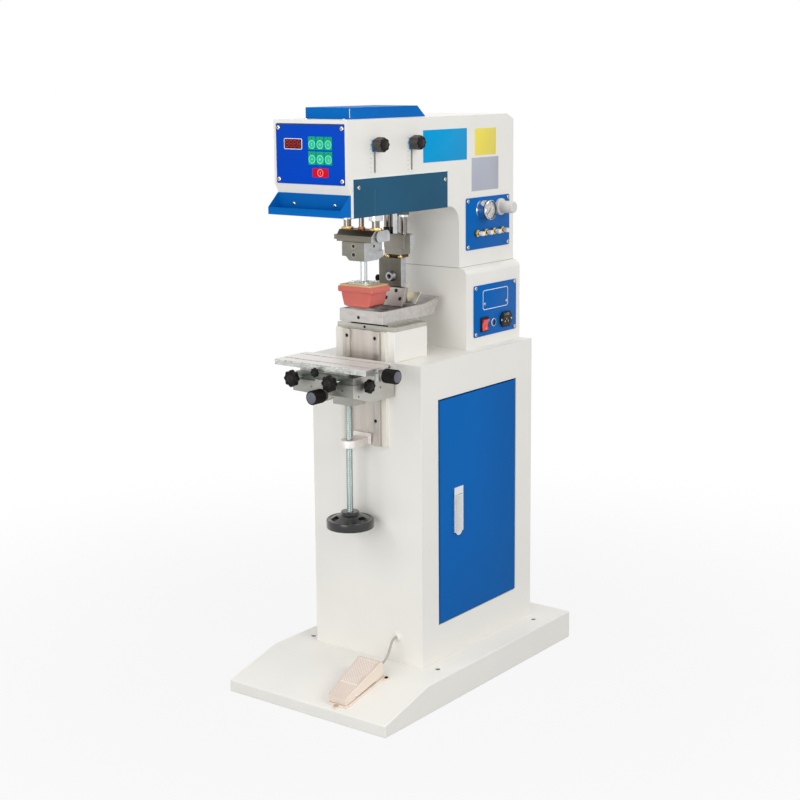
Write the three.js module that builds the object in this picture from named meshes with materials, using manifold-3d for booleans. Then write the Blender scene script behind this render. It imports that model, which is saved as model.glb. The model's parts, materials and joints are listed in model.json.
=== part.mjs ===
// Single-colour pad printing machine on its own cabinet, with a foot pedal.
// Millimetres, +Z up. The origin is the centre of the base's underside, +X is the side
// with the door and the panels, and -Y is the front, where the operator stands.

import * as THREE from 'three';
import { mergeVertices } from 'three/addons/utils/BufferGeometryUtils.js';
import Module from 'manifold-3d';

const wasm = await Module();
wasm.setup();

// Clearances and counts shared by all pieces
const RUNNING_GAP = 0.3;
const CUT_OVERRUN = 5;
const ROUND_SIDES = 24;
const FINE_SIDES = 32;
const ARC_STEPS = 4;

// Base: a folded steel plate with a sloping nose, open underneath
const BASE_WIDTH = 424;
const BASE_DEPTH = 710.8;
const BASE_HEIGHT = 63;
const BASE_NOSE = 25.7;
const RAMP_RUN = 148.3;
const BASE_SHEET = 5;
const ANCHOR_RADIUS = 6;
const ANCHOR_SPACING = 345.4;
const ANCHOR_FRONT_Y = -121;
const ANCHOR_REAR_Y = 258.4;

// Cabinet
const CABINET_WIDTH = 292.8;
const CABINET_FRONT = -140;
const BODY_BACK = 284.5;
const CABINET_TOP = 718.4;
const CABINET_SHEET = 3;
const HOSE_WAY_RADIUS = 25;
const HOSE_WAY_Y = 178;

// Door, its pivot pins and its handle
const DOOR_FRONT = -76.5;
const DOOR_WIDTH = 292.8;
const DOOR_BOTTOM = 146.2;
const DOOR_HEIGHT = 488.5;
const DOOR_THICKNESS = 10;
const DOOR_PROUD = 2;
const DOOR_GAP = 3;
const PIVOT_RADIUS = 2.5;
const PIVOT_INSET_X = 5.9;
const PIVOT_INSET_Y = 4;
const PIVOT_LENGTH = 10;
const PIVOT_EYE = 7.5;
const HANDLE_FRONT = -31.6;
const HANDLE_WIDTH = 33;
const HANDLE_BOTTOM = 338;
const HANDLE_HEIGHT = 100;
const HANDLE_THICKNESS = 6;
const HANDLE_FLOOR = 1.5;
const LEVER_WIDTH = 24.8;
const LEVER_BOTTOM = 330.6;
const LEVER_TOP = 420.3;
const LEVER_THICKNESS = 4.4;
const LEVER_PIN_RADIUS = 1.3;

// Cable outlet near the cabinet's foot, and the foot pedal's cable
const OUTLET_X = 80;
const OUTLET_Z = 121.6;
const GROMMET_RADIUS = 10;
const GROMMET_FLANGE = 5;
const GROMMET_STEM_RADIUS = 7;
const CABLE_RADIUS = 2.65;
const CABLE_SIDES = 4;
const CABLE_STEPS = 12;
const CABLE_POINTS = 16;
const CABLE_OUTLET_PULL = 26;
const CABLE_GLAND_PULL = 38;

// Column block, slide rail and screw bracket
const COLUMN_WIDTH = 157.6;
const COLUMN_DEPTH = 115.2;
const COLUMN_HEIGHT = 64.4;
const RAIL_WIDTH = 122;
const RAIL_BASE = 8;
const RAIL_WAY_INNER = 30.5;
const RAIL_WAY_OUTER = 49;
const RAIL_WAY_HEIGHT = 6;
const RAIL_BOTTOM = 538;
const RAIL_BOLT_RADIUS = 4;
const RAIL_BOLT_DEPTH = 3;
const RAIL_BOLT_X = 37.3;
const RAIL_BOLT_INSET = 14;
const RAIL_BOLT_LOW = 54.4;
const SCREW_RADIUS = 7.25;
const SCREW_Y = -197;
const SCREW_BOTTOM = 372;
const SCREW_TOP = 660;
const BRACKET_HALF = 18.5;
const BRACKET_BOTTOM = 540;
const BRACKET_HEIGHT = 16;
const BRACKET_FOOT_HALF = 24;
const BRACKET_FOOT = 6;
const BRACKET_FOOT_HEIGHT = 24;

// Handwheel
const WHEEL_RADIUS = 50.8;
const WHEEL_BOTTOM = 366;
const WHEEL_RIM_HEIGHT = 19;
const WHEEL_RIM_WALL = 7;
const WHEEL_COLLAR_RADIUS = 19.5;
const WHEEL_COLLAR_TOP = 401;
const WHEEL_COLLAR_HEIGHT = 7;
const WHEEL_HUB_RADIUS = 14;
const WHEEL_WEB = 5;
const WHEEL_DISH = 3;
const WHEEL_WINDOWS = 3;
const WHEEL_WINDOW_LENGTH = 13;
const WHEEL_WINDOW_WIDTH = 20;

// Knee: the bracket that rides on the rail and carries the table
const KNEE_HALF = 80;
const KNEE_FRONT = -280;
const KNEE_BACK = -144;
const KNEE_TOP = 692.5;
const KNEE_NOSE_BOTTOM = 667;
const KNEE_CHEEK_BOTTOM = 648.5;
const KNEE_SLOPE_END = -217.6;
const KNEE_CHEEK = 20;
const KNEE_RIB_HALF = 20;
const KNEE_RIB_HEIGHT = 4;
const THRUST_HALF = 28;
const THRUST_FRONT = -214;
const THRUST_DEPTH = 39;
const THRUST_BOTTOM = 633;

// Cross slide, long slide and work table
const CROSS_HALF = 77;
const CROSS_FRONT = -275;
const CROSS_BACK = -171;
const CROSS_TOP = 707;
const LONG_LEFT = -75;
const LONG_RIGHT = 54;
const LONG_FRONT = -262;
const LONG_BACK = -196;
const LONG_RIB_HALF = 14;
const TABLE_HALF = 121;
const TABLE_FRONT = -289.4;
const TABLE_DEPTH = 101.1;
const TABLE_TOP = 730.4;
const TABLE_THICKNESS = 12;
const SLOT_NECK = 5;
const SLOT_FOOT = 10;
const SLOT_NECK_DEPTH = 3.5;
const SLOT_DEPTH = 7.5;
const TABLE_SLOT_SHARES = [0.27, 0.76];

// Knurled knobs of the two adjusting screws
const KNURL_RADIUS = 14.8;
const KNURL_LENGTH = 32;
const KNURL_RIDGES = 24;
const KNURL_DEPTH = 0.8;
const KNURL_COLLAR_RADIUS = 8.5;
const KNURL_COLLAR = 7;
const KNURL_CAP_RADIUS = 11.5;
const KNURL_CAP_RECESS = 1;
const ADJUST_SHAFT_RADIUS = 4;
const ADJUST_SHAFT_DEPTH = 24;
const CROSS_KNOB_X = 12;
const CROSS_KNOB_Z = 669;
const KNEE_BOSS_RADIUS = 13;
const KNEE_BOSS = 12;
const KNEE_BOSS_ROOT = 8;
const LONG_KNOB_Y = -240;
const LONG_KNOB_BELOW = 4.4;
const LONG_SCREW_DEPTH = 82;
const LONG_SCREW_BORE = 14;
const LONG_END_PLATE = 3;
const LONG_END_HALF = 13;
const LONG_END_DROP = 17.4;
const LONG_END_SETDOWN = 3;

// Star knobs of the clamp screws: radius, reach in front of the carrier, screw and place
const STAR_LOBES = 8;
const STAR_WAVE_SHARE = 0.09;
const STAR_HEAD_SHARE = 0.75;
const STAR_HUB_SHARE = 0.28;
const STAR_NECK_SHARE = 0.45;
const CLAMP_DEPTH = 12;
const CLAMP_SCREW_RADIUS = 3;
const CLAMP_RADIUS = 18;
const CLAMP_REACH = 37;
const CLAMP_LEFT_X = -61;
const CLAMP_CENTRE_X = 39;
const TABLE_CLAMP_RADIUS = 10;
const TABLE_CLAMP_REACH = 41;
const TABLE_CLAMP_SCREW_RADIUS = 2.2;
const TABLE_CLAMP_X = -4;
const SIDE_CLAMP_RADIUS = 15;
const SIDE_CLAMP_REACH = 19;
const SIDE_CLAMP_Y = -243;
const SIDE_CLAMP_BELOW = 4.5;

// Bed plate, adjusting plate, ink tray and etched plate
const BED_HALF = 78.3;
const BED_FRONT = -134.6;
const BED_BACK = -26.1;
const BED_THICKNESS = 9.5;
const BED_SLOT_X = 67;
const BED_SLOT_WIDTH = 10;
const BED_SLOT_FRONT = -88;
const BED_SLOT_LENGTH = 22;
const BED_SLOT_DEPTH = 3;
const ADJUST_LEFT = -27;
const ADJUST_RIGHT = 57;
const ADJUST_THICKNESS = 6.5;
const TRAY_HALF = 57.5;
const TRAY_FRONT = -152;
const TRAY_BACK = 49.6;
const TRAY_TOP = 825.5;
const TRAY_FOOT_BACK = 28;
const TRAY_RISE_START = -5;
const TRAY_REAR_TOP = 836;
const TRAY_RIM = 2.5;
const TRAY_SIDE_RIM = 6;
const PLATE_RECESS = 3;
const PLATE_THICKNESS = 1.6;
const PLATE_BACK = -12;
const WELL_DEPTH = 14;
const WELL_FLOOR_BACK = 29;
const WELL_BACK = 46;

// Silicone pad, its backing and its fixing plate
const PAD_Y = -140.5;
const PAD_FLANGE_HALF_X = 46.3;
const PAD_FLANGE_HALF_Y = 31.3;
const PAD_FLANGE_TOP = 876.2;
const PAD_FLANGE_HEIGHT = 11.5;
const PAD_BODY_HALF_X = 39;
const PAD_BODY_HALF_Y = 28.8;
const PAD_CORNER_Z = 838;
const PAD_END_Z = 830;
const PAD_LOWEST = 827;
const PAD_TAPER_SHARE = 0.88;
const PAD_END_TAPER_SHARE = 0.93;
const PAD_CROWN_STEPS = 10;
const BACKING_HALF_X = 41;
const BACKING_HALF_Y = 28;
const BACKING_HEIGHT = 4;
const FIXING_HALF_X = 27;
const FIXING_HALF_Y = 24;
const FIXING_HEIGHT = 4;
const FIXING_CORNER = 7;
const PAD_ROD_RADIUS = 7.3;

// Pad holder and crossbar
const HOLDER_HALF = 30;
const HOLDER_FRONT = -175;
const HOLDER_BACK = -110;
const HOLDER_BOTTOM = 931;
const HOLDER_NOTCH_X = 10;
const HOLDER_NOTCH_Z = 9;
const HOLDER_CHAMFER = 9;
const HOLDER_TAIL = 20.6;
const HOLDER_TAIL_RISE = 6;
const HOLDER_STEP = 4;
const HOLDER_STEP_Z = 950;
const HOLDER_STEP_Y = -126;
const CROSSBAR_BOTTOM = 970;
const CROSSBAR_TOP = 994;
const CROSSBAR_FRONT = -172;
const CROSSBAR_BACK = -112;
const CROSSBAR_NOSE_HALF = 46;
const CROSSBAR_HALF = 48;
const CROSSBAR_NOSE = 14;
const CROSSBAR_TOP_CHAMFER = 11;
const LUG_REACH = 58;
const LUG_BOTTOM = 973;
const LUG_HEIGHT = 10;
const LUG_DEPTH = 16;
const BAR_END_REACH = 52;
const BAR_END_FRONT = -161.8;
const BAR_END_BACK = -128.3;
const BAR_END_CORNER = 11;
const GUIDE_X = 37.6;
const GUIDE_Y = -146;
const GUIDE_RADIUS = 8.1;
const GUIDE_TOP = 1200;
const GUIDE_NUT_RADIUS = 14.2;
const GUIDE_NUT_HEIGHT = 4.5;
const GUIDE_SEAT = 20;
const PISTON_RADIUS = 5.6;
const PISTON_NUT_RADIUS = 8.8;

// Shuttle carriage with the pad cylinder, and the ways that it slides on
const CARRIAGE_FRONT = -185;
const CARRIAGE_BACK = 5;
const CARRIAGE_BOTTOM = 1046;
const CARRIAGE_HEIGHT = 24;
const WAY_BOTTOM = 1054;
const WAY_HEIGHT = 7;
const WAY_REACH = 9;
const WAY_BACK = 40;
const CARRIAGE_SIDE_GAP = 3;
const BUSH_RADIUS = 14;
const BUSH_BOTTOM = 1014;
const SMALL_BUSH_RADIUS = 11;
const SMALL_BUSH_BOTTOM = 1012;
const BARREL_RADIUS = 24;
const BARREL_TOP = 1206;

// Doctor unit: the block that lifts, its guides, the blade and the spatula
const DOCTOR_Y = -25;
const DOCTOR_LEFT = -26;
const DOCTOR_RIGHT = 27;
const DOCTOR_FRONT = -37;
const DOCTOR_BACK = -5;
const DOCTOR_TOP = 975;
const DOCTOR_HEIGHT = 29;
const DOCTOR_EAR_REACH = 41;
const DOCTOR_EAR_FRONT = -33;
const DOCTOR_EAR_DEPTH = 14;
const DOCTOR_STEP_LEFT = -25;
const DOCTOR_STEP_RIGHT = 20;
const DOCTOR_STEP_BOTTOM = 931.6;
const GUIDE_LEFT_X = -23;
const GUIDE_LEFT_RADIUS = 9.3;
const GUIDE_RIGHT_X = 19;
const GUIDE_RIGHT_RADIUS = 6.95;
const DOCTOR_GUIDE_TOP = 1150;
const DOCTOR_GUIDE_SEAT = 18;
const LOCK_NUT_RADIUS = 10.5;
const LOCK_NUT_HEIGHT = 14;
const LIFT_BAR_HALF = 5.8;
const BLADE_PLATE_LEFT = -36.5;
const BLADE_PLATE_RIGHT = 23.2;
const BLADE_PLATE_FRONT = -42;
const BLADE_PLATE_BACK = -24;
const BLADE_PLATE_TOP = 924.7;
const BLADE_PLATE_BOTTOM = 863.5;
const BLADE_BOSS_RADIUS = 9;
const BLADE_BOSS_REACH = 8;
const BLADE_BOSS_X = -3;
const BLADE_BOSS_Z = 885.4;
const BLADE_SOCKET_RADIUS = 4;
const BLADE_SOCKET_DEPTH = 5;
const LEVEL_SCREW_RADIUS = 3.2;
const LEVEL_SCREW_SEAT = 8;
const LEVEL_SCREW_LEFT = -20;
const LEVEL_SCREW_RIGHT = 14;
const BLADE_LEFT = -46;
const BLADE_RIGHT = 37;
const BLADE_LEAN = 0.4;
const BLADE_HOLDER_TOP = 862;
const BLADE_HOLDER_FRONT = -43.5;
const BLADE_HOLDER_DEPTH = 10;
const BLADE_HOLDER_BOTTOM = 829.5;
const BLADE_EDGE = 824.5;
const BLADE_SHEET = 0.8;
const DOCTOR_KNOB_Z = 878;
const DOCTOR_KNOB_Y = -33;
const DOCTOR_KNOB_RADIUS = 7;
const DOCTOR_KNOB_REACH = 13;
const DOCTOR_KNOB_SCREW_RADIUS = 2;
const SPATULA_LEFT = -46;
const SPATULA_RIGHT = 46;
const SPATULA_TOP_Y = -4;
const SPATULA_TOP = 849;
const SPATULA_FOOT_Y = -24;
const SPATULA_FOOT = 826.5;
const SPATULA_SHEET = 3;
const ARM_LEFT = 2;
const ARM_RIGHT = 16;
const ARM_BOTTOM = 840;
const ARM_TOP = 866;

// Lower housing
const HOUSING_WIDTH = 226.2;
const HOUSING_FRONT = 72.3;
const HOUSING_TOP = 897.1;
const HOUSING_WALL = 5;
const HOUSING_EDGE = 17;

// Head: a hollow C-shaped body
const HEAD_WIDTH = 189.4;
const HEAD_WALL = 5;
const HEAD_FRONT = -306.3;
const HEAD_TOP = 1223.7;
const HEAD_UNDERSIDE = 1033.5;
const CHIN_TOP = 1096;
const CHIN_BOTTOM = 1079;
const CHIN_SETBACK = 10;
const THROAT_RADIUS = 38;
const REAR_CHAMFER_RUN = 25.5;
const REAR_CHAMFER_DROP = 11.7;
const MOUTH_BACK = 25;
const BEZEL_HALF_WIDTH = 89;
const BEZEL_BOTTOM = 1096.4;
const BEZEL_TOP = 1216.6;
const BEZEL_DEPTH = 2;
const HEAD_SLOT_WIDTH = 7;
const HEAD_SLOT_BOTTOM = 1117.5;
const HEAD_SLOT_TOP = 1183;
const FRONT_SLIDER_Y = -219;
const REAR_SLIDER_Y = -96.5;
const SLIDER_Z = 1174;
const SLIDER_RADIUS = 15;
const SLIDER_REACH = 28;
const SLIDER_SCREW_RADIUS = 3;
const SLIDER_WASHER_RADIUS = 11;
const SLIDER_WASHER = 1.6;
const SLIDER_STOP_HALF = 6.5;
const SLIDER_STOP = 6;

// Covers and guard
const TOP_COVER_HALF = 57.4;
const TOP_COVER_FRONT = -251;
const TOP_COVER_BACK = 3.6;
const TOP_COVER_SLOPE = 29;
const TOP_COVER_TOP = 1246.8;
const COVER_SHEET = 2;
const SIDE_COVER_FRONT = -291.4;
const SIDE_COVER_BACK = 27.3;
const SIDE_COVER_BOTTOM = 1031.9;
const SIDE_COVER_TOP = 1109;
const GUARD_HALF = 94.7;
const GUARD_SHEET = 1.7;
const GUARD_BOTTOM = 1035;
const GUARD_TOP = 1077.6;
const GUARD_LIP = 14.7;
const GUARD_REACH = 32;

// Control panel on the front
const PANEL_HALF_WIDTH = 86.8;
const PANEL_BOTTOM = 1098.4;
const PANEL_TOP = 1214.6;
const PANEL_SHEET = 1.5;
const KEY_PROUD = 0.4;
const KEY_WIDTH = 19.2;
const KEY_HEIGHT = 26;
const KEY_PITCH_X = 20.9;
const KEY_PITCH_Z = 29.2;
const KEY_LEFT = -4.8;
const KEY_BOTTOM = 1136;
const KEY_COLUMNS = 3;
const KEY_ROWS = 2;
const START_KEY_LEFT = 5.6;
const START_KEY_WIDTH = 40.3;
const START_KEY_BOTTOM = 1111.5;
const START_KEY_HEIGHT = 17.6;
const DISPLAY_LEFT = -68;
const DISPLAY_WIDTH = 47.6;
const DISPLAY_BOTTOM = 1165;
const DISPLAY_HEIGHT = 21.8;

// Pneumatic panel, gauge, regulator and needle valves
const AIR_PANEL_FRONT = 96.7;
const AIR_PANEL_BACK = 266.8;
const AIR_PANEL_BOTTOM = 932.2;
const AIR_PANEL_TOP = 1045.5;
const GAUGE_Y = 157.5;
const GAUGE_Z = 1018;
const GAUGE_RADIUS = 21.6;
const GAUGE_LENGTH = 25;
const GAUGE_RIM = 2;
const DIAL_RECESS = 5;
const NEEDLE_HUB_RADIUS = 2.4;
const NEEDLE_LENGTH = 14;
const NEEDLE_TAIL = 5;
const NEEDLE_HALF_WIDTH = 0.9;
const NEEDLE_SHEET = 1;
const NEEDLE_PIN_RADIUS = 0.8;
const NEEDLE_PIN_LENGTH = 1.4;
const NEEDLE_REST_TURN = -Math.PI * 0.75;
const REGULATOR_Y = 228;
const REGULATOR_Z = 1019.5;
const REGULATOR_FLANGE_RADIUS = 18.5;
const REGULATOR_FLANGE = 7;
const REGULATOR_RADIUS = 13.5;
const REGULATOR_END = 134.5;
const REGULATOR_STEM_RADIUS = 6;
const REGULATOR_STEM = 12;
const VALVE_FIRST_Y = 134;
const VALVE_PITCH = 32.3;
const VALVE_COUNT = 4;
const VALVE_Z = 967.8;
const VALVE_NUT_RADIUS = 7;
const VALVE_NUT_SIDES = 6;
const VALVE_NUT = 7;
const VALVE_NECK_RADIUS = 4.5;
const VALVE_NECK = 5;
const VALVE_STEM_RADIUS = 1.5;
const VALVE_STEM = 6;
const VALVE_KNOB_RADIUS = 5;
const VALVE_KNOB = 10;

// Electrical panel
const POWER_PANEL_FRONT = 99.4;
const POWER_PANEL_BACK = 267.9;
const POWER_PANEL_BOTTOM = 741.2;
const POWER_PANEL_TOP = 855.1;
const SWITCH_Y = 138.3;
const SWITCH_Z = 767.2;
const SWITCH_HALF_Y = 14.2;
const SWITCH_HALF_Z = 16.1;
const SWITCH_FRAME = 3;
const SWITCH_RIM = 3.6;
const SWITCH_DEPTH = 18;
const ROCKER_PROUD = 3.2;
const ROCKER_TILT = Math.PI * 0.05;
const SOCKET_Y = 174.5;
const SOCKET_Z = 767.4;
const SOCKET_RADIUS = 9;
const SOCKET_BORE = 5.5;
const SOCKET_FRAME = 2.5;
const SOCKET_DEPTH = 14;
const INLET_Y = 224.3;
const INLET_Z = 768.5;
const INLET_HALF_Y = 24.3;
const INLET_HALF_Z = 17;
const INLET_CORNER = 9;
const INLET_FRAME = 4;
const INLET_MOUTH_HALF_Y = 12;
const INLET_MOUTH_HALF_Z = 8;
const INLET_MOUTH_DROP = 3;
const INLET_DEPTH = 20;

// Foot pedal, built flat and then laid on the ramp
const PEDAL_X = 75;
const PEDAL_FRONT = 19;
const PEDAL_LENGTH = 122;
const PEDAL_FRONT_WIDTH = 46;
const PEDAL_REAR_WIDTH = 62;
const PEDAL_FRONT_HEIGHT = 21.5;
const PEDAL_REAR_HEIGHT = 40;
const PEDAL_WALL = 2;
const PEDAL_FLOOR = 4;
const PEDAL_RIM = 3;
const PEDAL_PIN_AT = 33;
const PEDAL_PIN_RADIUS = 2.5;
const PEDAL_PIN_HEIGHT = 10;
const PEDAL_SKIRT_GAP = 1.2;
const PEDAL_TRAVEL = 3.6;
const PEDAL_EAR_RADIUS = 6.5;
const PEDAL_EAR_HOLE = 2.6;
const PEDAL_BODY_HALF = 17;
const PEDAL_BODY_HEIGHT = 14;
const GLAND_RADIUS = 4.5;
const GLAND_LENGTH = 8;
const GLAND_X = 21;
const GLAND_HEIGHT = 26;
const GLAND_BLOCK = 20;

// Places worked out from the sizes above
const RAMP_ANGLE = Math.atan2(BASE_HEIGHT - BASE_NOSE, RAMP_RUN);
const CABINET_SIDE = CABINET_WIDTH / 2;
const HEAD_SIDE = HEAD_WIDTH / 2;
const HOUSING_SIDE = HOUSING_WIDTH / 2;
const CHIN_Y = HEAD_FRONT + CHIN_SETBACK;
const COLUMN_TOP = CABINET_TOP + COLUMN_HEIGHT;
const BED_TOP = COLUMN_TOP + BED_THICKNESS;
const TRAY_BOTTOM = BED_TOP + ADJUST_THICKNESS;
const RAIL_FACE = CABINET_FRONT - RAIL_BASE;
const CROSS_BOTTOM = KNEE_TOP + RUNNING_GAP;
const CLAMP_Z = CROSS_BOTTOM + (CROSS_TOP - CROSS_BOTTOM) / 3;
const LONG_BOTTOM = CROSS_TOP + RUNNING_GAP;
const TABLE_BOTTOM = TABLE_TOP - TABLE_THICKNESS;
const AIR_PANEL_FACE = HEAD_SIDE + PANEL_SHEET;
const POWER_PANEL_FACE = HOUSING_SIDE + PANEL_SHEET;
const DOOR_FACE = CABINET_SIDE + DOOR_PROUD;
const DOOR_BACK = DOOR_FRONT + DOOR_WIDTH;
const PIVOT_X = DOOR_FACE - PIVOT_INSET_X;
const PIVOT_Y = DOOR_BACK - PIVOT_INSET_Y;
const CLAMP_WELL = CLAMP_DEPTH + CUT_OVERRUN / 2;

// Solids

// Turns a closed three.js geometry into a solid.
function solid(geometry) {
  const bare = geometry.index ? geometry.toNonIndexed() : geometry.clone();
  bare.deleteAttribute('normal');
  bare.deleteAttribute('uv');
  const merged = mergeVertices(bare);
  const shape = new wasm.Mesh({
    numProp: merged.attributes.position.itemSize,
    vertProperties: new Float32Array(merged.attributes.position.array),
    triVerts: new Uint32Array(merged.index.array),
  });
  return new wasm.Manifold(shape);
}

function join(first, ...others) {
  return others.reduce((whole, part) => whole.add(part), first);
}

function cut(first, ...others) {
  return others.reduce((whole, part) => whole.subtract(part), first);
}

// A box between two places on each axis.
function block([x0, x1], [y0, y1], [z0, z1]) {
  const box = new THREE.BoxGeometry(x1 - x0, y1 - y0, z1 - z0);
  box.translate((x0 + x1) / 2, (y0 + y1) / 2, (z0 + z1) / 2);
  return solid(box);
}

function both(half) {
  return [-half, half];
}

function span(start, length) {
  return [start, start + length];
}

// Turns what was drawn in its own XY plane and raised along its own +Z, so that it is
// drawn in (y, z) and raised along X, or drawn in (x, z) and raised along Y.
function turned(geometry, axis, [from, to]) {
  const basis = new THREE.Matrix4();
  if (axis === 'y') {
    geometry.translate(0, 0, -to);
    basis.makeBasis(new THREE.Vector3(1, 0, 0), new THREE.Vector3(0, 0, 1), new THREE.Vector3(0, -1, 0));
  } else {
    geometry.translate(0, 0, from);
  }
  if (axis === 'x') {
    basis.makeBasis(new THREE.Vector3(0, 1, 0), new THREE.Vector3(0, 0, 1), new THREE.Vector3(1, 0, 0));
  }
  return geometry.applyMatrix4(basis);
}

// A shape raised along one axis between two places.
function slab(axis, shape, range) {
  const raised = new THREE.ExtrudeGeometry(shape, {
    depth: range[1] - range[0],
    bevelEnabled: false,
    curveSegments: ARC_STEPS,
  });
  return solid(turned(raised, axis, range));
}

// A round bar along one axis; centre gives its two other places.
function rod(axis, radius, range, centre, sides = ROUND_SIDES) {
  const length = range[1] - range[0];
  const bar = new THREE.CylinderGeometry(radius, radius, length, sides);
  bar.rotateX(Math.PI / 2);
  bar.translate(centre[0], centre[1], length / 2);
  return solid(turned(bar, axis, range));
}

function lathe(profile, sides = FINE_SIDES) {
  const points = profile.map(([radius, height]) => new THREE.Vector2(radius, height));
  const ring = new THREE.LatheGeometry(points, sides);
  ring.rotateX(Math.PI / 2);
  return solid(ring);
}

// Outlines

function polygon(points) {
  return new THREE.Shape(points.map(([across, up]) => new THREE.Vector2(across, up)));
}

function rounded([left, right], [low, high], radius) {
  const outline = new THREE.Shape();
  outline.moveTo(left + radius, low);
  outline.absarc(right - radius, low + radius, radius, -Math.PI / 2, 0, false);
  outline.absarc(right - radius, high - radius, radius, 0, Math.PI / 2, false);
  outline.absarc(left + radius, high - radius, radius, Math.PI / 2, Math.PI, false);
  outline.absarc(left + radius, low + radius, radius, Math.PI, Math.PI * 1.5, false);
  return outline;
}

// A round outline whose radius swings in and out, for knobs with lobes or ridges.
function wavy(radius, wave, count, steps) {
  const points = [];
  for (let step = 0; step < steps; step += 1) {
    const turn = (Math.PI * 2 * step) / steps;
    const reach = radius - wave * (1 - Math.cos(turn * count)) / 2;
    points.push([reach * Math.cos(turn), reach * Math.sin(turn)]);
  }
  return polygon(points);
}

// Meshes

const machine = new THREE.Group();

function paint(color, roughness, metalness) {
  return new THREE.MeshStandardMaterial({ color, roughness, metalness });
}

const whitePaint = () => paint(0xf0eee6, 0.45, 0);
const bluePaint = () => paint(0x0a5fb4, 0.4, 0);
const panelBlue = () => paint(0x0050c8, 0.4, 0);
const tealSheet = () => paint(0x28597c, 0.4, 0.1);
const milledSteel = () => paint(0xa9a9a6, 0.4, 0.9);
const darkSteel = () => paint(0x6f6e69, 0.45, 0.9);
const zincSteel = () => paint(0xb4c0c0, 0.35, 0.9);
const chromeSteel = () => paint(0xd4d4d4, 0.15, 1);
const blackPlastic = () => paint(0x1c1a19, 0.5, 0);
const greyCable = () => paint(0xb9b4ae, 0.6, 0);
const whitePlastic = () => paint(0xeceae6, 0.45, 0);
const brassMetal = () => paint(0xc89b45, 0.3, 0.95);

function add(name, shape, material, parent = machine) {
  const source = shape.getMesh();
  const geometry = new THREE.BufferGeometry();
  const positions = new THREE.BufferAttribute(new Float32Array(source.vertProperties), source.numProp);
  geometry.setAttribute('position', positions);
  geometry.setIndex(new THREE.BufferAttribute(new Uint32Array(source.triVerts), 1));
  geometry.computeVertexNormals();
  const mesh = new THREE.Mesh(geometry, material);
  mesh.name = name;
  parent.add(mesh);
  return mesh;
}

// Stands a piece that was built along +Z on a face whose outside is -Y or +X.
function mount(mesh, axis, place) {
  if (axis === 'x') {
    mesh.rotation.y = Math.PI / 2;
  } else {
    mesh.rotation.x = Math.PI / 2;
  }
  mesh.position.set(...place);
}

// Base
function makeBase() {
  const front = -BASE_DEPTH / 2;
  const back = BASE_DEPTH / 2;
  const rampTop = front + RAMP_RUN;
  const profile = [[front, 0], [back, 0], [back, BASE_HEIGHT], [rampTop, BASE_HEIGHT], [front, BASE_NOSE]];
  const outside = slab('x', polygon(profile), both(BASE_WIDTH / 2));
  const hollow = slab('x', polygon([
    [front + BASE_SHEET, -CUT_OVERRUN],
    [back - BASE_SHEET, -CUT_OVERRUN],
    [back - BASE_SHEET, BASE_HEIGHT - BASE_SHEET],
    [rampTop, BASE_HEIGHT - BASE_SHEET],
    [front + BASE_SHEET, BASE_NOSE - BASE_SHEET],
  ]), both(BASE_WIDTH / 2 - BASE_SHEET));
  const holes = [];
  for (const x of both(ANCHOR_SPACING / 2)) {
    for (const y of [ANCHOR_FRONT_Y, ANCHOR_REAR_Y]) {
      holes.push(rod('z', ANCHOR_RADIUS, [BASE_NOSE, BASE_HEIGHT + CUT_OVERRUN], [x, y]));
    }
  }
  add('base_plate', cut(outside, hollow, ...holes), whitePaint());
}

// Cabinet, with the door's two pivot eyes behind the frame
function makeCabinet() {
  const outside = block(both(CABINET_SIDE), [CABINET_FRONT, BODY_BACK], [BASE_HEIGHT, CABINET_TOP]);
  const inside = block(
    both(CABINET_SIDE - CABINET_SHEET),
    [CABINET_FRONT + CABINET_SHEET, BODY_BACK - CABINET_SHEET],
    [BASE_HEIGHT + CABINET_SHEET, CABINET_TOP - CABINET_SHEET],
  );
  const doorway = block(
    [0, CABINET_SIDE + CUT_OVERRUN],
    [DOOR_FRONT - DOOR_GAP, DOOR_BACK + DOOR_GAP],
    [DOOR_BOTTOM - DOOR_GAP, DOOR_BOTTOM + DOOR_HEIGHT + DOOR_GAP],
  );
  const outlet = rod('y', GROMMET_STEM_RADIUS + RUNNING_GAP,
    [CABINET_FRONT - CUT_OVERRUN, CABINET_FRONT + CUT_OVERRUN], [OUTLET_X, OUTLET_Z]);
  const hoseWay = rod('z', HOSE_WAY_RADIUS, [CABINET_TOP - CUT_OVERRUN, CABINET_TOP + CUT_OVERRUN],
    [0, HOSE_WAY_Y]);
  let shell = cut(outside, inside, doorway, outlet, hoseWay);
  for (const range of pivotRanges()) {
    const eye = block([PIVOT_X - PIVOT_EYE, CABINET_SIDE], both(PIVOT_EYE).map((y) => PIVOT_Y + y), range);
    const hole = rod('z', PIVOT_RADIUS + RUNNING_GAP,
      [range[0] - CUT_OVERRUN, range[1] + CUT_OVERRUN], [PIVOT_X, PIVOT_Y], ROUND_SIDES / 2);
    shell = cut(join(shell, eye), hole);
  }
  add('cabinet_shell', shell, whitePaint());
}

// Heights of the pivot eyes below and above the doorway.
function pivotRanges() {
  const low = DOOR_BOTTOM - DOOR_GAP;
  const high = DOOR_BOTTOM + DOOR_HEIGHT + DOOR_GAP;
  return [[low - PIVOT_LENGTH, low], [high, high + PIVOT_LENGTH]];
}

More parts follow.
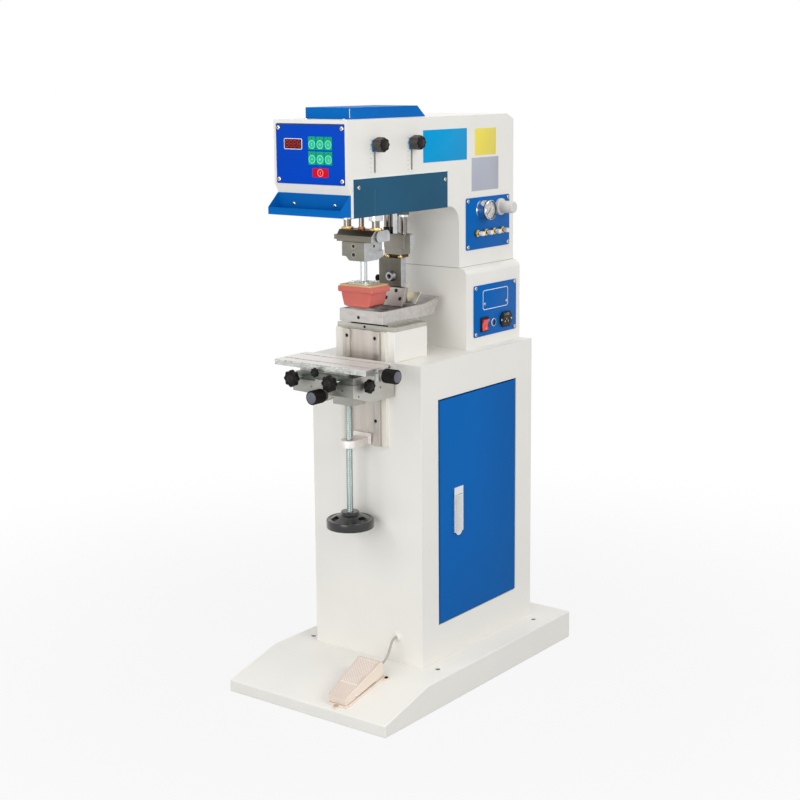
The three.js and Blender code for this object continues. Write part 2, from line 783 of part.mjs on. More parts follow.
// Door panel: its rear edge is rounded so that it turns in the frame on its pins
function makeDoor() {
  const back = DOOR_FACE - DOOR_THICKNESS;
  const nose = PIVOT_INSET_X;
  const outline = new THREE.Shape();
  outline.moveTo(back, DOOR_FRONT);
  outline.lineTo(DOOR_FACE, DOOR_FRONT);
  outline.lineTo(DOOR_FACE, PIVOT_Y);
  outline.absarc(PIVOT_X, PIVOT_Y, nose, 0, Math.PI / 4, false);
  outline.lineTo(PIVOT_X, DOOR_BACK);
  outline.lineTo(back, DOOR_BACK);
  const panel = slab('z', outline, span(DOOR_BOTTOM, DOOR_HEIGHT));
  const pins = rod('z', PIVOT_RADIUS,
    [DOOR_BOTTOM - DOOR_GAP - PIVOT_LENGTH, DOOR_BOTTOM + DOOR_HEIGHT + DOOR_GAP + PIVOT_LENGTH],
    [PIVOT_X, PIVOT_Y], ROUND_SIDES / 2);
  add('cabinet_door', join(panel, pins), bluePaint());
}

// Handle: a plate with a channel, and the lever that lies in it and swings out at its foot
function makeHandle() {
  const middle = HANDLE_FRONT + HANDLE_WIDTH / 2;
  const face = DOOR_FACE + HANDLE_THICKNESS;
  const pinX = DOOR_FACE + HANDLE_FLOOR + RUNNING_GAP + LEVER_THICKNESS / 2;
  const pinZ = LEVER_TOP - LEVER_THICKNESS / 2;
  const channelHalf = LEVER_WIDTH / 2 + RUNNING_GAP;
  const body = block([DOOR_FACE, face], span(HANDLE_FRONT, HANDLE_WIDTH), span(HANDLE_BOTTOM, HANDLE_HEIGHT));
  const channel = block([DOOR_FACE + HANDLE_FLOOR, face + CUT_OVERRUN],
    [middle - channelHalf, middle + channelHalf],
    [HANDLE_BOTTOM - CUT_OVERRUN, LEVER_TOP + RUNNING_GAP * 2]);
  const railHalf = HANDLE_WIDTH / 2;
  const pinHole = rod('y', LEVER_PIN_RADIUS + RUNNING_GAP,
    [middle - railHalf - CUT_OVERRUN, middle + railHalf + CUT_OVERRUN], [pinX, pinZ], ROUND_SIDES / 2);
  add('handle_plate', cut(body, channel, pinHole), chromeSteel());

  const outline = rounded([middle - LEVER_WIDTH / 2, middle + LEVER_WIDTH / 2],
    [LEVER_BOTTOM, pinZ + LEVER_WIDTH / 2], LEVER_WIDTH / 2 - RUNNING_GAP);
  const back = DOOR_FACE + HANDLE_FLOOR + RUNNING_GAP;
  const lever = slab('x', outline, span(back, LEVER_THICKNESS));
  const above = block([back - CUT_OVERRUN, face + CUT_OVERRUN], both(LEVER_WIDTH).map((y) => middle + y),
    [pinZ, pinZ + LEVER_WIDTH]);
  const knuckle = rod('y', LEVER_THICKNESS / 2,
    [middle - LEVER_WIDTH / 2, middle + LEVER_WIDTH / 2], [pinX, pinZ]);
  const pin = rod('y', LEVER_PIN_RADIUS, [middle - railHalf, middle + railHalf], [pinX, pinZ], ROUND_SIDES / 2);
  add('handle_lever', join(cut(lever, above), knuckle, pin), chromeSteel());
}

// Column block, slide rail and the bracket that carries the lifting screw's nut
function makeColumn() {
  const columnBack = CABINET_FRONT + COLUMN_DEPTH;
  add('column_block', block(both(COLUMN_WIDTH / 2), [CABINET_FRONT, columnBack], [CABINET_TOP, COLUMN_TOP]),
    whitePaint());

  let rail = slab('z', railSection(0), [RAIL_BOTTOM, COLUMN_TOP]);
  const front = RAIL_FACE - RAIL_WAY_HEIGHT;
  for (const x of both(RAIL_BOLT_X)) {
    for (const z of [COLUMN_TOP - RAIL_BOLT_INSET, RAIL_BOTTOM + RAIL_BOLT_LOW]) {
      rail = cut(rail, rod('y', RAIL_BOLT_RADIUS, [front - CUT_OVERRUN, front + RAIL_BOLT_DEPTH], [x, z],
        ROUND_SIDES / 2));
    }
  }
  add('slide_rail', rail, milledSteel());

  const foot = block(both(BRACKET_FOOT_HALF), [RAIL_FACE - BRACKET_FOOT, RAIL_FACE],
    span(BRACKET_BOTTOM, BRACKET_FOOT_HEIGHT));
  const arm = new THREE.Shape();
  arm.moveTo(BRACKET_HALF, RAIL_FACE);
  arm.lineTo(-BRACKET_HALF, RAIL_FACE);
  arm.lineTo(-BRACKET_HALF, SCREW_Y);
  arm.absarc(0, SCREW_Y, BRACKET_HALF, Math.PI, Math.PI * 2, false);
  const bracket = join(slab('z', arm, span(BRACKET_BOTTOM, BRACKET_HEIGHT)), foot);
  const hole = rod('z', SCREW_RADIUS + RUNNING_GAP,
    [BRACKET_BOTTOM - CUT_OVERRUN, BRACKET_BOTTOM + BRACKET_HEIGHT + CUT_OVERRUN], [0, SCREW_Y]);
  add('screw_bracket', cut(bracket, hole), milledSteel());
}

// The rail's cross-section, a base strip with two raised ways, grown by a gap.
function railSection(gap) {
  const half = RAIL_WIDTH / 2 + gap;
  const face = RAIL_FACE - gap;
  const wayFace = RAIL_FACE - RAIL_WAY_HEIGHT - gap;
  const outer = RAIL_WAY_OUTER + gap;
  const inner = RAIL_WAY_INNER - gap;
  return polygon([
    [-half, CABINET_FRONT], [-half, face], [-outer, face], [-outer, wayFace], [-inner, wayFace],
    [-inner, face], [inner, face], [inner, wayFace], [outer, wayFace], [outer, face],
    [half, face], [half, CABINET_FRONT],
  ]);
}

// Lifting screw and its handwheel
function makeLift() {
  add('table_screw', rod('z', SCREW_RADIUS, [SCREW_BOTTOM, SCREW_TOP], [0, SCREW_Y]), zincSteel());

  const rimTop = WHEEL_BOTTOM + WHEEL_RIM_HEIGHT;
  const collarBottom = WHEEL_COLLAR_TOP - WHEEL_COLLAR_HEIGHT;
  const rimInner = WHEEL_RADIUS - WHEEL_RIM_WALL;
  const bore = SCREW_RADIUS + RUNNING_GAP;
  const wheel = lathe([
    [bore, WHEEL_BOTTOM],
    [WHEEL_HUB_RADIUS, WHEEL_BOTTOM],
    [WHEEL_HUB_RADIUS, collarBottom - WHEEL_WEB],
    [WHEEL_COLLAR_RADIUS, collarBottom - WHEEL_WEB],
    [rimInner, rimTop - WHEEL_DISH - WHEEL_WEB],
    [rimInner, WHEEL_BOTTOM],
    [WHEEL_RADIUS - WHEEL_DISH / 2, WHEEL_BOTTOM],
    [WHEEL_RADIUS, WHEEL_BOTTOM + WHEEL_DISH / 2],
    [WHEEL_RADIUS, rimTop - WHEEL_DISH],
    [WHEEL_RADIUS - WHEEL_DISH, rimTop],
    [rimInner, rimTop - WHEEL_DISH / 2],
    [WHEEL_COLLAR_RADIUS, collarBottom],
    [WHEEL_COLLAR_RADIUS, WHEEL_COLLAR_TOP - WHEEL_DISH / 3],
    [WHEEL_COLLAR_RADIUS - WHEEL_DISH / 3, WHEEL_COLLAR_TOP],
    [bore, WHEEL_COLLAR_TOP],
    [bore, WHEEL_BOTTOM],
  ]);
  const windows = [];
  for (let index = 0; index < WHEEL_WINDOWS; index += 1) {
    const outerEnd = rimInner - WHEEL_DISH;
    const window = rounded([outerEnd - WHEEL_WINDOW_LENGTH, outerEnd], both(WHEEL_WINDOW_WIDTH / 2),
      WHEEL_WINDOW_LENGTH / 4);
    const turn = (360 * index) / WHEEL_WINDOWS;
    windows.push(slab('z', window, [WHEEL_BOTTOM, WHEEL_COLLAR_TOP]).rotate([0, 0, turn]));
  }
  add('handwheel', cut(wheel, ...windows).translate([0, SCREW_Y, 0]), blackPlastic());
}

// Knee, with the channel for the rail, the screw's thrust block and the cross screw's boss
function makeKnee() {
  const side = polygon([
    [KNEE_BACK, KNEE_TOP], [KNEE_FRONT, KNEE_TOP], [KNEE_FRONT, KNEE_NOSE_BOTTOM],
    [KNEE_SLOPE_END, KNEE_CHEEK_BOTTOM], [KNEE_BACK, KNEE_CHEEK_BOTTOM],
  ].reverse());
  const body = slab('x', side, both(KNEE_HALF));
  const under = block(both(KNEE_HALF - KNEE_CHEEK), [KNEE_FRONT - CUT_OVERRUN, 0],
    [0, KNEE_NOSE_BOTTOM]);
  const thrust = block(both(THRUST_HALF), span(THRUST_FRONT, THRUST_DEPTH),
    [THRUST_BOTTOM, KNEE_NOSE_BOTTOM + CUT_OVERRUN]);
  const rib = block(both(KNEE_RIB_HALF), [KNEE_FRONT, CROSS_BACK],
    [KNEE_TOP - CUT_OVERRUN, KNEE_TOP + KNEE_RIB_HEIGHT]);
  const boss = rod('y', KNEE_BOSS_RADIUS, [KNEE_FRONT - KNEE_BOSS, KNEE_FRONT + KNEE_BOSS_ROOT],
    [CROSS_KNOB_X, CROSS_KNOB_Z]);
  const railWay = slab('z', railSection(RUNNING_GAP), [0, COLUMN_TOP]);
  const screwBore = rod('z', SCREW_RADIUS + RUNNING_GAP, [0, SCREW_TOP + RUNNING_GAP], [0, SCREW_Y]);
  const shaftBore = rod('y', ADJUST_SHAFT_RADIUS + RUNNING_GAP,
    [KNEE_FRONT - KNEE_BOSS - CUT_OVERRUN, KNEE_FRONT - KNEE_BOSS + ADJUST_SHAFT_DEPTH + RUNNING_GAP],
    [CROSS_KNOB_X, CROSS_KNOB_Z], ROUND_SIDES / 2);
  const clampBore = rod('x', CLAMP_SCREW_RADIUS + RUNNING_GAP,
    [KNEE_HALF - CLAMP_WELL, KNEE_HALF + CUT_OVERRUN], [SIDE_CLAMP_Y, KNEE_TOP - SIDE_CLAMP_BELOW],
    ROUND_SIDES / 2);
  add('knee', cut(join(cut(body, under), thrust, rib, boss), railWay, screwBore, shaftBore, clampBore),
    milledSteel());
}

// The two slides and the table that they carry
function makeSlides() {
  const ribWay = block(both(KNEE_RIB_HALF + RUNNING_GAP), [KNEE_FRONT - CUT_OVERRUN, 0],
    [0, KNEE_TOP + KNEE_RIB_HEIGHT + RUNNING_GAP]);
  const longZ = (CROSS_TOP + LONG_BOTTOM) / 2;
  const crossPlate = block(both(CROSS_HALF), [CROSS_FRONT, CROSS_BACK], [CROSS_BOTTOM, CROSS_TOP]);
  const longRib = block(both(CROSS_HALF), longRibRange(0), [CROSS_TOP - CUT_OVERRUN, longZ + KNEE_RIB_HEIGHT]);
  const screwWay = longScrewSpace([-CROSS_HALF - CUT_OVERRUN, CROSS_HALF + CUT_OVERRUN]);
  const clampBores = [CLAMP_LEFT_X, CLAMP_CENTRE_X].map((x) => rod('y', CLAMP_SCREW_RADIUS + RUNNING_GAP,
    [CROSS_FRONT - CUT_OVERRUN, CROSS_FRONT + CLAMP_WELL], [x, CLAMP_Z], ROUND_SIDES / 2));
  add('cross_slide', cut(join(crossPlate, longRib), ribWay, screwWay, ...clampBores), milledSteel());

  const longPlate = block([LONG_LEFT, LONG_RIGHT], [LONG_FRONT, LONG_BACK], [LONG_BOTTOM, TABLE_BOTTOM]);
  const longWay = block(both(TABLE_HALF), longRibRange(RUNNING_GAP), [0, longZ + KNEE_RIB_HEIGHT + RUNNING_GAP]);
  const tableBore = rod('y', TABLE_CLAMP_SCREW_RADIUS + RUNNING_GAP,
    [LONG_FRONT - CUT_OVERRUN, LONG_FRONT + CLAMP_WELL], [TABLE_CLAMP_X, tableClampZ()], ROUND_SIDES / 2);
  const nutBore = longScrewSpace([LONG_RIGHT - LONG_SCREW_BORE, LONG_RIGHT + CUT_OVERRUN]);
  add('long_slide', cut(longPlate, longWay, tableBore, nutBore), milledSteel());

  const top = block(both(TABLE_HALF), span(TABLE_FRONT, TABLE_DEPTH), [TABLE_BOTTOM, TABLE_TOP]);
  const slots = TABLE_SLOT_SHARES.flatMap((share) => {
    const y = TABLE_FRONT + TABLE_DEPTH * share;
    const along = both(TABLE_HALF + CUT_OVERRUN);
    return [
      block(along, [y - SLOT_NECK / 2, y + SLOT_NECK / 2], [TABLE_TOP - SLOT_DEPTH, TABLE_TOP + CUT_OVERRUN]),
      block(along, [y - SLOT_FOOT / 2, y + SLOT_FOOT / 2],
        [TABLE_TOP - SLOT_DEPTH, TABLE_TOP - SLOT_NECK_DEPTH]),
    ];
  });
  const end = TABLE_HALF + LONG_END_PLATE;
  const endPlate = block([TABLE_HALF - CUT_OVERRUN, end],
    [LONG_KNOB_Y - LONG_END_HALF, LONG_KNOB_Y + LONG_END_HALF],
    [TABLE_BOTTOM - LONG_END_DROP, TABLE_TOP - LONG_END_SETDOWN]);
  const endBore = longScrewSpace([TABLE_HALF - CUT_OVERRUN * 2, end + CUT_OVERRUN]);
  add('work_table', cut(join(cut(top, ...slots), endPlate), endBore), milledSteel());
}

// The round way that the long screw takes, with a running gap.
function longScrewSpace(range) {
  return rod('x', ADJUST_SHAFT_RADIUS + RUNNING_GAP, range, [LONG_KNOB_Y, TABLE_BOTTOM - LONG_KNOB_BELOW],
    ROUND_SIDES / 2);
}

function longRibRange(gap) {
  const middle = (LONG_FRONT + LONG_BACK) / 2;
  return [middle - LONG_RIB_HALF - gap, middle + LONG_RIB_HALF + gap];
}

function tableClampZ() {
  return TABLE_BOTTOM - TABLE_CLAMP_SCREW_RADIUS - RUNNING_GAP * 4;
}

// A knurled knob with its collar, end cap recess and shaft, standing on z = 0.
function knurledKnob(name, axis, place, depth) {
  const shaft = rod('z', ADJUST_SHAFT_RADIUS, [-depth, KNURL_COLLAR], [0, 0], ROUND_SIDES / 2);
  const collar = rod('z', KNURL_COLLAR_RADIUS, [RUNNING_GAP, KNURL_COLLAR + RUNNING_GAP], [0, 0]);
  const grip = slab('z', wavy(KNURL_RADIUS, KNURL_DEPTH, KNURL_RIDGES, KNURL_RIDGES * 2),
    [KNURL_COLLAR, KNURL_COLLAR + KNURL_LENGTH]);
  const end = KNURL_COLLAR + KNURL_LENGTH;
  const recess = rod('z', KNURL_CAP_RADIUS, [end - KNURL_CAP_RECESS, end + CUT_OVERRUN], [0, 0]);
  mount(add(name, join(shaft, collar, cut(grip, recess)), blackPlastic()), axis, place);
}

// A star knob with its hub and screw, standing on z = 0 and reaching to z = reach.
function starKnob(name, axis, place, radius, reach, screw, depth) {
  const head = radius * STAR_HEAD_SHARE;
  const neck = radius * STAR_NECK_SHARE;
  const grip = slab('z', wavy(radius, radius * STAR_WAVE_SHARE * 2, STAR_LOBES, STAR_LOBES * 4),
    [reach - head, reach]);
  const hub = rod('z', radius * STAR_HUB_SHARE, [reach - head - neck, reach - head / 2], [0, 0]);
  const stem = rod('z', screw, [-depth, reach - head], [0, 0], ROUND_SIDES / 2);
  mount(add(name, join(grip, hub, stem), blackPlastic()), axis, place);
}

function makeTableKnobs() {
  knurledKnob('cross_screw_knob', 'y', [CROSS_KNOB_X, KNEE_FRONT - KNEE_BOSS, CROSS_KNOB_Z],
    ADJUST_SHAFT_DEPTH);
  knurledKnob('long_screw_knob', 'x',
    [TABLE_HALF + LONG_END_PLATE, LONG_KNOB_Y, TABLE_BOTTOM - LONG_KNOB_BELOW], LONG_SCREW_DEPTH);
  starKnob('clamp_knob_left', 'y', [CLAMP_LEFT_X, CROSS_FRONT, CLAMP_Z],
    CLAMP_RADIUS, CLAMP_REACH, CLAMP_SCREW_RADIUS, CLAMP_DEPTH);
  starKnob('clamp_knob_centre', 'y', [CLAMP_CENTRE_X, CROSS_FRONT, CLAMP_Z],
    CLAMP_RADIUS, CLAMP_REACH, CLAMP_SCREW_RADIUS, CLAMP_DEPTH);
  starKnob('clamp_knob_table', 'y', [TABLE_CLAMP_X, LONG_FRONT, tableClampZ()],
    TABLE_CLAMP_RADIUS, TABLE_CLAMP_REACH, TABLE_CLAMP_SCREW_RADIUS, CLAMP_DEPTH);
  starKnob('clamp_knob_side', 'x', [KNEE_HALF, SIDE_CLAMP_Y, KNEE_TOP - SIDE_CLAMP_BELOW],
    SIDE_CLAMP_RADIUS, SIDE_CLAMP_REACH, CLAMP_SCREW_RADIUS, CLAMP_DEPTH);
}

// Bed plate with its adjusting plate, the ink tray and the etched plate that lies in it
function makeTray() {
  const bed = block(both(BED_HALF), [BED_FRONT, BED_BACK], [COLUMN_TOP, BED_TOP]);
  const adjust = block([ADJUST_LEFT, ADJUST_RIGHT], [BED_FRONT, BED_BACK], [COLUMN_TOP, TRAY_BOTTOM]);
  const slot = block([BED_SLOT_X - BED_SLOT_WIDTH / 2, BED_SLOT_X + BED_SLOT_WIDTH / 2],
    span(BED_SLOT_FRONT, BED_SLOT_LENGTH), [BED_TOP - BED_SLOT_DEPTH, BED_TOP + CUT_OVERRUN]);
  add('bed_plate', cut(join(bed, adjust), slot), milledSteel());

  const side = polygon([
    [TRAY_FRONT, TRAY_BOTTOM], [TRAY_FOOT_BACK, TRAY_BOTTOM], [TRAY_BACK, TRAY_REAR_TOP],
    [TRAY_RISE_START, TRAY_TOP], [TRAY_FRONT, TRAY_TOP],
  ]);
  const inner = TRAY_HALF - TRAY_SIDE_RIM;
  const recess = block(both(inner), [TRAY_FRONT + TRAY_RIM, PLATE_BACK + TRAY_RIM],
    [TRAY_TOP - PLATE_RECESS, TRAY_TOP + CUT_OVERRUN]);
  const floor = TRAY_TOP - WELL_DEPTH;
  const over = TRAY_REAR_TOP + CUT_OVERRUN;
  const well = slab('x', polygon([
    [PLATE_BACK + RUNNING_GAP, floor], [WELL_FLOOR_BACK, floor],
    [WELL_BACK, over], [PLATE_BACK + RUNNING_GAP, over],
  ]), both(inner));
  add('ink_tray', cut(slab('x', side, both(TRAY_HALF)), recess, well), milledSteel());
  add('cliche_plate', block(both(inner - RUNNING_GAP), [TRAY_FRONT + TRAY_RIM + RUNNING_GAP, PLATE_BACK],
    span(TRAY_TOP - PLATE_RECESS, PLATE_THICKNESS)), darkSteel());
}

// Silicone pad: a flange and a body that tapers to a crowned printing face
function makePad() {
  const flangeBottom = PAD_FLANGE_TOP - PAD_FLANGE_HEIGHT;
  const flange = block(both(PAD_FLANGE_HALF_X), both(PAD_FLANGE_HALF_Y).map((y) => PAD_Y + y),
    [flangeBottom, PAD_FLANGE_TOP]);
  const narrow = PAD_BODY_HALF_X * PAD_TAPER_SHARE;
  const bodyTop = flangeBottom + PAD_FLANGE_HEIGHT / 2;
  const front = [[PAD_BODY_HALF_X, bodyTop], [-PAD_BODY_HALF_X, bodyTop]];
  for (let step = 0; step <= PAD_CROWN_STEPS; step += 1) {
    const across = (2 * step) / PAD_CROWN_STEPS - 1;
    front.push([across * narrow, PAD_LOWEST + (PAD_CORNER_Z - PAD_LOWEST) * across * across]);
  }
  const side = [[PAD_Y - PAD_BODY_HALF_Y, PAD_FLANGE_TOP], [PAD_Y + PAD_BODY_HALF_Y, PAD_FLANGE_TOP]];
  const shallow = PAD_BODY_HALF_Y * PAD_END_TAPER_SHARE;
  side.reverse();
  for (let step = 0; step <= PAD_CROWN_STEPS; step += 1) {
    const along = (2 * step) / PAD_CROWN_STEPS - 1;
    side.push([PAD_Y + along * shallow, PAD_LOWEST + (PAD_END_Z - PAD_LOWEST) * along * along]);
  }
  const body = slab('y', polygon(front), both(PAD_BODY_HALF_Y).map((y) => PAD_Y + y))
    .intersect(slab('x', polygon(side), both(PAD_BODY_HALF_X)));
  const backing = block(both(BACKING_HALF_X), both(BACKING_HALF_Y).map((y) => PAD_Y + y),
    [PAD_FLANGE_TOP - PAD_FLANGE_HEIGHT / 2, PAD_FLANGE_TOP + BACKING_HEIGHT]);
  add('print_pad', join(flange, body, backing), paint(0xc8685c, 0.5, 0));
}

// Pad rod on its fixing plate, the holder, the crossbar and the rods that guide it
function makePadHead() {
  const plateBottom = PAD_FLANGE_TOP + BACKING_HEIGHT;
  const outline = rounded(both(FIXING_HALF_X), [PAD_Y - FIXING_HALF_Y, PAD_Y + FIXING_HALF_Y], FIXING_CORNER);
  const plate = slab('z', outline, span(plateBottom, FIXING_HEIGHT));
  const rodTop = CROSSBAR_BOTTOM - RUNNING_GAP;
  add('pad_rod', join(plate, rod('z', PAD_ROD_RADIUS, [plateBottom, rodTop], [0, PAD_Y])), chromeSteel());

  const face = polygon([
    [-HOLDER_HALF, CROSSBAR_BOTTOM], [-HOLDER_HALF, HOLDER_BOTTOM + HOLDER_NOTCH_Z],
    [-HOLDER_HALF + HOLDER_NOTCH_X, HOLDER_BOTTOM + HOLDER_NOTCH_Z],
    [-HOLDER_HALF + HOLDER_NOTCH_X + HOLDER_CHAMFER, HOLDER_BOTTOM], [HOLDER_HALF, HOLDER_BOTTOM],
    [HOLDER_HALF, CROSSBAR_BOTTOM],
  ]);
  const step = block([HOLDER_HALF - HOLDER_STEP, HOLDER_HALF + CUT_OVERRUN],
    [HOLDER_STEP_Y, HOLDER_BACK + CUT_OVERRUN], [HOLDER_STEP_Z, CROSSBAR_BOTTOM + CUT_OVERRUN]);
  const rodBore = rod('z', PAD_ROD_RADIUS + RUNNING_GAP, [0, CROSSBAR_TOP], [0, PAD_Y]);
  const tail = slab('x', polygon([
    [HOLDER_BACK - HOLDER_TAIL, HOLDER_BOTTOM], [HOLDER_BACK, HOLDER_BOTTOM - HOLDER_TAIL_RISE],
    [HOLDER_BACK + HOLDER_TAIL, HOLDER_BOTTOM],
    [HOLDER_BACK + HOLDER_TAIL, HOLDER_BOTTOM + HOLDER_TAIL_RISE * 2],
  ]), both(HOLDER_HALF + CUT_OVERRUN));
  add('pad_holder', cut(slab('y', face, [HOLDER_FRONT, HOLDER_BACK]), step, tail, rodBore), milledSteel());

  makeCrossbar();
  makeGuide('pad_guide_left', -GUIDE_X, GUIDE_RADIUS, GUIDE_NUT_RADIUS);
  makeGuide('pad_guide_right', GUIDE_X, GUIDE_RADIUS, GUIDE_NUT_RADIUS);
  makeGuide('pad_piston_rod', 0, PISTON_RADIUS, PISTON_NUT_RADIUS);
}

function makeCrossbar() {
  const shoulder = CROSSBAR_FRONT + CROSSBAR_NOSE;
  const plan = slab('z', polygon([
    [-CROSSBAR_NOSE_HALF, CROSSBAR_FRONT], [CROSSBAR_NOSE_HALF, CROSSBAR_FRONT],
    [CROSSBAR_HALF, shoulder], [CROSSBAR_HALF, CROSSBAR_BACK],
    [-CROSSBAR_HALF, CROSSBAR_BACK], [-CROSSBAR_HALF, shoulder],
  ]), [CROSSBAR_BOTTOM, CROSSBAR_TOP]);
  const side = new THREE.Shape();
  const corner = CROSSBAR_TOP_CHAMFER;
  side.moveTo(CROSSBAR_FRONT, CROSSBAR_BOTTOM);
  side.lineTo(CROSSBAR_BACK, CROSSBAR_BOTTOM);
  side.lineTo(CROSSBAR_BACK, CROSSBAR_TOP - corner);
  side.absarc(CROSSBAR_BACK - corner, CROSSBAR_TOP - corner, corner, 0, Math.PI / 2, false);
  side.lineTo(CROSSBAR_FRONT + corner, CROSSBAR_TOP);
  side.lineTo(CROSSBAR_FRONT, CROSSBAR_TOP - corner);
  const body = plan.intersect(slab('x', side, both(CROSSBAR_HALF)));
  const lug = block([-LUG_REACH, 0], span(shoulder - LUG_DEPTH / 2, LUG_DEPTH), span(LUG_BOTTOM, LUG_HEIGHT));
  const seat = CROSSBAR_TOP - GUIDE_SEAT;
  const range = [seat - RUNNING_GAP, CROSSBAR_TOP + CUT_OVERRUN];
  const bores = [
    rod('z', GUIDE_RADIUS + RUNNING_GAP, range, [-GUIDE_X, GUIDE_Y]),
    rod('z', GUIDE_RADIUS + RUNNING_GAP, range, [GUIDE_X, GUIDE_Y]),
    rod('z', PISTON_RADIUS + RUNNING_GAP, range, [0, GUIDE_Y]),
  ];
  const barEnd = slab('x', rounded([BAR_END_FRONT, BAR_END_BACK], [CROSSBAR_BOTTOM, CROSSBAR_TOP], BAR_END_CORNER),
    [GUIDE_X, BAR_END_REACH]);
  add('pad_crossbar', cut(join(body, lug, barEnd), ...bores), darkSteel());
}

// A rod seated in the crossbar, with the nut that locks it there.
function makeGuide(name, x, radius, nutRadius) {
  const bar = rod('z', radius, [CROSSBAR_TOP - GUIDE_SEAT, GUIDE_TOP], [x, GUIDE_Y]);
  const nut = rod('z', nutRadius, span(CROSSBAR_TOP, GUIDE_NUT_HEIGHT), [x, GUIDE_Y]);
  add(name, join(bar, nut), chromeSteel());
}

// Shuttle carriage: runs on the head's ways and carries the pad cylinder and both guides
function makeCarriage() {
  const top = CARRIAGE_BOTTOM + CARRIAGE_HEIGHT;
  const half = HEAD_SIDE - HEAD_WALL - CARRIAGE_SIDE_GAP;
  const plate = block(both(half), [CARRIAGE_FRONT, CARRIAGE_BACK], [CARRIAGE_BOTTOM, top]);
  const wayReach = HEAD_SIDE - HEAD_WALL - WAY_REACH - RUNNING_GAP;
  const grooves = both(1).map((sign) => {
    const range = [sign * wayReach, sign * HEAD_SIDE].sort((low, high) => low - high);
    return block(range, [CARRIAGE_FRONT - CUT_OVERRUN, CARRIAGE_BACK + CUT_OVERRUN],
      [WAY_BOTTOM - RUNNING_GAP, WAY_BOTTOM + WAY_HEIGHT + RUNNING_GAP]);
  });
  const bushes = [
    rod('z', BUSH_RADIUS, [BUSH_BOTTOM, top], [-GUIDE_X, GUIDE_Y]),
    rod('z', BUSH_RADIUS, [BUSH_BOTTOM, top], [GUIDE_X, GUIDE_Y]),
    rod('z', SMALL_BUSH_RADIUS, [SMALL_BUSH_BOTTOM, top], [GUIDE_RIGHT_X, DOCTOR_Y]),
    rod('z', BARREL_RADIUS, [CARRIAGE_BOTTOM, BARREL_TOP], [0, GUIDE_Y]),
  ];
  const through = [0, HEAD_TOP];
  const bores = [
    rod('z', GUIDE_RADIUS + RUNNING_GAP, through, [-GUIDE_X, GUIDE_Y]),
    rod('z', GUIDE_RADIUS + RUNNING_GAP, through, [GUIDE_X, GUIDE_Y]),
    rod('z', PISTON_RADIUS + RUNNING_GAP, through, [0, GUIDE_Y]),
    rod('z', GUIDE_LEFT_RADIUS + RUNNING_GAP, through, [GUIDE_LEFT_X, DOCTOR_Y]),
    rod('z', GUIDE_RIGHT_RADIUS + RUNNING_GAP, through, [GUIDE_RIGHT_X, DOCTOR_Y]),
    block(both(LIFT_BAR_HALF + RUNNING_GAP), liftBarRange(RUNNING_GAP), through),
  ];
  add('shuttle_carriage', cut(join(plate, ...bushes), ...grooves, ...bores), darkSteel());
}

function liftBarRange(gap) {
  return [DOCTOR_Y - LIFT_BAR_HALF - gap, DOCTOR_Y + LIFT_BAR_HALF + gap];
}

// Doctor unit
function makeDoctor() {
  const bottom = DOCTOR_TOP - DOCTOR_HEIGHT;
  const upper = block([DOCTOR_LEFT, DOCTOR_RIGHT], [DOCTOR_FRONT, DOCTOR_BACK], [bottom, DOCTOR_TOP]);
  const ear = block([0, DOCTOR_EAR_REACH], span(DOCTOR_EAR_FRONT, DOCTOR_EAR_DEPTH), [bottom, DOCTOR_TOP]);
  const step = block([DOCTOR_STEP_LEFT, DOCTOR_STEP_RIGHT], [DOCTOR_FRONT, DOCTOR_BACK],
    [DOCTOR_STEP_BOTTOM, DOCTOR_TOP]);
  const bar = block(both(LIFT_BAR_HALF), liftBarRange(0), [bottom, DOCTOR_GUIDE_TOP]);
  const seat = DOCTOR_TOP - DOCTOR_GUIDE_SEAT - RUNNING_GAP;
  const bores = [
    rod('z', GUIDE_LEFT_RADIUS + RUNNING_GAP, [seat, DOCTOR_TOP + CUT_OVERRUN], [GUIDE_LEFT_X, DOCTOR_Y]),
    rod('z', GUIDE_RIGHT_RADIUS + RUNNING_GAP, [seat, DOCTOR_TOP + CUT_OVERRUN], [GUIDE_RIGHT_X, DOCTOR_Y]),
  ];
  for (const x of levelScrewPlaces()) {
    bores.push(rod('z', LEVEL_SCREW_RADIUS + RUNNING_GAP,
      [0, DOCTOR_STEP_BOTTOM + LEVEL_SCREW_SEAT + RUNNING_GAP], [x, BLADE_PLATE_BACK - LEVEL_SCREW_SEAT],
      ROUND_SIDES / 2));
  }
  add('doctor_block', cut(join(upper, ear, step, bar), ...bores), darkSteel());

  const guideFoot = DOCTOR_TOP - DOCTOR_GUIDE_SEAT;
  const left = rod('z', GUIDE_LEFT_RADIUS, [guideFoot, DOCTOR_GUIDE_TOP], [GUIDE_LEFT_X, DOCTOR_Y]);
  const nut = rod('z', LOCK_NUT_RADIUS, span(DOCTOR_TOP, LOCK_NUT_HEIGHT), [GUIDE_LEFT_X, DOCTOR_Y]);
  add('doctor_guide_left', cut(join(left, nut), liftBarClearance()), chromeSteel());
  add('doctor_guide_right', rod('z', GUIDE_RIGHT_RADIUS, [guideFoot, DOCTOR_GUIDE_TOP],
    [GUIDE_RIGHT_X, DOCTOR_Y]), chromeSteel());
}

// The space that the lift bar takes, for the nut beside it.
function liftBarClearance() {
  return block(both(LIFT_BAR_HALF + RUNNING_GAP), liftBarRange(RUNNING_GAP), [0, HEAD_TOP]);
}

function levelScrewPlaces() {
  return [LEVEL_SCREW_LEFT, LEVEL_SCREW_RIGHT];
}

// Where the leaning blade holder's rear face is at a height.
function holderRear(z) {
  return BLADE_HOLDER_FRONT + BLADE_HOLDER_DEPTH - (BLADE_HOLDER_TOP - z) * BLADE_LEAN;
}

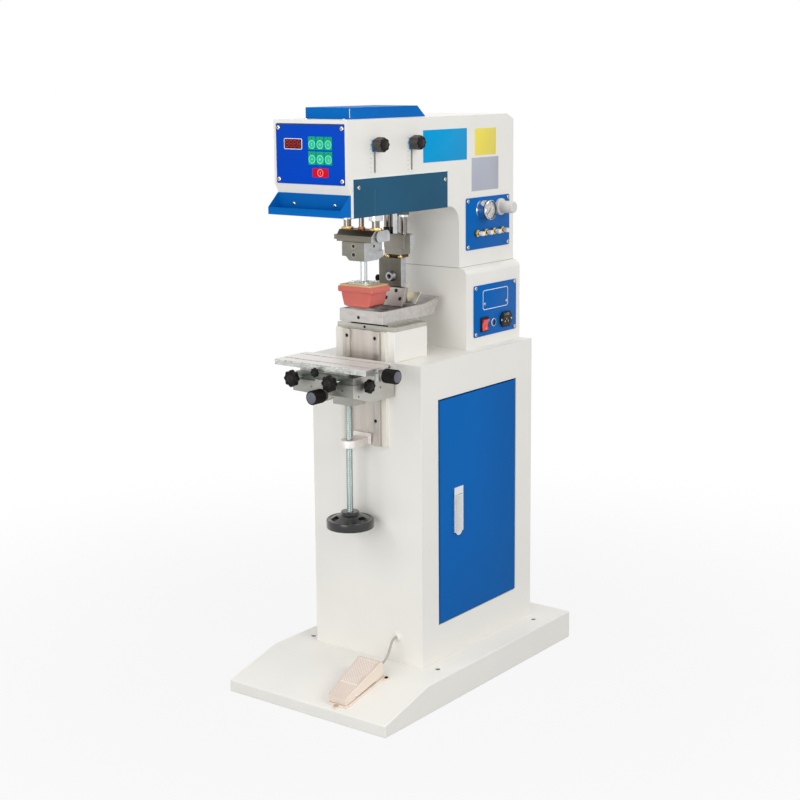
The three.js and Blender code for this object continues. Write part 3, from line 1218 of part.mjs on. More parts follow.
function makeBlade() {
  const plate = block([BLADE_PLATE_LEFT, BLADE_PLATE_RIGHT], [BLADE_PLATE_FRONT, BLADE_PLATE_BACK],
    [BLADE_PLATE_BOTTOM, BLADE_PLATE_TOP]);
  const wedgeBottom = BLADE_PLATE_BOTTOM - BLADE_HOLDER_DEPTH * 1.5;
  const gap = RUNNING_GAP * 1.3;
  const wedge = slab('x', polygon([
    [holderRear(BLADE_PLATE_BOTTOM) + gap, BLADE_PLATE_BOTTOM + BLADE_HOLDER_DEPTH],
    [holderRear(BLADE_PLATE_BOTTOM) + gap, BLADE_PLATE_BOTTOM],
    [holderRear(wedgeBottom) + gap, wedgeBottom],
    [BLADE_PLATE_BACK, wedgeBottom],
    [BLADE_PLATE_BACK, BLADE_PLATE_BOTTOM + BLADE_HOLDER_DEPTH],
  ]), [BLADE_PLATE_LEFT, BLADE_PLATE_RIGHT]);
  const boss = rod('y', BLADE_BOSS_RADIUS,
    [BLADE_PLATE_FRONT - BLADE_BOSS_REACH, BLADE_PLATE_FRONT + BLADE_BOSS_REACH],
    [BLADE_BOSS_X, BLADE_BOSS_Z]);
  const socketFront = BLADE_PLATE_FRONT - BLADE_BOSS_REACH;
  const socket = rod('y', BLADE_SOCKET_RADIUS, [socketFront - CUT_OVERRUN, socketFront + BLADE_SOCKET_DEPTH],
    [BLADE_BOSS_X, BLADE_BOSS_Z], VALVE_NUT_SIDES);
  const screws = levelScrewPlaces().map((x) => rod('z', LEVEL_SCREW_RADIUS,
    [BLADE_PLATE_TOP - CUT_OVERRUN, DOCTOR_STEP_BOTTOM + LEVEL_SCREW_SEAT],
    [x, BLADE_PLATE_BACK - LEVEL_SCREW_SEAT], ROUND_SIDES / 2));
  const knobBore = rod('x', DOCTOR_KNOB_SCREW_RADIUS + RUNNING_GAP,
    [BLADE_PLATE_LEFT - CUT_OVERRUN, BLADE_PLATE_LEFT + CLAMP_DEPTH], [DOCTOR_KNOB_Y, DOCTOR_KNOB_Z],
    ROUND_SIDES / 2);
  add('doctor_plate', cut(join(plate, wedge, boss, ...screws), socket, knobBore), darkSteel());

  const foot = BLADE_HOLDER_FRONT - (BLADE_HOLDER_TOP - BLADE_HOLDER_BOTTOM) * BLADE_LEAN;
  const edge = BLADE_HOLDER_FRONT - (BLADE_HOLDER_TOP - BLADE_EDGE) * BLADE_LEAN;
  const holder = slab('x', polygon([
    [BLADE_HOLDER_FRONT, BLADE_HOLDER_TOP],
    [foot, BLADE_HOLDER_BOTTOM],
    [edge, BLADE_EDGE],
    [edge + BLADE_SHEET, BLADE_EDGE],
    [foot + BLADE_SHEET, BLADE_HOLDER_BOTTOM],
    [holderRear(BLADE_HOLDER_BOTTOM), BLADE_HOLDER_BOTTOM],
    [holderRear(BLADE_HOLDER_TOP), BLADE_HOLDER_TOP],
  ]), [BLADE_LEFT, BLADE_RIGHT]);
  add('blade_holder', holder, milledSteel());
  makeSpatula();
  makeDoctorKnob();
}

// Ink spatula behind the blade, on an arm from the back of the doctor plate
function makeSpatula() {
  const sheet = SPATULA_SHEET;
  const blade = slab('x', polygon([
    [SPATULA_TOP_Y, SPATULA_TOP], [SPATULA_FOOT_Y, SPATULA_FOOT],
    [SPATULA_FOOT_Y + sheet, SPATULA_FOOT], [SPATULA_TOP_Y + sheet, SPATULA_TOP],
  ]), [SPATULA_LEFT, SPATULA_RIGHT]);
  const arm = block([ARM_LEFT, ARM_RIGHT], [BLADE_PLATE_BACK + RUNNING_GAP, SPATULA_TOP_Y + sheet],
    [ARM_BOTTOM, ARM_TOP]);
  add('ink_spatula', join(blade, arm), milledSteel());
}

function makeDoctorKnob() {
  const head = DOCTOR_KNOB_REACH / 2;
  const grip = slab('z', wavy(DOCTOR_KNOB_RADIUS, KNURL_DEPTH, KNURL_RIDGES / 2, KNURL_RIDGES),
    [DOCTOR_KNOB_REACH - head, DOCTOR_KNOB_REACH]);
  const screw = rod('z', DOCTOR_KNOB_SCREW_RADIUS, [-CLAMP_DEPTH + RUNNING_GAP, DOCTOR_KNOB_REACH - head / 2],
    [0, 0], ROUND_SIDES / 2);
  const knob = add('doctor_knob', join(grip, screw), blackPlastic());
  knob.rotation.y = -Math.PI / 2;
  knob.position.set(BLADE_PLATE_LEFT, DOCTOR_KNOB_Y, DOCTOR_KNOB_Z);
}

// Lower housing, open underneath, with windows for the switch, the socket and the inlet
function makeHousing() {
  const outline = archOutline(HOUSING_SIDE, HOUSING_TOP, HOUSING_EDGE, CABINET_TOP);
  const outside = slab('y', outline, [HOUSING_FRONT, BODY_BACK]);
  const inside = slab('y', archOutline(HOUSING_SIDE - HOUSING_WALL, HOUSING_TOP - HOUSING_WALL,
    HOUSING_EDGE - HOUSING_WALL, CABINET_TOP - CUT_OVERRUN),
  [HOUSING_FRONT + HOUSING_WALL, BODY_BACK - HOUSING_WALL]);
  const hoseWay = rod('z', HOSE_WAY_RADIUS, [HOUSING_TOP - HOUSING_WALL * 2, HOUSING_TOP + CUT_OVERRUN],
    [0, HOSE_WAY_Y]);
  const windows = deviceBodies(RUNNING_GAP, [HOUSING_SIDE - HOUSING_WALL * 3, HOUSING_SIDE + CUT_OVERRUN]);
  add('lower_housing', cut(outside, inside, hoseWay, ...windows), whitePaint());
}

// An outline with a flat foot and two rounded top corners.
function archOutline(half, top, radius, bottom) {
  const outline = new THREE.Shape();
  outline.moveTo(-half, bottom);
  outline.lineTo(half, bottom);
  outline.absarc(half - radius, top - radius, radius, 0, Math.PI / 2, false);
  outline.absarc(-half + radius, top - radius, radius, Math.PI / 2, Math.PI, false);
  return outline;
}

// The bodies of the electrical panel's devices behind it, or the windows that they need.
function deviceBodies(gap, range) {
  return [
    block(range, both(SWITCH_HALF_Y - SWITCH_FRAME / 2 + gap).map((y) => SWITCH_Y + y),
      both(SWITCH_HALF_Z - SWITCH_FRAME / 2 + gap).map((z) => SWITCH_Z + z)),
    rod('x', SOCKET_RADIUS - SOCKET_FRAME / 2 + gap, range, [SOCKET_Y, SOCKET_Z]),
    block(range, both(INLET_MOUTH_HALF_Y + INLET_FRAME + gap).map((y) => INLET_Y + y),
      both(INLET_HALF_Z - INLET_FRAME / 2 + gap).map((z) => INLET_Z + z)),
  ];
}

// Head: outline of the C-shaped body in (y, z), and of its hollow
function headOutline() {
  const outline = new THREE.Shape();
  outline.moveTo(HOUSING_FRONT, HOUSING_TOP);
  outline.lineTo(BODY_BACK, HOUSING_TOP);
  outline.lineTo(BODY_BACK, HEAD_TOP - REAR_CHAMFER_DROP);
  outline.lineTo(BODY_BACK - REAR_CHAMFER_RUN, HEAD_TOP);
  outline.lineTo(HEAD_FRONT, HEAD_TOP);
  outline.lineTo(HEAD_FRONT, CHIN_TOP);
  outline.lineTo(CHIN_Y, CHIN_BOTTOM);
  outline.lineTo(CHIN_Y, HEAD_UNDERSIDE);
  outline.lineTo(HOUSING_FRONT - THROAT_RADIUS, HEAD_UNDERSIDE);
  outline.absarc(HOUSING_FRONT - THROAT_RADIUS, HEAD_UNDERSIDE - THROAT_RADIUS, THROAT_RADIUS,
    Math.PI / 2, 0, true);
  return outline;
}

function headHollow() {
  const wall = HEAD_WALL;
  const outline = new THREE.Shape();
  outline.moveTo(HOUSING_FRONT + wall, HOUSING_TOP + wall);
  outline.lineTo(BODY_BACK - wall, HOUSING_TOP + wall);
  outline.lineTo(BODY_BACK - wall, HEAD_TOP - REAR_CHAMFER_DROP - wall / 2);
  outline.lineTo(BODY_BACK - REAR_CHAMFER_RUN - wall / 2, HEAD_TOP - wall);
  outline.lineTo(HEAD_FRONT + wall, HEAD_TOP - wall);
  outline.lineTo(HEAD_FRONT + wall, CHIN_TOP - wall / 2);
  outline.lineTo(CHIN_Y + wall, CHIN_BOTTOM - wall / 2);
  outline.lineTo(CHIN_Y + wall, HEAD_UNDERSIDE - CUT_OVERRUN);
  outline.lineTo(MOUTH_BACK, HEAD_UNDERSIDE - CUT_OVERRUN);
  outline.lineTo(MOUTH_BACK, HEAD_UNDERSIDE + wall);
  outline.lineTo(HOUSING_FRONT - THROAT_RADIUS, HEAD_UNDERSIDE + wall);
  outline.absarc(HOUSING_FRONT - THROAT_RADIUS, HEAD_UNDERSIDE - THROAT_RADIUS, THROAT_RADIUS + wall,
    Math.PI / 2, 0, true);
  return outline;
}

function makeHead() {
  const inner = HEAD_SIDE - HEAD_WALL;
  const shell = cut(slab('x', headOutline(), both(HEAD_SIDE)), slab('x', headHollow(), both(inner)));
  const ways = both(1).map((sign) => {
    const range = [sign * (inner - WAY_REACH), sign * HEAD_SIDE].sort((low, high) => low - high);
    return block(range, [CHIN_Y, WAY_BACK], span(WAY_BOTTOM, WAY_HEIGHT));
  });
  const bezel = block(both(BEZEL_HALF_WIDTH), [HEAD_FRONT - CUT_OVERRUN, HEAD_FRONT + BEZEL_DEPTH],
    [BEZEL_BOTTOM, BEZEL_TOP]);
  const hoseWay = rod('z', HOSE_WAY_RADIUS, [HOUSING_TOP - CUT_OVERRUN, HOUSING_TOP + CUT_OVERRUN * 2],
    [0, HOSE_WAY_Y]);
  const slots = [FRONT_SLIDER_Y, REAR_SLIDER_Y].map((y) => {
    const outline = rounded([y - HEAD_SLOT_WIDTH / 2, y + HEAD_SLOT_WIDTH / 2],
      [HEAD_SLOT_BOTTOM, HEAD_SLOT_TOP], HEAD_SLOT_WIDTH / 2 - RUNNING_GAP / 2);
    return slab('x', outline, [inner - CUT_OVERRUN, HEAD_SIDE + CUT_OVERRUN]);
  });
  add('head_body', cut(join(shell, ...ways), bezel, hoseWay, ...slots), whitePaint());
}

// Stroke stops: a star knob outside, a stop inside, and a screw through the slot between
function makeSlider(name, y) {
  const washer = rod('z', SLIDER_WASHER_RADIUS, [RUNNING_GAP, RUNNING_GAP + SLIDER_WASHER], [0, 0]);
  const inside = -HEAD_WALL - RUNNING_GAP;
  const stop = block(both(SLIDER_STOP_HALF), both(SLIDER_STOP_HALF), [inside - SLIDER_STOP, inside]);
  const head = SLIDER_RADIUS * STAR_HEAD_SHARE;
  const grip = slab('z', wavy(SLIDER_RADIUS, SLIDER_RADIUS * STAR_WAVE_SHARE * 2, STAR_LOBES, STAR_LOBES * 4),
    [SLIDER_REACH - head, SLIDER_REACH]);
  const hub = rod('z', SLIDER_RADIUS * STAR_HUB_SHARE, [SLIDER_WASHER, SLIDER_REACH - head / 2], [0, 0]);
  const screw = rod('z', SLIDER_SCREW_RADIUS, [inside - SLIDER_STOP / 2, SLIDER_REACH - head], [0, 0],
    ROUND_SIDES / 2);
  mount(add(name, join(grip, hub, washer, screw, stop), blackPlastic()), 'x', [HEAD_SIDE, y, SLIDER_Z]);
}

// Sheet covers and the guard in front of the head's mouth
function makeCovers() {
  const outside = slab('x', topCoverOutline(0, 0), both(TOP_COVER_HALF));
  const inside = slab('x', topCoverOutline(COVER_SHEET, CUT_OVERRUN), both(TOP_COVER_HALF - COVER_SHEET));
  add('top_cover', cut(outside, inside), bluePaint());

  add('side_cover', block([HEAD_SIDE, HEAD_SIDE + COVER_SHEET], [SIDE_COVER_FRONT, SIDE_COVER_BACK],
    [SIDE_COVER_BOTTOM, SIDE_COVER_TOP]), tealSheet());

  const guardBack = CHIN_Y;
  const guardFront = CHIN_Y - GUARD_REACH;
  const side = [
    [guardBack, GUARD_BOTTOM], [guardBack, GUARD_TOP], [guardBack - GUARD_SHEET, GUARD_TOP],
    [guardFront, GUARD_BOTTOM + GUARD_LIP], [guardFront, GUARD_BOTTOM],
  ];
  const solidGuard = slab('x', polygon(side), both(GUARD_HALF));
  const tray = slab('x', polygon([
    [guardBack - GUARD_SHEET, GUARD_BOTTOM + GUARD_SHEET],
    [guardBack - GUARD_SHEET, GUARD_TOP + CUT_OVERRUN],
    [guardFront - CUT_OVERRUN, GUARD_TOP + CUT_OVERRUN],
    [guardFront - CUT_OVERRUN, GUARD_BOTTOM + GUARD_LIP],
    [guardFront + GUARD_SHEET, GUARD_BOTTOM + GUARD_LIP],
    [guardFront + GUARD_SHEET, GUARD_BOTTOM + GUARD_SHEET],
  ]), both(GUARD_HALF - GUARD_SHEET));
  add('guard_tray', cut(solidGuard, tray), bluePaint());
}

// The top cover's side view, shrunk by a wall and carried on below the head's top.
function topCoverOutline(inset, drop) {
  return polygon([
    [TOP_COVER_FRONT + inset, HEAD_TOP - drop],
    [TOP_COVER_BACK - inset, HEAD_TOP - drop],
    [TOP_COVER_BACK - inset, HEAD_TOP],
    [TOP_COVER_BACK - TOP_COVER_SLOPE - inset, TOP_COVER_TOP - inset],
    [TOP_COVER_FRONT + inset, TOP_COVER_TOP - inset],
  ]);
}

// Control panel: a plate with film keys and a display window slightly proud of it
function makeControlPanel() {
  const back = HEAD_FRONT + BEZEL_DEPTH;
  const face = back - PANEL_SHEET;
  const plate = block(both(PANEL_HALF_WIDTH), [face, back], [PANEL_BOTTOM, PANEL_TOP]);
  const proud = [face - KEY_PROUD, back];
  const pieces = [
    block(span(DISPLAY_LEFT, DISPLAY_WIDTH), proud, span(DISPLAY_BOTTOM, DISPLAY_HEIGHT)),
    block(span(START_KEY_LEFT, START_KEY_WIDTH), proud, span(START_KEY_BOTTOM, START_KEY_HEIGHT)),
  ];
  for (let column = 0; column < KEY_COLUMNS; column += 1) {
    for (let row = 0; row < KEY_ROWS; row += 1) {
      pieces.push(block(span(KEY_LEFT + column * KEY_PITCH_X, KEY_WIDTH), proud,
        span(KEY_BOTTOM + row * KEY_PITCH_Z, KEY_HEIGHT)));
    }
  }
  add('control_panel', join(plate, ...pieces), panelBlue());
}

// Pneumatic panel with the regulator's flange and the needle valves' bodies
function makeAirPanel() {
  const plate = block([HEAD_SIDE, AIR_PANEL_FACE], [AIR_PANEL_FRONT, AIR_PANEL_BACK],
    [AIR_PANEL_BOTTOM, AIR_PANEL_TOP]);
  const flange = rod('x', REGULATOR_FLANGE_RADIUS, [HEAD_SIDE, AIR_PANEL_FACE + REGULATOR_FLANGE],
    [REGULATOR_Y, REGULATOR_Z]);
  const stem = rod('x', REGULATOR_STEM_RADIUS, [HEAD_SIDE, AIR_PANEL_FACE + REGULATOR_FLANGE + REGULATOR_STEM],
    [REGULATOR_Y, REGULATOR_Z]);
  const valves = valvePlaces().flatMap((y) => [
    rod('x', VALVE_NUT_RADIUS, [HEAD_SIDE, AIR_PANEL_FACE + VALVE_NUT], [y, VALVE_Z], VALVE_NUT_SIDES),
    rod('x', VALVE_NECK_RADIUS, [HEAD_SIDE, AIR_PANEL_FACE + VALVE_NUT + VALVE_NECK], [y, VALVE_Z],
      ROUND_SIDES / 2),
    rod('x', VALVE_STEM_RADIUS, [HEAD_SIDE, AIR_PANEL_FACE + VALVE_NUT + VALVE_NECK + VALVE_STEM], [y, VALVE_Z],
      ROUND_SIDES / 4),
  ]);
  add('pneumatic_panel', join(plate, flange, stem, ...valves), bluePaint());

  const knobStart = AIR_PANEL_FACE + REGULATOR_FLANGE + RUNNING_GAP;
  const knob = rod('x', REGULATOR_RADIUS, [knobStart, REGULATOR_END], [REGULATOR_Y, REGULATOR_Z]);
  const socket = rod('x', REGULATOR_STEM_RADIUS + RUNNING_GAP,
    [0, AIR_PANEL_FACE + REGULATOR_FLANGE + REGULATOR_STEM + RUNNING_GAP], [REGULATOR_Y, REGULATOR_Z]);
  add('regulator_knob', cut(knob, socket), whitePlastic());

  valvePlaces().forEach((y, index) => {
    const start = AIR_PANEL_FACE + VALVE_NUT + VALVE_NECK + RUNNING_GAP;
    const cap = rod('x', VALVE_KNOB_RADIUS, span(start, VALVE_KNOB), [y, VALVE_Z], ROUND_SIDES / 2);
    const hole = rod('x', VALVE_STEM_RADIUS + RUNNING_GAP, [0, start + VALVE_STEM], [y, VALVE_Z],
      ROUND_SIDES / 4);
    add(`flow_knob_${index + 1}`, cut(cap, hole), whitePlastic());
  });
}

function valvePlaces() {
  return Array.from({ length: VALVE_COUNT }, (_, index) => VALVE_FIRST_Y + index * VALVE_PITCH);
}

// Pressure gauge with a recessed dial, and its needle
function makeGauge() {
  const front = AIR_PANEL_FACE + GAUGE_LENGTH;
  const dial = front - DIAL_RECESS;
  const body = rod('x', GAUGE_RADIUS, [AIR_PANEL_FACE, front], [GAUGE_Y, GAUGE_Z], FINE_SIDES);
  const recess = rod('x', GAUGE_RADIUS - GAUGE_RIM, [dial, front + CUT_OVERRUN], [GAUGE_Y, GAUGE_Z], FINE_SIDES);
  const pin = rod('x', NEEDLE_PIN_RADIUS, [dial - NEEDLE_SHEET, dial + NEEDLE_PIN_LENGTH], [GAUGE_Y, GAUGE_Z],
    ROUND_SIDES / 4);
  add('pressure_gauge', join(cut(body, recess), pin), chromeSteel());

  const back = NEEDLE_SHEET * 0.6;
  const hub = rod('z', NEEDLE_HUB_RADIUS, [back - NEEDLE_SHEET / 5, back + NEEDLE_SHEET * 1.8], [0, 0],
    ROUND_SIDES / 2);
  const blade = slab('z', polygon([
    [-NEEDLE_HALF_WIDTH, -NEEDLE_TAIL], [NEEDLE_HALF_WIDTH, -NEEDLE_TAIL],
    [NEEDLE_HALF_WIDTH / 3, NEEDLE_LENGTH], [-NEEDLE_HALF_WIDTH / 3, NEEDLE_LENGTH],
  ]), span(back, NEEDLE_SHEET)).rotate([0, 0, THREE.MathUtils.radToDeg(NEEDLE_REST_TURN)]);
  const bore = rod('z', NEEDLE_PIN_RADIUS + RUNNING_GAP, [-CUT_OVERRUN, NEEDLE_PIN_LENGTH + RUNNING_GAP], [0, 0],
    ROUND_SIDES / 4);
  mount(add('gauge_pointer', cut(join(hub, blade), bore), blackPlastic()), 'x', [dial, GAUGE_Y, GAUGE_Z]);
}

// Electrical panel with the switch frame, a round socket and the power inlet
function makePowerPanel() {
  const plate = block([HOUSING_SIDE, POWER_PANEL_FACE], [POWER_PANEL_FRONT, POWER_PANEL_BACK],
    [POWER_PANEL_BOTTOM, POWER_PANEL_TOP]);
  const backs = deviceBodies(0, [HOUSING_SIDE - SWITCH_DEPTH, POWER_PANEL_FACE]);
  const switchFrame = block([HOUSING_SIDE, POWER_PANEL_FACE + SWITCH_RIM],
    both(SWITCH_HALF_Y).map((y) => SWITCH_Y + y), both(SWITCH_HALF_Z).map((z) => SWITCH_Z + z));
  const switchWell = block([HOUSING_SIDE - SWITCH_DEPTH + SWITCH_FRAME, POWER_PANEL_FACE + CUT_OVERRUN],
    both(SWITCH_HALF_Y - SWITCH_FRAME).map((y) => SWITCH_Y + y),
    both(SWITCH_HALF_Z - SWITCH_FRAME).map((z) => SWITCH_Z + z));
  const ring = rod('x', SOCKET_RADIUS, [HOUSING_SIDE, POWER_PANEL_FACE + SOCKET_FRAME], [SOCKET_Y, SOCKET_Z]);
  const bore = rod('x', SOCKET_BORE, [HOUSING_SIDE - SOCKET_DEPTH, POWER_PANEL_FACE + CUT_OVERRUN],
    [SOCKET_Y, SOCKET_Z]);
  const inletOutline = rounded(both(INLET_HALF_Y).map((y) => INLET_Y + y),
    both(INLET_HALF_Z).map((z) => INLET_Z + z), INLET_CORNER);
  const inlet = slab('x', inletOutline, [HOUSING_SIDE, POWER_PANEL_FACE + INLET_FRAME]);
  const mouthZ = INLET_Z - INLET_MOUTH_DROP;
  const mouth = block([POWER_PANEL_FACE + INLET_FRAME - INLET_DEPTH, POWER_PANEL_FACE + INLET_FRAME + CUT_OVERRUN],
    both(INLET_MOUTH_HALF_Y).map((y) => INLET_Y + y), both(INLET_MOUTH_HALF_Z).map((z) => mouthZ + z));
  const [pinX, pinZ] = rockerAxis();
  const pin = rod('y', RUNNING_GAP * 4, both(SWITCH_HALF_Y - SWITCH_FRAME / 2).map((y) => SWITCH_Y + y),
    [pinX, pinZ], ROUND_SIDES / 4);
  add('electrical_panel', join(cut(join(plate, ...backs, switchFrame, ring, inlet), switchWell, bore, mouth), pin),
    bluePaint());
}

// The rocker turns about a pin along Y, level with the panel's face.
function rockerAxis() {
  return [POWER_PANEL_FACE, SWITCH_Z];
}

// Rocker: two faces that meet in a shallow valley, pressed in at the bottom
function makeRocker() {
  const [pinX, pinZ] = rockerAxis();
  const reach = SWITCH_HALF_Z - SWITCH_FRAME - RUNNING_GAP * 2;
  const tip = SWITCH_RIM + ROCKER_PROUD;
  const root = SWITCH_RIM;
  const outline = polygon([
    [root, 0], [tip, reach], [-root, reach - root / 2], [-root, -reach + root / 2], [tip, -reach],
  ].map(([out, up]) => {
    const turn = ROCKER_TILT;
    return [
      pinX + out * Math.cos(turn) + up * Math.sin(turn), pinZ + up * Math.cos(turn) - out * Math.sin(turn),
    ];
  }));
  const body = slab('y', outline, both(SWITCH_HALF_Y - SWITCH_FRAME - RUNNING_GAP).map((y) => SWITCH_Y + y));
  const bore = rod('y', RUNNING_GAP * 5, both(SWITCH_HALF_Y).map((y) => SWITCH_Y + y), [pinX, pinZ],
    ROUND_SIDES / 4);
  add('rocker_switch', cut(body, bore), paint(0xd8241c, 0.35, 0));
}

// Foot pedal: laid out along +Y from the nose of the base, then tilted onto the ramp
function makePedal() {
  const pedal = new THREE.Group();
  pedal.position.set(PEDAL_X, -BASE_DEPTH / 2, BASE_NOSE);
  pedal.rotation.x = RAMP_ANGLE;
  machine.add(pedal);

  const lift = RUNNING_GAP / 3;
  const back = PEDAL_FRONT + PEDAL_LENGTH;
  const floor = slab('z', pedalPlan(PEDAL_RIM), span(lift, PEDAL_FLOOR));
  const ears = pedalEars().map((place) => rod('z', PEDAL_EAR_RADIUS, span(lift, PEDAL_FLOOR * 0.8), place));
  const holes = pedalEars().map((place) => rod('z', PEDAL_EAR_HOLE, both(BASE_NOSE), place, ROUND_SIDES / 2));
  const pinY = PEDAL_FRONT + PEDAL_PIN_AT;
  const bodyRange = [pinY - PEDAL_BODY_HEIGHT / 2, back - PEDAL_WALL * 3];
  const bodyTop = lift + PEDAL_BODY_HEIGHT;
  const body = block(both(PEDAL_BODY_HALF), bodyRange, [lift, bodyTop]);
  const tower = block(both(GLAND_RADIUS + PEDAL_WALL / 2).map((x) => GLAND_X + x),
    [back - PEDAL_WALL * 3 - GLAND_BLOCK, back - PEDAL_WALL * 3], [lift, GLAND_HEIGHT + GLAND_RADIUS]);
  const pin = rod('x', PEDAL_PIN_RADIUS, both(pedalHalf(pinY) + RUNNING_GAP), [pinY, lift + PEDAL_PIN_HEIGHT]);
  const gland = rod('y', GLAND_RADIUS, [back - PEDAL_WALL * 4, back + GLAND_LENGTH], [GLAND_X, GLAND_HEIGHT]);
  const bore = rod('y', CABLE_RADIUS + RUNNING_GAP, [back - PEDAL_WALL, back + GLAND_LENGTH + CUT_OVERRUN],
    [GLAND_X, GLAND_HEIGHT], ROUND_SIDES / 2);
  add('pedal_base', cut(join(floor, ...ears, body, tower, pin, gland), ...holes, bore),
    paint(0xe8dccb, 0.55, 0), pedal);

  add('pedal_top', pedalShell(lift, pinY), paint(0xe8d8cc, 0.55, 0), pedal);
}

// Half the pedal's width at a place along it.
function pedalHalf(y) {
  const share = (y - PEDAL_FRONT) / PEDAL_LENGTH;
  return (PEDAL_FRONT_WIDTH + (PEDAL_REAR_WIDTH - PEDAL_FRONT_WIDTH) * share) / 2;
}

// The pedal's plan, grown on every side by a margin.
function pedalPlan(margin) {
  const front = PEDAL_FRONT - margin;
  const back = PEDAL_FRONT + PEDAL_LENGTH + margin;
  return polygon([
    [-pedalHalf(front) - margin, front], [pedalHalf(front) + margin, front],
    [pedalHalf(back) + margin, back], [-pedalHalf(back) - margin, back],
  ]);
}

function pedalEars() {
  const back = PEDAL_FRONT + PEDAL_LENGTH;
  const side = pedalHalf(back) + PEDAL_RIM + PEDAL_EAR_RADIUS / 2;
  return [
    [0, PEDAL_FRONT - PEDAL_RIM - PEDAL_EAR_RADIUS / 2],
    [side, back - PEDAL_RIM],
    [-side, back - PEDAL_RIM],
  ];
}

// The cover that the foot presses: open underneath, higher at the heel end.
function pedalShell(lift, pinY) {
  const back = PEDAL_FRONT + PEDAL_LENGTH;
  const foot = lift + PEDAL_FLOOR + PEDAL_SKIRT_GAP;
  const side = (inset, drop) => polygon([
    [PEDAL_FRONT + inset, foot - drop],
    [back - inset, foot + PEDAL_TRAVEL * (1 - inset / PEDAL_LENGTH) - drop],
    [back - inset, PEDAL_REAR_HEIGHT - inset],
    [PEDAL_FRONT + inset, PEDAL_FRONT_HEIGHT - inset],
  ]);
  const outside = slab('z', pedalPlan(0), [0, PEDAL_REAR_HEIGHT])
    .intersect(slab('x', side(0, 0), both(PEDAL_REAR_WIDTH)));
  const inside = slab('z', pedalPlan(-PEDAL_WALL), [0, PEDAL_REAR_HEIGHT])
    .intersect(slab('x', side(PEDAL_WALL, PEDAL_FLOOR), both(PEDAL_REAR_WIDTH)));
  const pinHole = rod('x', PEDAL_PIN_RADIUS + RUNNING_GAP, both(PEDAL_REAR_WIDTH),
    [pinY, lift + PEDAL_PIN_HEIGHT]);
  const cableWay = block(both(GLAND_RADIUS + PEDAL_WALL / 2).map((x) => GLAND_X + x),
    [back - PEDAL_WALL * 3, back + CUT_OVERRUN], [0, GLAND_HEIGHT + GLAND_RADIUS + PEDAL_TRAVEL + PEDAL_WALL / 2]);
  return cut(outside, inside, pinHole, cableWay);
}

// Where a place on the pedal stands on the machine.
function pedalPoint(x, y, z) {
  const place = new THREE.Vector3(x, y, z).applyAxisAngle(new THREE.Vector3(1, 0, 0), RAMP_ANGLE);
  return place.add(new THREE.Vector3(PEDAL_X, -BASE_DEPTH / 2, BASE_NOSE));
}

// The cable's route: straight out of the outlet, down in one bend, straight into the gland
function cableRoute() {
  const back = PEDAL_FRONT + PEDAL_LENGTH;
  const outletY = CABINET_FRONT - GROMMET_FLANGE;
  const bend = new THREE.CubicBezierCurve3(
    new THREE.Vector3(OUTLET_X, outletY, OUTLET_Z),
    new THREE.Vector3(OUTLET_X, outletY - CABLE_OUTLET_PULL, OUTLET_Z),
    pedalPoint(GLAND_X, back + GLAND_LENGTH + CABLE_GLAND_PULL, GLAND_HEIGHT),
    pedalPoint(GLAND_X, back + GLAND_LENGTH, GLAND_HEIGHT),
  );
  return [
    new THREE.Vector3(OUTLET_X, CABINET_FRONT + CABINET_SHEET, OUTLET_Z),
    ...bend.getSpacedPoints(CABLE_POINTS),
    pedalPoint(GLAND_X, back, GLAND_HEIGHT),
  ];
}

function makeCable() {
  const outer = rod('y', GROMMET_RADIUS, [CABINET_FRONT - GROMMET_FLANGE, CABINET_FRONT], [OUTLET_X, OUTLET_Z]);
  const stem = rod('y', GROMMET_STEM_RADIUS, [CABINET_FRONT - GROMMET_FLANGE, CABINET_FRONT + CABINET_SHEET],
    [OUTLET_X, OUTLET_Z]);
  const bore = rod('y', CABLE_RADIUS + RUNNING_GAP,
    [CABINET_FRONT - GROMMET_FLANGE - CUT_OVERRUN, CABINET_FRONT + CUT_OVERRUN], [OUTLET_X, OUTLET_Z],
    ROUND_SIDES / 2);
  add('cable_grommet', cut(join(outer, stem), bore), whitePlastic());

  const section = new THREE.Shape();
  section.absarc(0, 0, CABLE_RADIUS, 0, Math.PI * 2, false);
  const tube = new THREE.ExtrudeGeometry(section, {
    steps: CABLE_STEPS,
    curveSegments: CABLE_SIDES,
    extrudePath: new THREE.CatmullRomCurve3(cableRoute()),
  });
  add('pedal_cable', solid(tube), greyCable());
}

makeBase();
makeCabinet();
makeDoor();
makeHandle();
makeColumn();
makeLift();
makeKnee();
makeSlides();
makeTableKnobs();
makeTray();
makePad();
makePadHead();
makeCarriage();
makeDoctor();
makeBlade();
makeHousing();
makeHead();
makeSlider('front_slider', FRONT_SLIDER_Y);
makeSlider('rear_slider', REAR_SLIDER_Y);
makeCovers();
makeControlPanel();
makeAirPanel();
makeGauge();
makePowerPanel();
makeRocker();
makePedal();
makeCable();

export default machine;
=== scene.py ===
# Looks of the pad printing machine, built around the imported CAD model.
# Shapes are written in millimetres and turned into metres where they become meshes.
# +Z is up, -Y is the front with the operator, +X is the side with the door and the panels.

import json
import math

import bmesh
import bpy
from mathutils import Matrix, Vector


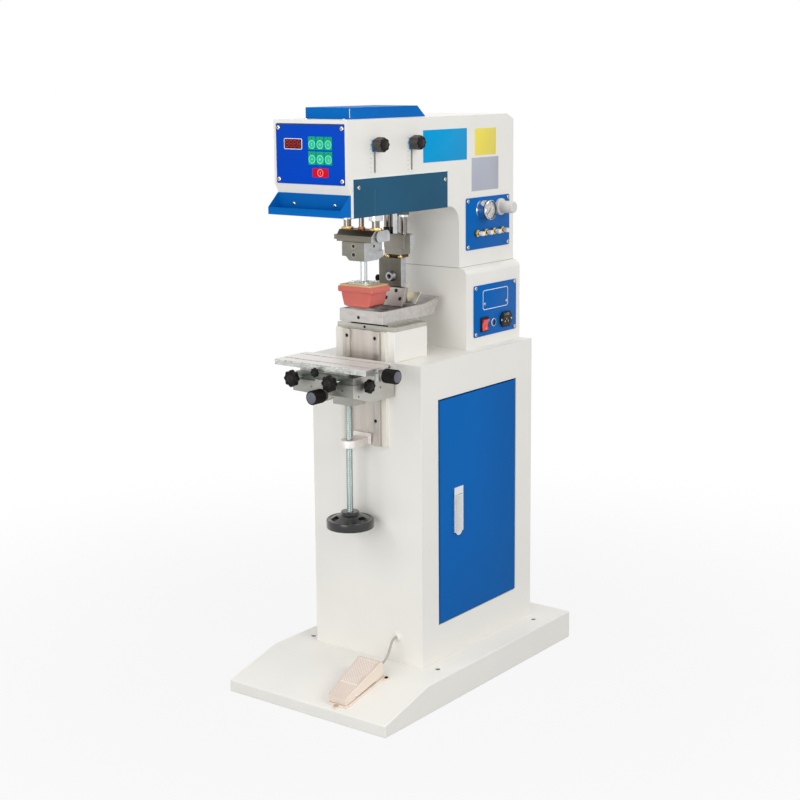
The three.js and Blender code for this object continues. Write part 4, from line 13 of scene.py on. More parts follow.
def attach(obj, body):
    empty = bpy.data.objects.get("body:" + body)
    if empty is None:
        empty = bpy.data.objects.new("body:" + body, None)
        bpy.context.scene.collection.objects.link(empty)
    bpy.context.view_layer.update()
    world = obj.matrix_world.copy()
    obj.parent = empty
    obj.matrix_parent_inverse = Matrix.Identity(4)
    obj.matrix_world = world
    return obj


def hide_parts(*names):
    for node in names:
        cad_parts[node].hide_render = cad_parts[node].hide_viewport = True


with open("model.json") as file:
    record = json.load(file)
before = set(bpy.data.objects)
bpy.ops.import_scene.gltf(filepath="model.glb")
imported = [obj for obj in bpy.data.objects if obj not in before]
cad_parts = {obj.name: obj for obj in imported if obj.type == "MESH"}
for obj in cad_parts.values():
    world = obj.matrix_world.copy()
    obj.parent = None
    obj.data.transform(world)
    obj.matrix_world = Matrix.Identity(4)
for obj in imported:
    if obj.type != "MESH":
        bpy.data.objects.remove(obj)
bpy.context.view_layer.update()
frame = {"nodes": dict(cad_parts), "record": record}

MM = 0.001
BODY_OF = {}
for body_name, members in frame["record"]["behaviour"]["bodies"].items():
    for member in members:
        BODY_OF[member] = body_name


# Camera, solved from the photograph's straight edges

RIGHT = (0.8049, 0.5934, -0.0060)
UP = (-0.0995, 0.1449, 0.9844)
BACK = (0.5850, -0.7918, 0.1756)
EYE = (2.02638, -2.68169, 1.31218)
FOCAL_PX = 1563.40
CENTRE_PX = (421.42, 352.48)
FRAME_PX = 800.0
SENSOR_MM = 36.0
CLIP_END_M = 60.0

eye = bpy.data.cameras.new("camera")
eye.sensor_width = SENSOR_MM
eye.lens = FOCAL_PX * SENSOR_MM / FRAME_PX
eye.shift_x = (FRAME_PX / 2 - CENTRE_PX[0]) / FRAME_PX
eye.shift_y = (CENTRE_PX[1] - FRAME_PX / 2) / FRAME_PX
eye.clip_end = CLIP_END_M
camera = bpy.data.objects.new("camera", eye)
turn = Matrix((RIGHT, UP, BACK)).transposed().to_4x4()
camera.matrix_world = Matrix.Translation(Vector(EYE)) @ turn
bpy.context.scene.collection.objects.link(camera)
bpy.context.scene.camera = camera


# Materials

COAT_ROUGH = 0.25
SOFT_REACH_M = (0.006, 0.003, 0.002)
SOFT_SCALE = 0.4
GLASS_IOR = 1.45
DRIFT_DETAIL = 5.0
RELIEF_DETAIL = 3.0
DRIFT_ENDS = (0.3, 0.7)
# Pointiness ranges and colour factors: outer edges lightened as a painted highlight, inner creases darkened
# as painted shade
EDGE_HIGHLIGHT_RANGE = (0.52, 0.6, 1.7)
CREASE_SHADE_RANGE = (0.49, 0.42, 0.45)
ROUGH_LIMITS = (0.02, 1.0)
ROUGH_SPREAD = 0.08
WAVE_PER_PITCH = 0.314


def linear(red, green, blue):
    """A colour as a screen shows it, 0 to 255, as the shader needs it: the sRGB curve."""
    values = [v / 255.0 for v in (red, green, blue)]
    return [v / 12.92 if v <= 0.04045 else ((v + 0.055) / 1.055) ** 2.4 for v in values]


def shade(colour, factor):
    return [min(1.0, c * factor) for c in colour] + [1.0]


def fill(node, values):
    for socket, value in values.items():
        node.inputs[socket].default_value = value


def add(tree, kind, values=None, **traits):
    """A new shader node with its own traits and its sockets' values."""
    node = tree.nodes.new("ShaderNode" + kind)
    for trait, value in traits.items():
        setattr(node, trait, value)
    fill(node, values or {})
    return node


def surface(name, rgb, rough, metal=0.0, tint=0.05, tint_scale=9.0, rough_spread=ROUGH_SPREAD,
            bump=0.1, bump_scale=900.0, stretch=(1.0, 1.0, 1.0), coat=0.0, soft=0.0,
            edge_highlight=0.0, crease_shade=0.0, glow=0.0, clear=0.0, lattice=None, shine=0.5):
    """A procedural finish: slow colour drift, uneven gloss and a fine relief.
    stretch turns the relief into a lay; outer edges are lightened as a painted highlight and inner creases
    darkened as painted shade."""
    colour = linear(*rgb)
    material = bpy.data.materials.new(name)
    material.use_nodes = True
    tree = material.node_tree
    link = tree.links.new
    shader = tree.nodes["Principled BSDF"]
    fill(shader, {"Metallic": metal, "Coat Weight": coat, "Coat Roughness": COAT_ROUGH,
                  "Specular IOR Level": shine})
    if soft:
        fill(shader, {"Subsurface Weight": soft, "Subsurface Radius": SOFT_REACH_M,
                      "Subsurface Scale": SOFT_SCALE})
    if clear:
        fill(shader, {"Transmission Weight": clear, "IOR": GLASS_IOR})
    if glow:
        fill(shader, {"Emission Color": (*colour, 1.0), "Emission Strength": glow})
    place = add(tree, "TexCoord")
    lay = add(tree, "Mapping", {"Scale": stretch})
    link(place.outputs["Object"], lay.inputs["Vector"])

    drift = add(tree, "TexNoise", {"Scale": tint_scale, "Detail": DRIFT_DETAIL})
    link(lay.outputs["Vector"], drift.inputs["Vector"])
    ramp = add(tree, "ValToRGB")
    for stop, position, factor in zip(ramp.color_ramp.elements, DRIFT_ENDS, (1.0 - tint, 1.0 + tint)):
        stop.position = position
        stop.color = shade(colour, factor)
    link(drift.outputs["Fac"], ramp.inputs["Fac"])
    tone = ramp.outputs["Color"]

    # Painted highlight on outer edges and painted shade in inner creases, both read from pointiness
    edge = add(tree, "NewGeometry") if edge_highlight or crease_shade else None
    for amount, (low, high, factor) in ((edge_highlight, EDGE_HIGHLIGHT_RANGE), (crease_shade, CREASE_SHADE_RANGE)):
        if amount:
            mask = add(tree, "MapRange", {"From Min": low, "From Max": high, "To Max": amount})
            link(edge.outputs["Pointiness"], mask.inputs["Value"])
            blend = add(tree, "Mix", {"B": shade(colour, factor)}, data_type="RGBA")
            link(mask.outputs["Result"], blend.inputs["Factor"])
            link(tone, blend.inputs["A"])
            tone = blend.outputs["Result"]
    link(tone, shader.inputs["Base Color"])

    gloss = add(tree, "MapRange", {"To Min": max(ROUGH_LIMITS[0], rough - rough_spread),
                                   "To Max": min(ROUGH_LIMITS[1], rough + rough_spread)})
    link(drift.outputs["Fac"], gloss.inputs["Value"])
    link(gloss.outputs["Result"], shader.inputs["Roughness"])
    if lattice:
        relief = lattice_height(tree, place, *lattice)
    else:
        fine = add(tree, "TexNoise", {"Scale": bump_scale, "Detail": RELIEF_DETAIL})
        link(lay.outputs["Vector"], fine.inputs["Vector"])
        relief = fine.outputs["Fac"]
    raised = add(tree, "Bump", {"Strength": bump, "Distance": MM})
    link(relief, raised.inputs["Height"])
    link(raised.outputs["Normal"], shader.inputs["Normal"])
    return material


def lattice_height(tree, place, pitch, angle):
    """Height of a moulded grid of diamonds: two crossed sets of waves in the pedal's plane."""
    lower = add(tree, "Math", operation="MINIMUM")
    for number, side in enumerate((angle, -angle)):
        turned = add(tree, "Mapping", {"Rotation": (0.0, 0.0, side)})
        tree.links.new(place.outputs["Object"], turned.inputs["Vector"])
        wave = add(tree, "TexWave", {"Scale": WAVE_PER_PITCH / (pitch * MM), "Distortion": 0.0})
        tree.links.new(turned.outputs["Vector"], wave.inputs["Vector"])
        tree.links.new(wave.outputs["Fac"], lower.inputs[number])
    return lower.outputs["Value"]


def laid_metal(name, rgb, rough, metal, tint, tint_scale, bump, bump_scale, lay, edge_highlight, crease_shade):
    """A machined metal, its drift and relief drawn out along the tool's lay."""
    return surface(name, rgb, rough, metal, tint, tint_scale, ROUGH_SPREAD, bump, bump_scale, lay,
                   edge_highlight=edge_highlight, crease_shade=crease_shade)


MILLED = laid_metal("milled_aluminium", (178, 176, 168), 0.36, 1.0, 0.16, 14, 0.35, 260, (1, 9, 9), 0.3, 0.4)
MILLED_UP = laid_metal("milled_upright", (186, 180, 174), 0.36, 1.0, 0.16, 14, 0.3, 260, (9, 9, 1), 0.3, 0.4)
TABLE_TOP = laid_metal("table_top", (226, 220, 216), 0.42, 0.8, 0.06, 14, 0.3, 260, (1, 9, 9), 0.3, 0.4)
RAIL_PINK = laid_metal("rail_face", (200, 193, 186), 0.4, 0.95, 0.07, 10, 0.3, 260, (9, 9, 1), 0.3, 0.4)
BLOCK = laid_metal("block_aluminium", (186, 182, 178), 0.4, 0.9, 0.16, 45, 0.25, 300, (1, 3, 3), 0.3, 0.3)
# Darker copies for the fronts of the cross slide and the knee: painted shade under the table, with a greenish
# painted reflection on the cross slide
SHADED_SLIDE_FRONT = laid_metal("shaded_slide_front", (120, 125, 118), 0.42, 0.9, 0.22, 40, 0.3, 300, (1, 3, 3), 0.4, 0.4)
SHADED_KNEE_FRONT = laid_metal("shaded_knee_front", (148, 148, 142), 0.42, 0.9, 0.3, 9, 0.3, 300, (1, 3, 3), 0.4, 0.4)
# Lighter copy for faces towards +X: painted light on the lit side
LIT_SLIDE_SIDE = laid_metal("lit_slide_side", (186, 185, 180), 0.42, 0.9, 0.1, 30, 0.3, 300, (3, 1, 3), 0.3, 0.4)
# Lighter, streaky copy for the fronts of the long slide and the table: painted light streaks
LIT_MOTTLED_FRONT = laid_metal("lit_mottled_front", (184, 187, 182), 0.42, 0.8, 0.5, 240, 0.4, 300, (0.6, 3, 2),
                         0.4, 0.5)
STEEL = laid_metal("ground_steel", (122, 117, 106), 0.38, 1.0, 0.12, 18, 0.3, 350, (1, 8, 8), 0.5, 0.4)
HOLDER_STEEL = laid_metal("holder_steel", (126, 124, 115), 0.38, 1.0, 0.14, 18, 0.3, 350, (1, 8, 8), 0.4, 0.4)
PALE_STEEL = laid_metal("pale_steel", (136, 132, 124), 0.38, 1.0, 0.14, 18, 0.3, 350, (1, 8, 8), 0.4, 0.4)
# Paler copy of the steels for faces towards +X: painted light on the lit side
LIT_SIDE_STEEL = laid_metal("lit_side_steel", (172, 174, 175), 0.42, 1.0, 0.16, 55, 0.3, 350, (2, 1, 2), 0.3, 0.4)
BLADE_METAL = laid_metal("blade_metal", (152, 145, 141), 0.38, 1.0, 0.12, 20, 0.3, 350, (1, 6, 6), 0.3, 0.3)
DARK_STEEL = laid_metal("dark_steel", (102, 100, 91), 0.42, 1.0, 0.14, 30, 0.2, 350, (3, 3, 1), 0.5, 0.4)
SATIN = laid_metal("satin_chrome", (196, 198, 200), 0.26, 1.0, 0.06, 30, 0.15, 500, (6, 6, 1), 0.4, 0.0)

# Strong drift drawn out along the rods: its light and dark streaks are painted reflections
ROD_PAINTED_REFLECTIONS = surface("rod_chrome_painted_reflections", (132, 128, 121), 0.16, 1.0, tint=0.42, tint_scale=95.0, bump=0.03,
                    stretch=(1.0, 1.0, 0.01), rough_spread=0.05)
ETCHED = surface("etched_plate", (96, 92, 88), 0.3, 1.0, tint=0.2, tint_scale=60.0, bump=0.2)
ZINC = surface("zinc_steel", (158, 170, 167), 0.3, 1.0, tint=0.1, tint_scale=40.0, bump=0.15, crease_shade=0.5)
CHROME = surface("chromed_steel", (214, 214, 214), 0.12, 1.0, tint=0.03, bump=0.02, rough_spread=0.04)
NICKEL = surface("nickel_screw", (205, 198, 186), 0.22, 1.0, tint=0.08, tint_scale=120.0, bump=0.05)
BRASS = surface("brass", (218, 186, 118), 0.25, 1.0, tint=0.12, tint_scale=90.0, bump=0.08, crease_shade=0.5)
COPPER = surface("copper", (176, 108, 70), 0.32, 1.0, tint=0.12, tint_scale=90.0, bump=0.1, crease_shade=0.5)
# Dark brown for the doctor's gap strip: painted shadow
GAP_SHADE_BRONZE = surface("gap_shade_bronze", (84, 62, 44), 0.4, 0.8, tint=0.3, tint_scale=120.0, bump=0.2)
# Black oxide for dark fasteners; also the dark fill painted as shade in cross recesses and slots
BLACK_OXIDE_AND_RECESS_SHADE = surface("black_oxide_and_recess_shade", (38, 36, 34), 0.35, 0.8, tint=0.2, tint_scale=90.0, bump=0.05, edge_highlight=0.6)
SPATULA = surface("spatula_steel", (222, 216, 200), 0.3, 0.9, tint=0.05, tint_scale=20.0, bump=0.06,
                  edge_highlight=0.2, crease_shade=0.3)

WHITE = surface("white_paint", (236, 234, 228), 0.42, tint=0.015, bump=0.12, bump_scale=420.0,
                coat=0.15, crease_shade=0.25)
BLUE = surface("blue_paint", (0, 92, 168), 0.42, tint=0.04, bump=0.12, bump_scale=420.0, edge_highlight=0.3,
               shine=0.06)
COVER_BLUE = surface("cover_blue", (0, 98, 178), 0.42, tint=0.04, bump=0.12, bump_scale=420.0, edge_highlight=0.3,
                     shine=0.06)
PANEL_BLUE = surface("panel_blue", (0, 96, 176), 0.4, tint=0.03, bump=0.05, edge_highlight=0.2, shine=0.06)
FILM_BLUE = surface("film_blue", (0, 70, 192), 0.4, tint=0.03, bump=0.06, bump_scale=1500.0, shine=0.05)
TEAL = surface("teal_sheet", (36, 86, 116), 0.4, tint=0.1, tint_scale=7.0, bump=0.06, shine=0.08)
CREAM = surface("rail_paint", (222, 218, 206), 0.45, 0.3, bump=0.2, bump_scale=400.0, edge_highlight=0.4)
# Pale edge colour: the teal sheet's bare edge brightened by a painted highlight, and a painted highlight on
# the top cover's corner
EDGE_LIGHT = surface("bare_edge_and_highlight", (226, 240, 240), 0.35, 0.1, tint=0.03, bump=0.05)
# Pale blue-grey for the cover's fold: painted highlight on the bend
FOLD_HIGHLIGHT = surface("fold_highlight", (64, 112, 140), 0.4, tint=0.2, tint_scale=30.0, bump=0.05)

BLACK = surface("black_plastic", (20, 15, 15), 0.42, tint=0.25, tint_scale=40.0, bump_scale=700.0,
                edge_highlight=0.5, shine=0.14)
BLACK_GLOSS = surface("black_gloss", (20, 19, 19), 0.2, tint=0.2, tint_scale=20.0, bump=0.05, coat=0.4)
# Lighter copy of the black plastic for the stops' grip sides: painted light on the sides
LIT_GRIP_SIDE = surface("lit_grip_side", (58, 51, 48), 0.4, tint=0.3, tint_scale=60.0, edge_highlight=0.6)
# Near-black for the insides of sockets, holes, gaps and mouths: painted shadow
PAINTED_SHADOW = surface("socket_shadow", (12, 11, 11), 0.7, tint=0.2, bump=0.05)
CAP_GREY = surface("knob_cap", (96, 100, 107), 0.34, 0.3, tint=0.1, tint_scale=60.0)
IVORY = surface("white_plastic", (232, 230, 224), 0.4, tint=0.03, bump=0.06, soft=0.08, crease_shade=0.3)
KNOB_GREY = surface("knob_plastic", (216, 213, 206), 0.4, tint=0.03, bump=0.06, crease_shade=0.4, shine=0.3)
IVORY_WORN = surface("valve_plastic", (238, 232, 222), 0.45, tint=0.08, tint_scale=200.0, soft=0.1, crease_shade=0.4)
ROCKER_RED = surface("rocker_red", (224, 44, 34), 0.25, tint=0.06, bump=0.04, coat=0.4)
SILICONE = surface("pad_silicone", (206, 104, 92), 0.45, tint=0.07, tint_scale=22.0, bump_scale=260.0,
                   soft=0.25, edge_highlight=0.2)
WOOD = surface("backing_wood", (214, 178, 132), 0.6, tint=0.12, tint_scale=30.0, bump=0.3,
               bump_scale=300.0, stretch=(1.0, 8.0, 8.0))
PEDAL = surface("pedal_plastic", (236, 222, 208), 0.5, tint=0.04, bump=0.12, bump_scale=700.0, soft=0.05,
                crease_shade=0.3)
PEDAL_GRID = surface("pedal_grid", (224, 206, 193), 0.5, bump=0.9, lattice=(3.0, math.radians(45)))
RIB = surface("pedal_rib", (250, 240, 232), 0.5, tint=0.03)
JACKET = surface("cable_jacket", (176, 172, 166), 0.5, bump_scale=600.0)

CYAN = surface("cyan_film", (0, 158, 218), 0.4, tint=0.03, bump=0.04, shine=0.06)
YELLOW = surface("yellow_film", (240, 222, 92), 0.42, tint=0.03, bump=0.04, shine=0.2)
SILVER = surface("silver_film", (172, 176, 190), 0.38, 0.2, bump=0.04, coat=0.2)
WHITE_INK = surface("white_ink", (232, 238, 244), 0.45, tint=0.04, bump=0.04)
GREY_INK_AND_SEAM_SHADE = surface("grey_ink_and_seam_shade", (150, 150, 146), 0.5, bump=0.04)
BLACK_INK_AND_BEZEL_SHADE = surface("black_ink_and_bezel_shade", (26, 26, 28), 0.45, tint=0.1, bump=0.04)
MINT_INK = surface("mint_ink", (150, 240, 208), 0.4, bump=0.03, shine=0.1)
PINK_INK = surface("pink_ink", (248, 176, 176), 0.4, bump=0.03)
GREEN_KEY = surface("green_key", (0, 172, 118), 0.4, bump=0.05, shine=0.08)
KEY_LIGHT = surface("key_disc", (42, 200, 150), 0.4, tint=0.04, bump=0.03, shine=0.1)
RED_KEY = surface("red_key", (214, 8, 34), 0.36, bump=0.05, shine=0.06)
LED_OFF = surface("led_off", (84, 26, 26), 0.25, tint=0.1, bump=0.03, coat=0.5)
WINDOW_RED = surface("window_red", (64, 6, 12), 0.25, tint=0.1, bump=0.03, shine=0.15)
SEGMENT = surface("segment_red", (190, 24, 28), 0.3, tint=0.1, bump=0.03, glow=0.35)
DIAL = surface("dial_white", (240, 240, 238), 0.4, tint=0.02, bump=0.03)
GLASS = surface("gauge_glass", (250, 250, 250), 0.06, tint=0.01, bump=0.01, rough_spread=0.02, clear=1.0)


# Meshes

AXES = {
    "x": Matrix(((0, 0, 1), (1, 0, 0), (0, 1, 0))),
    "-x": Matrix(((0, 0, -1), (-1, 0, 0), (0, 1, 0))),
    "-y": Matrix(((1, 0, 0), (0, 0, -1), (0, 1, 0))),
    "z": Matrix(((1, 0, 0), (0, 1, 0), (0, 0, 1))),
}
SHARP_ANGLE = math.radians(32)
FLAT_ANGLE = math.radians(0.5)
WELD_REACH = 0.002
SHORTEST_EDGE = 3.0
NORMAL_WEIGHT = 60
ROUND = 48
AXIS_RADIUS = 0.01
RIM_SHARES = (0.35, 1.0)


def at_place(x, y, z):
    return Matrix.Translation((x, y, z))


def spun(angle, axis="Z"):
    return Matrix.Rotation(angle, 4, axis)


def facing(axis, place):
    """Stands what is built along its own +Z at a place, pointing along a row axis."""
    return Matrix.Translation(Vector(place)) @ AXES[axis].to_4x4()


def outline_box(left, right, low, high, radius=0.0, steps=5):
    if not radius:
        return [(left, low), (right, low), (right, high), (left, high)]
    points = []
    for cx, cy, start in ((right, low, -90), (right, high, 0), (left, high, 90), (left, low, 180)):
        x = cx - radius if cx == right else cx + radius
        y = cy + radius if cy == low else cy - radius
        for step in range(steps + 1):
            angle = math.radians(start + 90.0 * step / steps)
            points.append((x + radius * math.cos(angle), y + radius * math.sin(angle)))
    return points


def circle(radius, sides=ROUND, wave=0.0, lobes=0):
    """Points of a circle, with a number of lobes as deep as the wave."""
    points = []
    for step in range(sides):
        angle = 2 * math.pi * step / sides
        reach = radius - wave * (1 - math.cos(angle * lobes)) / 2
        points.append((reach * math.cos(angle), reach * math.sin(angle)))
    return points


def level(outline, height):
    return [(x, y, height) for x, y in outline]


class Form:
    """Shapes in millimetres that end up as one piece."""

    def __init__(self, name):
        self.name = name
        self.mesh = bmesh.new()
        self.materials = []

    def index(self, material):
        if material not in self.materials:
            self.materials.append(material)
        return self.materials.index(material)

    def loft(self, rings, material, at=None, closed=False):
        """A skin through rings of (x, y, z); its ends are capped unless it closes on itself."""
        matrix = at or Matrix.Identity(4)
        rows = [[self.mesh.verts.new(matrix @ Vector(p)) for p in ring] for ring in rings]
        faces = []
        for lower, upper in list(zip(rows, rows[1:])) + ([(rows[-1], rows[0])] if closed else []):
            count = len(lower)
            for i in range(count):
                j = (i + 1) % count
                faces.append(self.mesh.faces.new((lower[i], lower[j], upper[j], upper[i])))
        if not closed:
            faces.append(self.mesh.faces.new(list(reversed(rows[0]))))
            faces.append(self.mesh.faces.new(rows[-1]))
        number = self.index(material)
        for face in faces:
            face.material_index = number

    def plate(self, outline, low, high, material, at=None, bevel=0.0):
        """An outline raised from low to high, its upper rim eased by bevel."""
        rings = [level(outline, low), level(outline, high - bevel)]
        if bevel:
            mid_x, mid_y = (sum(p[i] for p in outline) / len(outline) for i in (0, 1))
            reach = max(math.hypot(x - mid_x, y - mid_y) for x, y in outline)
            for share in RIM_SHARES:
                inset = bevel * (1 - math.cos(math.pi / 2 * share)) / reach
                shrunk = [(x - (x - mid_x) * inset, y - (y - mid_y) * inset) for x, y in outline]
                rings.append(level(shrunk, high - bevel + bevel * math.sin(math.pi / 2 * share)))
        self.loft(rings, material, at)

    def slabs(self, rows, at):
        """Plates, each given by its span, corner radius, low, high, material and bevel."""
        for span, radius, low, high, material, bevel in rows:
            self.plate(outline_box(*span, radius), low, high, material, at, bevel)

    def turned(self, profile, material, at=None, sides=ROUND):
        """A profile of (radius, height) turned about +Z, with flat ends."""
        self.loft([level(circle(max(radius, AXIS_RADIUS), sides), height) for radius, height in profile],
                  material, at)

    def ring(self, profile, material, at=None, sides=ROUND):
        """A closed profile turned about +Z, for rings and tubes."""
        self.loft([level(circle(radius, sides), height) for radius, height in profile],
                  material, at, closed=True)

    def grip(self, radius, profile, sides, wave, lobes, material, at):
        """A ribbed round grip: rows of (height, share of the radius)."""
        self.loft([level(circle(radius * share, sides, wave, lobes), height) for height, share in profile],
                  material, at)

    def rod(self, radius, low, high, material, at=None, sides=ROUND, chamfer=0.4):
        self.turned([(radius - chamfer, low), (radius, low + chamfer), (radius, high - chamfer),
                     (radius - chamfer, high)], material, at, sides)

    def block(self, x, y, z, material, bevel=0.6, segments=2):
        """A box between two places on each axis with eased edges."""
        number = self.index(material)
        made = bmesh.ops.create_cube(self.mesh, size=1.0)["verts"]
        for vert in made:
            vert.co = Vector([span[0] if c < 0 else span[1] for c, span in zip(vert.co, (x, y, z))])
        faces = {face for vert in made for face in vert.link_faces}
        for face in faces:
            face.material_index = number
        edges = list({edge for face in faces for edge in face.edges})
        bmesh.ops.bevel(self.mesh, geom=edges, offset=bevel, segments=segments, profile=0.5,
                        affect="EDGES", clamp_overlap=True, material=number)

    def in_metres(self):
        bmesh.ops.recalc_face_normals(self.mesh, faces=self.mesh.faces)
        for vert in self.mesh.verts:
            vert.co *= MM
        return self.mesh

    def done(self, body, slot, *nodes):
        return finish_piece(self.name, self.in_metres(), self.materials, body, nodes)


def stood(name, data):
    """A new object in the scene."""
    made = bpy.data.objects.new(name, data)
    bpy.context.scene.collection.objects.link(made)
    return made


def finish_piece(name, mesh, materials, body, nodes=()):
    for edge in mesh.edges:
        if len(edge.link_faces) == 2:
            edge.smooth = edge.calc_face_angle(math.pi) < SHARP_ANGLE
    for face in mesh.faces:
        face.smooth = True
    data = bpy.data.meshes.new(name)
    mesh.to_mesh(data)
    mesh.free()
    for material in materials:
        data.materials.append(material)
    piece = stood(name, data)
    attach(piece, body)
    if nodes:
        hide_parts(*nodes)
    return piece


def looks(axis, least=0.7):
    """A test for faces that look along a row axis, such as x or -y."""
    number = "xyz".index(axis[-1])
    sign = -1 if axis[0] == "-" else 1
    return lambda centre, normal: sign * normal[number] > least


def dressed(node, material, bevel=1.0, segments=2, zones=()):
    """The node's own solid with eased edges and a real finish.
    zones are (test of a face's centre and normal, material) for faces that differ."""
    mesh = bmesh.new()
    mesh.from_mesh(frame["nodes"][node].data)
    bmesh.ops.remove_doubles(mesh, verts=mesh.verts, dist=WELD_REACH * MM)
    bmesh.ops.dissolve_limit(mesh, angle_limit=FLAT_ANGLE, verts=mesh.verts, edges=mesh.edges)
    edges = [e for e in mesh.edges
             if len(e.link_faces) == 2 and e.calc_face_angle(0.0) > SHARP_ANGLE
             and e.calc_length() > SHORTEST_EDGE * bevel * MM]
    bmesh.ops.bevel(mesh, geom=edges, offset=bevel * MM, segments=segments, profile=0.5,
                    affect="EDGES", clamp_overlap=True)
    materials = [material]
    for test, other in zones:
        if other not in materials:
            materials.append(other)
        for face in mesh.faces:
            if test(face.calc_center_median() / MM, face.normal):
                face.material_index = materials.index(other)
    piece = finish_piece(node + "_skin", mesh, materials, BODY_OF[node], (node,))
    steady = piece.modifiers.new("steady_normals", "WEIGHTED_NORMAL")
    steady.keep_sharp = True
    steady.weight = NORMAL_WEIGHT


# Fasteners, each built along +Z from its seat at height zero

PAN_RISE_SHARE = 0.55
PAN_SHARES = ((1.0, 0.25), (0.9, 0.65), (0.6, 0.92), (0.0, 1.0))
PAN_SLOT_SHARES = (-0.55, 0.55, -0.1, 0.1)
PAN_SLOT_ANGLES = (0.6, 0.6 + math.pi / 2)
PAN_SLOT_LOW_SHARE, PAN_SLOT_HIGH_SHARE = 0.86, 1.04
SINK = -0.4


def pan_screw(form, at, radius, material=NICKEL):
    """A pan head with a cross recess, in shares of its radius and rise."""
    rise = radius * PAN_RISE_SHARE
    profile = [(0, SINK), (radius, SINK)] + [(radius * across, rise * up) for across, up in PAN_SHARES]
    form.turned(profile, material, at, 24)
    slot = outline_box(*(radius * share for share in PAN_SLOT_SHARES))
    # The cross recess is a dark plate on the head: painted shade
    for angle in PAN_SLOT_ANGLES:
        form.plate(slot, rise * PAN_SLOT_LOW_SHARE, rise * PAN_SLOT_HIGH_SHARE, BLACK_OXIDE_AND_RECESS_SHADE, at @ spun(angle))


def socket_screw(form, at, radius, rise=0.5, rim=None):
    """A cap screw sunk in its counterbore: a chamfer ring in the given colour, pale on the rail as a painted
    highlight; the head; and its hexagon socket, filled black as painted shade.
    """
    if rim:
        form.ring([(radius + 1.1, -0.3), (radius + 1.1, 0.12), (radius + 0.1, 0.02), (radius + 0.1, -0.3)],
                  rim, at, 24)
    form.ring([(radius, SINK), (radius, rise + SINK), (radius + SINK, rise), (radius * 0.52, rise),
               (radius * 0.5, rise - 0.3), (radius * 0.5, SINK)], BLACK_OXIDE_AND_RECESS_SHADE, at, 24)
    form.plate(circle(radius * 0.56, 6), -0.35, rise - 0.45, PAINTED_SHADOW, at)


def dark_hole(form, at, radius):
    """A deep bolt hole: a bright chamfer, partly bare metal and partly painted highlight, round a black
    bottom of painted shade.
    """
    form.ring([(radius + 0.9, -0.3), (radius + 0.9, 0.1), (radius, 0.05), (radius, -0.3)], NICKEL, at, 28)
    form.plate(circle(radius + 0.05, 28), -0.25, 0.03, PAINTED_SHADOW, at)


def hex_nut(form, at, radius, low, high, material):
    """A hexagon nut with turned corners."""
    chamfer = radius * 0.12
    flat_share = 0.866
    rings = []
    for height, size in ((low, 0.93), (low + chamfer, 1.0), (high - chamfer, 1.0), (high, 0.93)):
        ring = []
        for step in range(24):
            angle = 2 * math.pi * step / 24
            reach = radius * min(flat_share / math.cos((angle % (math.pi / 3)) - math.pi / 6), size)
            ring.append((reach * math.cos(angle), reach * math.sin(angle), height))
        rings.append(ring)
    form.loft(rings, material, at)


def threaded(form, at, radius, low, high, pitch, material, sides=20, depth_share=0.14):
    """A screw with a helical ridge, as a stack of slightly wound rings."""
    turns = max(1, int((high - low) / pitch))
    per_turn = 4
    span = (high - low) / turns
    core = radius * (1 - depth_share)
    rings = [level(circle(core * 0.98, sides), low)]
    for step in range(turns * per_turn + 1):
        height = min(high, max(low + 0.05, low + span * step / per_turn))
        ring = []
        for side in range(sides):
            angle = 2 * math.pi * side / sides
            phase = (step / per_turn - side / sides) % 1.0
            reach = radius * (1 - depth_share * abs(2 * phase - 1) ** 0.8)
            ring.append((reach * math.cos(angle), reach * math.sin(angle), height))
        rings.append(ring)
    rings.append(level(circle(core * 0.9, sides), high + 0.02))
    form.loft(rings, material, at)


# The pedal's cable comes first: its route, then the curve along it

CABLE_RADIUS = 2.65
CABLE_POINTS = 34
CABLE_SAMPLES = 400
PEDAL_REAR_LOW = 25.7
PEDAL_FRONT_HIGH = 63
PEDAL_RUN = 148.3
BASE_FRONT_Y = -355.4
PEDAL_X = 75
RAMP_ANGLE = math.atan2(PEDAL_FRONT_HIGH - PEDAL_REAR_LOW, PEDAL_RUN)
PEDAL_PLACE = at_place(PEDAL_X, BASE_FRONT_Y, PEDAL_REAR_LOW) @ spun(RAMP_ANGLE, "X")
OUTLET = Vector((80, -145, 121.6))
OUTLET_INSIDE = Vector((80, -137, 121.6))
OUTLET_PULL = Vector((0, -26, 0))
GLAND_X, GLAND_Z = 21, 26
GLAND_INSIDE_Y, GLAND_Y, GLAND_PULL_Y = 141, 149, 187


def cable_points():
    """The CAD route: straight out of the grommet, one bend down, straight into the gland."""
    inside, gland, pull = (PEDAL_PLACE @ Vector((GLAND_X, y, GLAND_Z))
                           for y in (GLAND_INSIDE_Y, GLAND_Y, GLAND_PULL_Y))
    pulls = (OUTLET, OUTLET + OUTLET_PULL, pull, gland)
    fine = []
    for step in range(CABLE_SAMPLES + 1):
        t = step / CABLE_SAMPLES
        weights = ((1 - t) ** 3, 3 * t * (1 - t) ** 2, 3 * t * t * (1 - t), t ** 3)
        fine.append(sum((p * w for p, w in zip(pulls, weights)), Vector((0, 0, 0))))
    lengths = [0.0]
    for first, second in zip(fine, fine[1:]):
        lengths.append(lengths[-1] + (second - first).length)
    route = [OUTLET_INSIDE]
    at = 0
    for step in range(CABLE_POINTS + 1):
        wanted = lengths[-1] * step / CABLE_POINTS
        while at < CABLE_SAMPLES and lengths[at] < wanted:
            at += 1
        route.append(fine[at].copy())
    route.append(inside)
    return [p * MM for p in route]


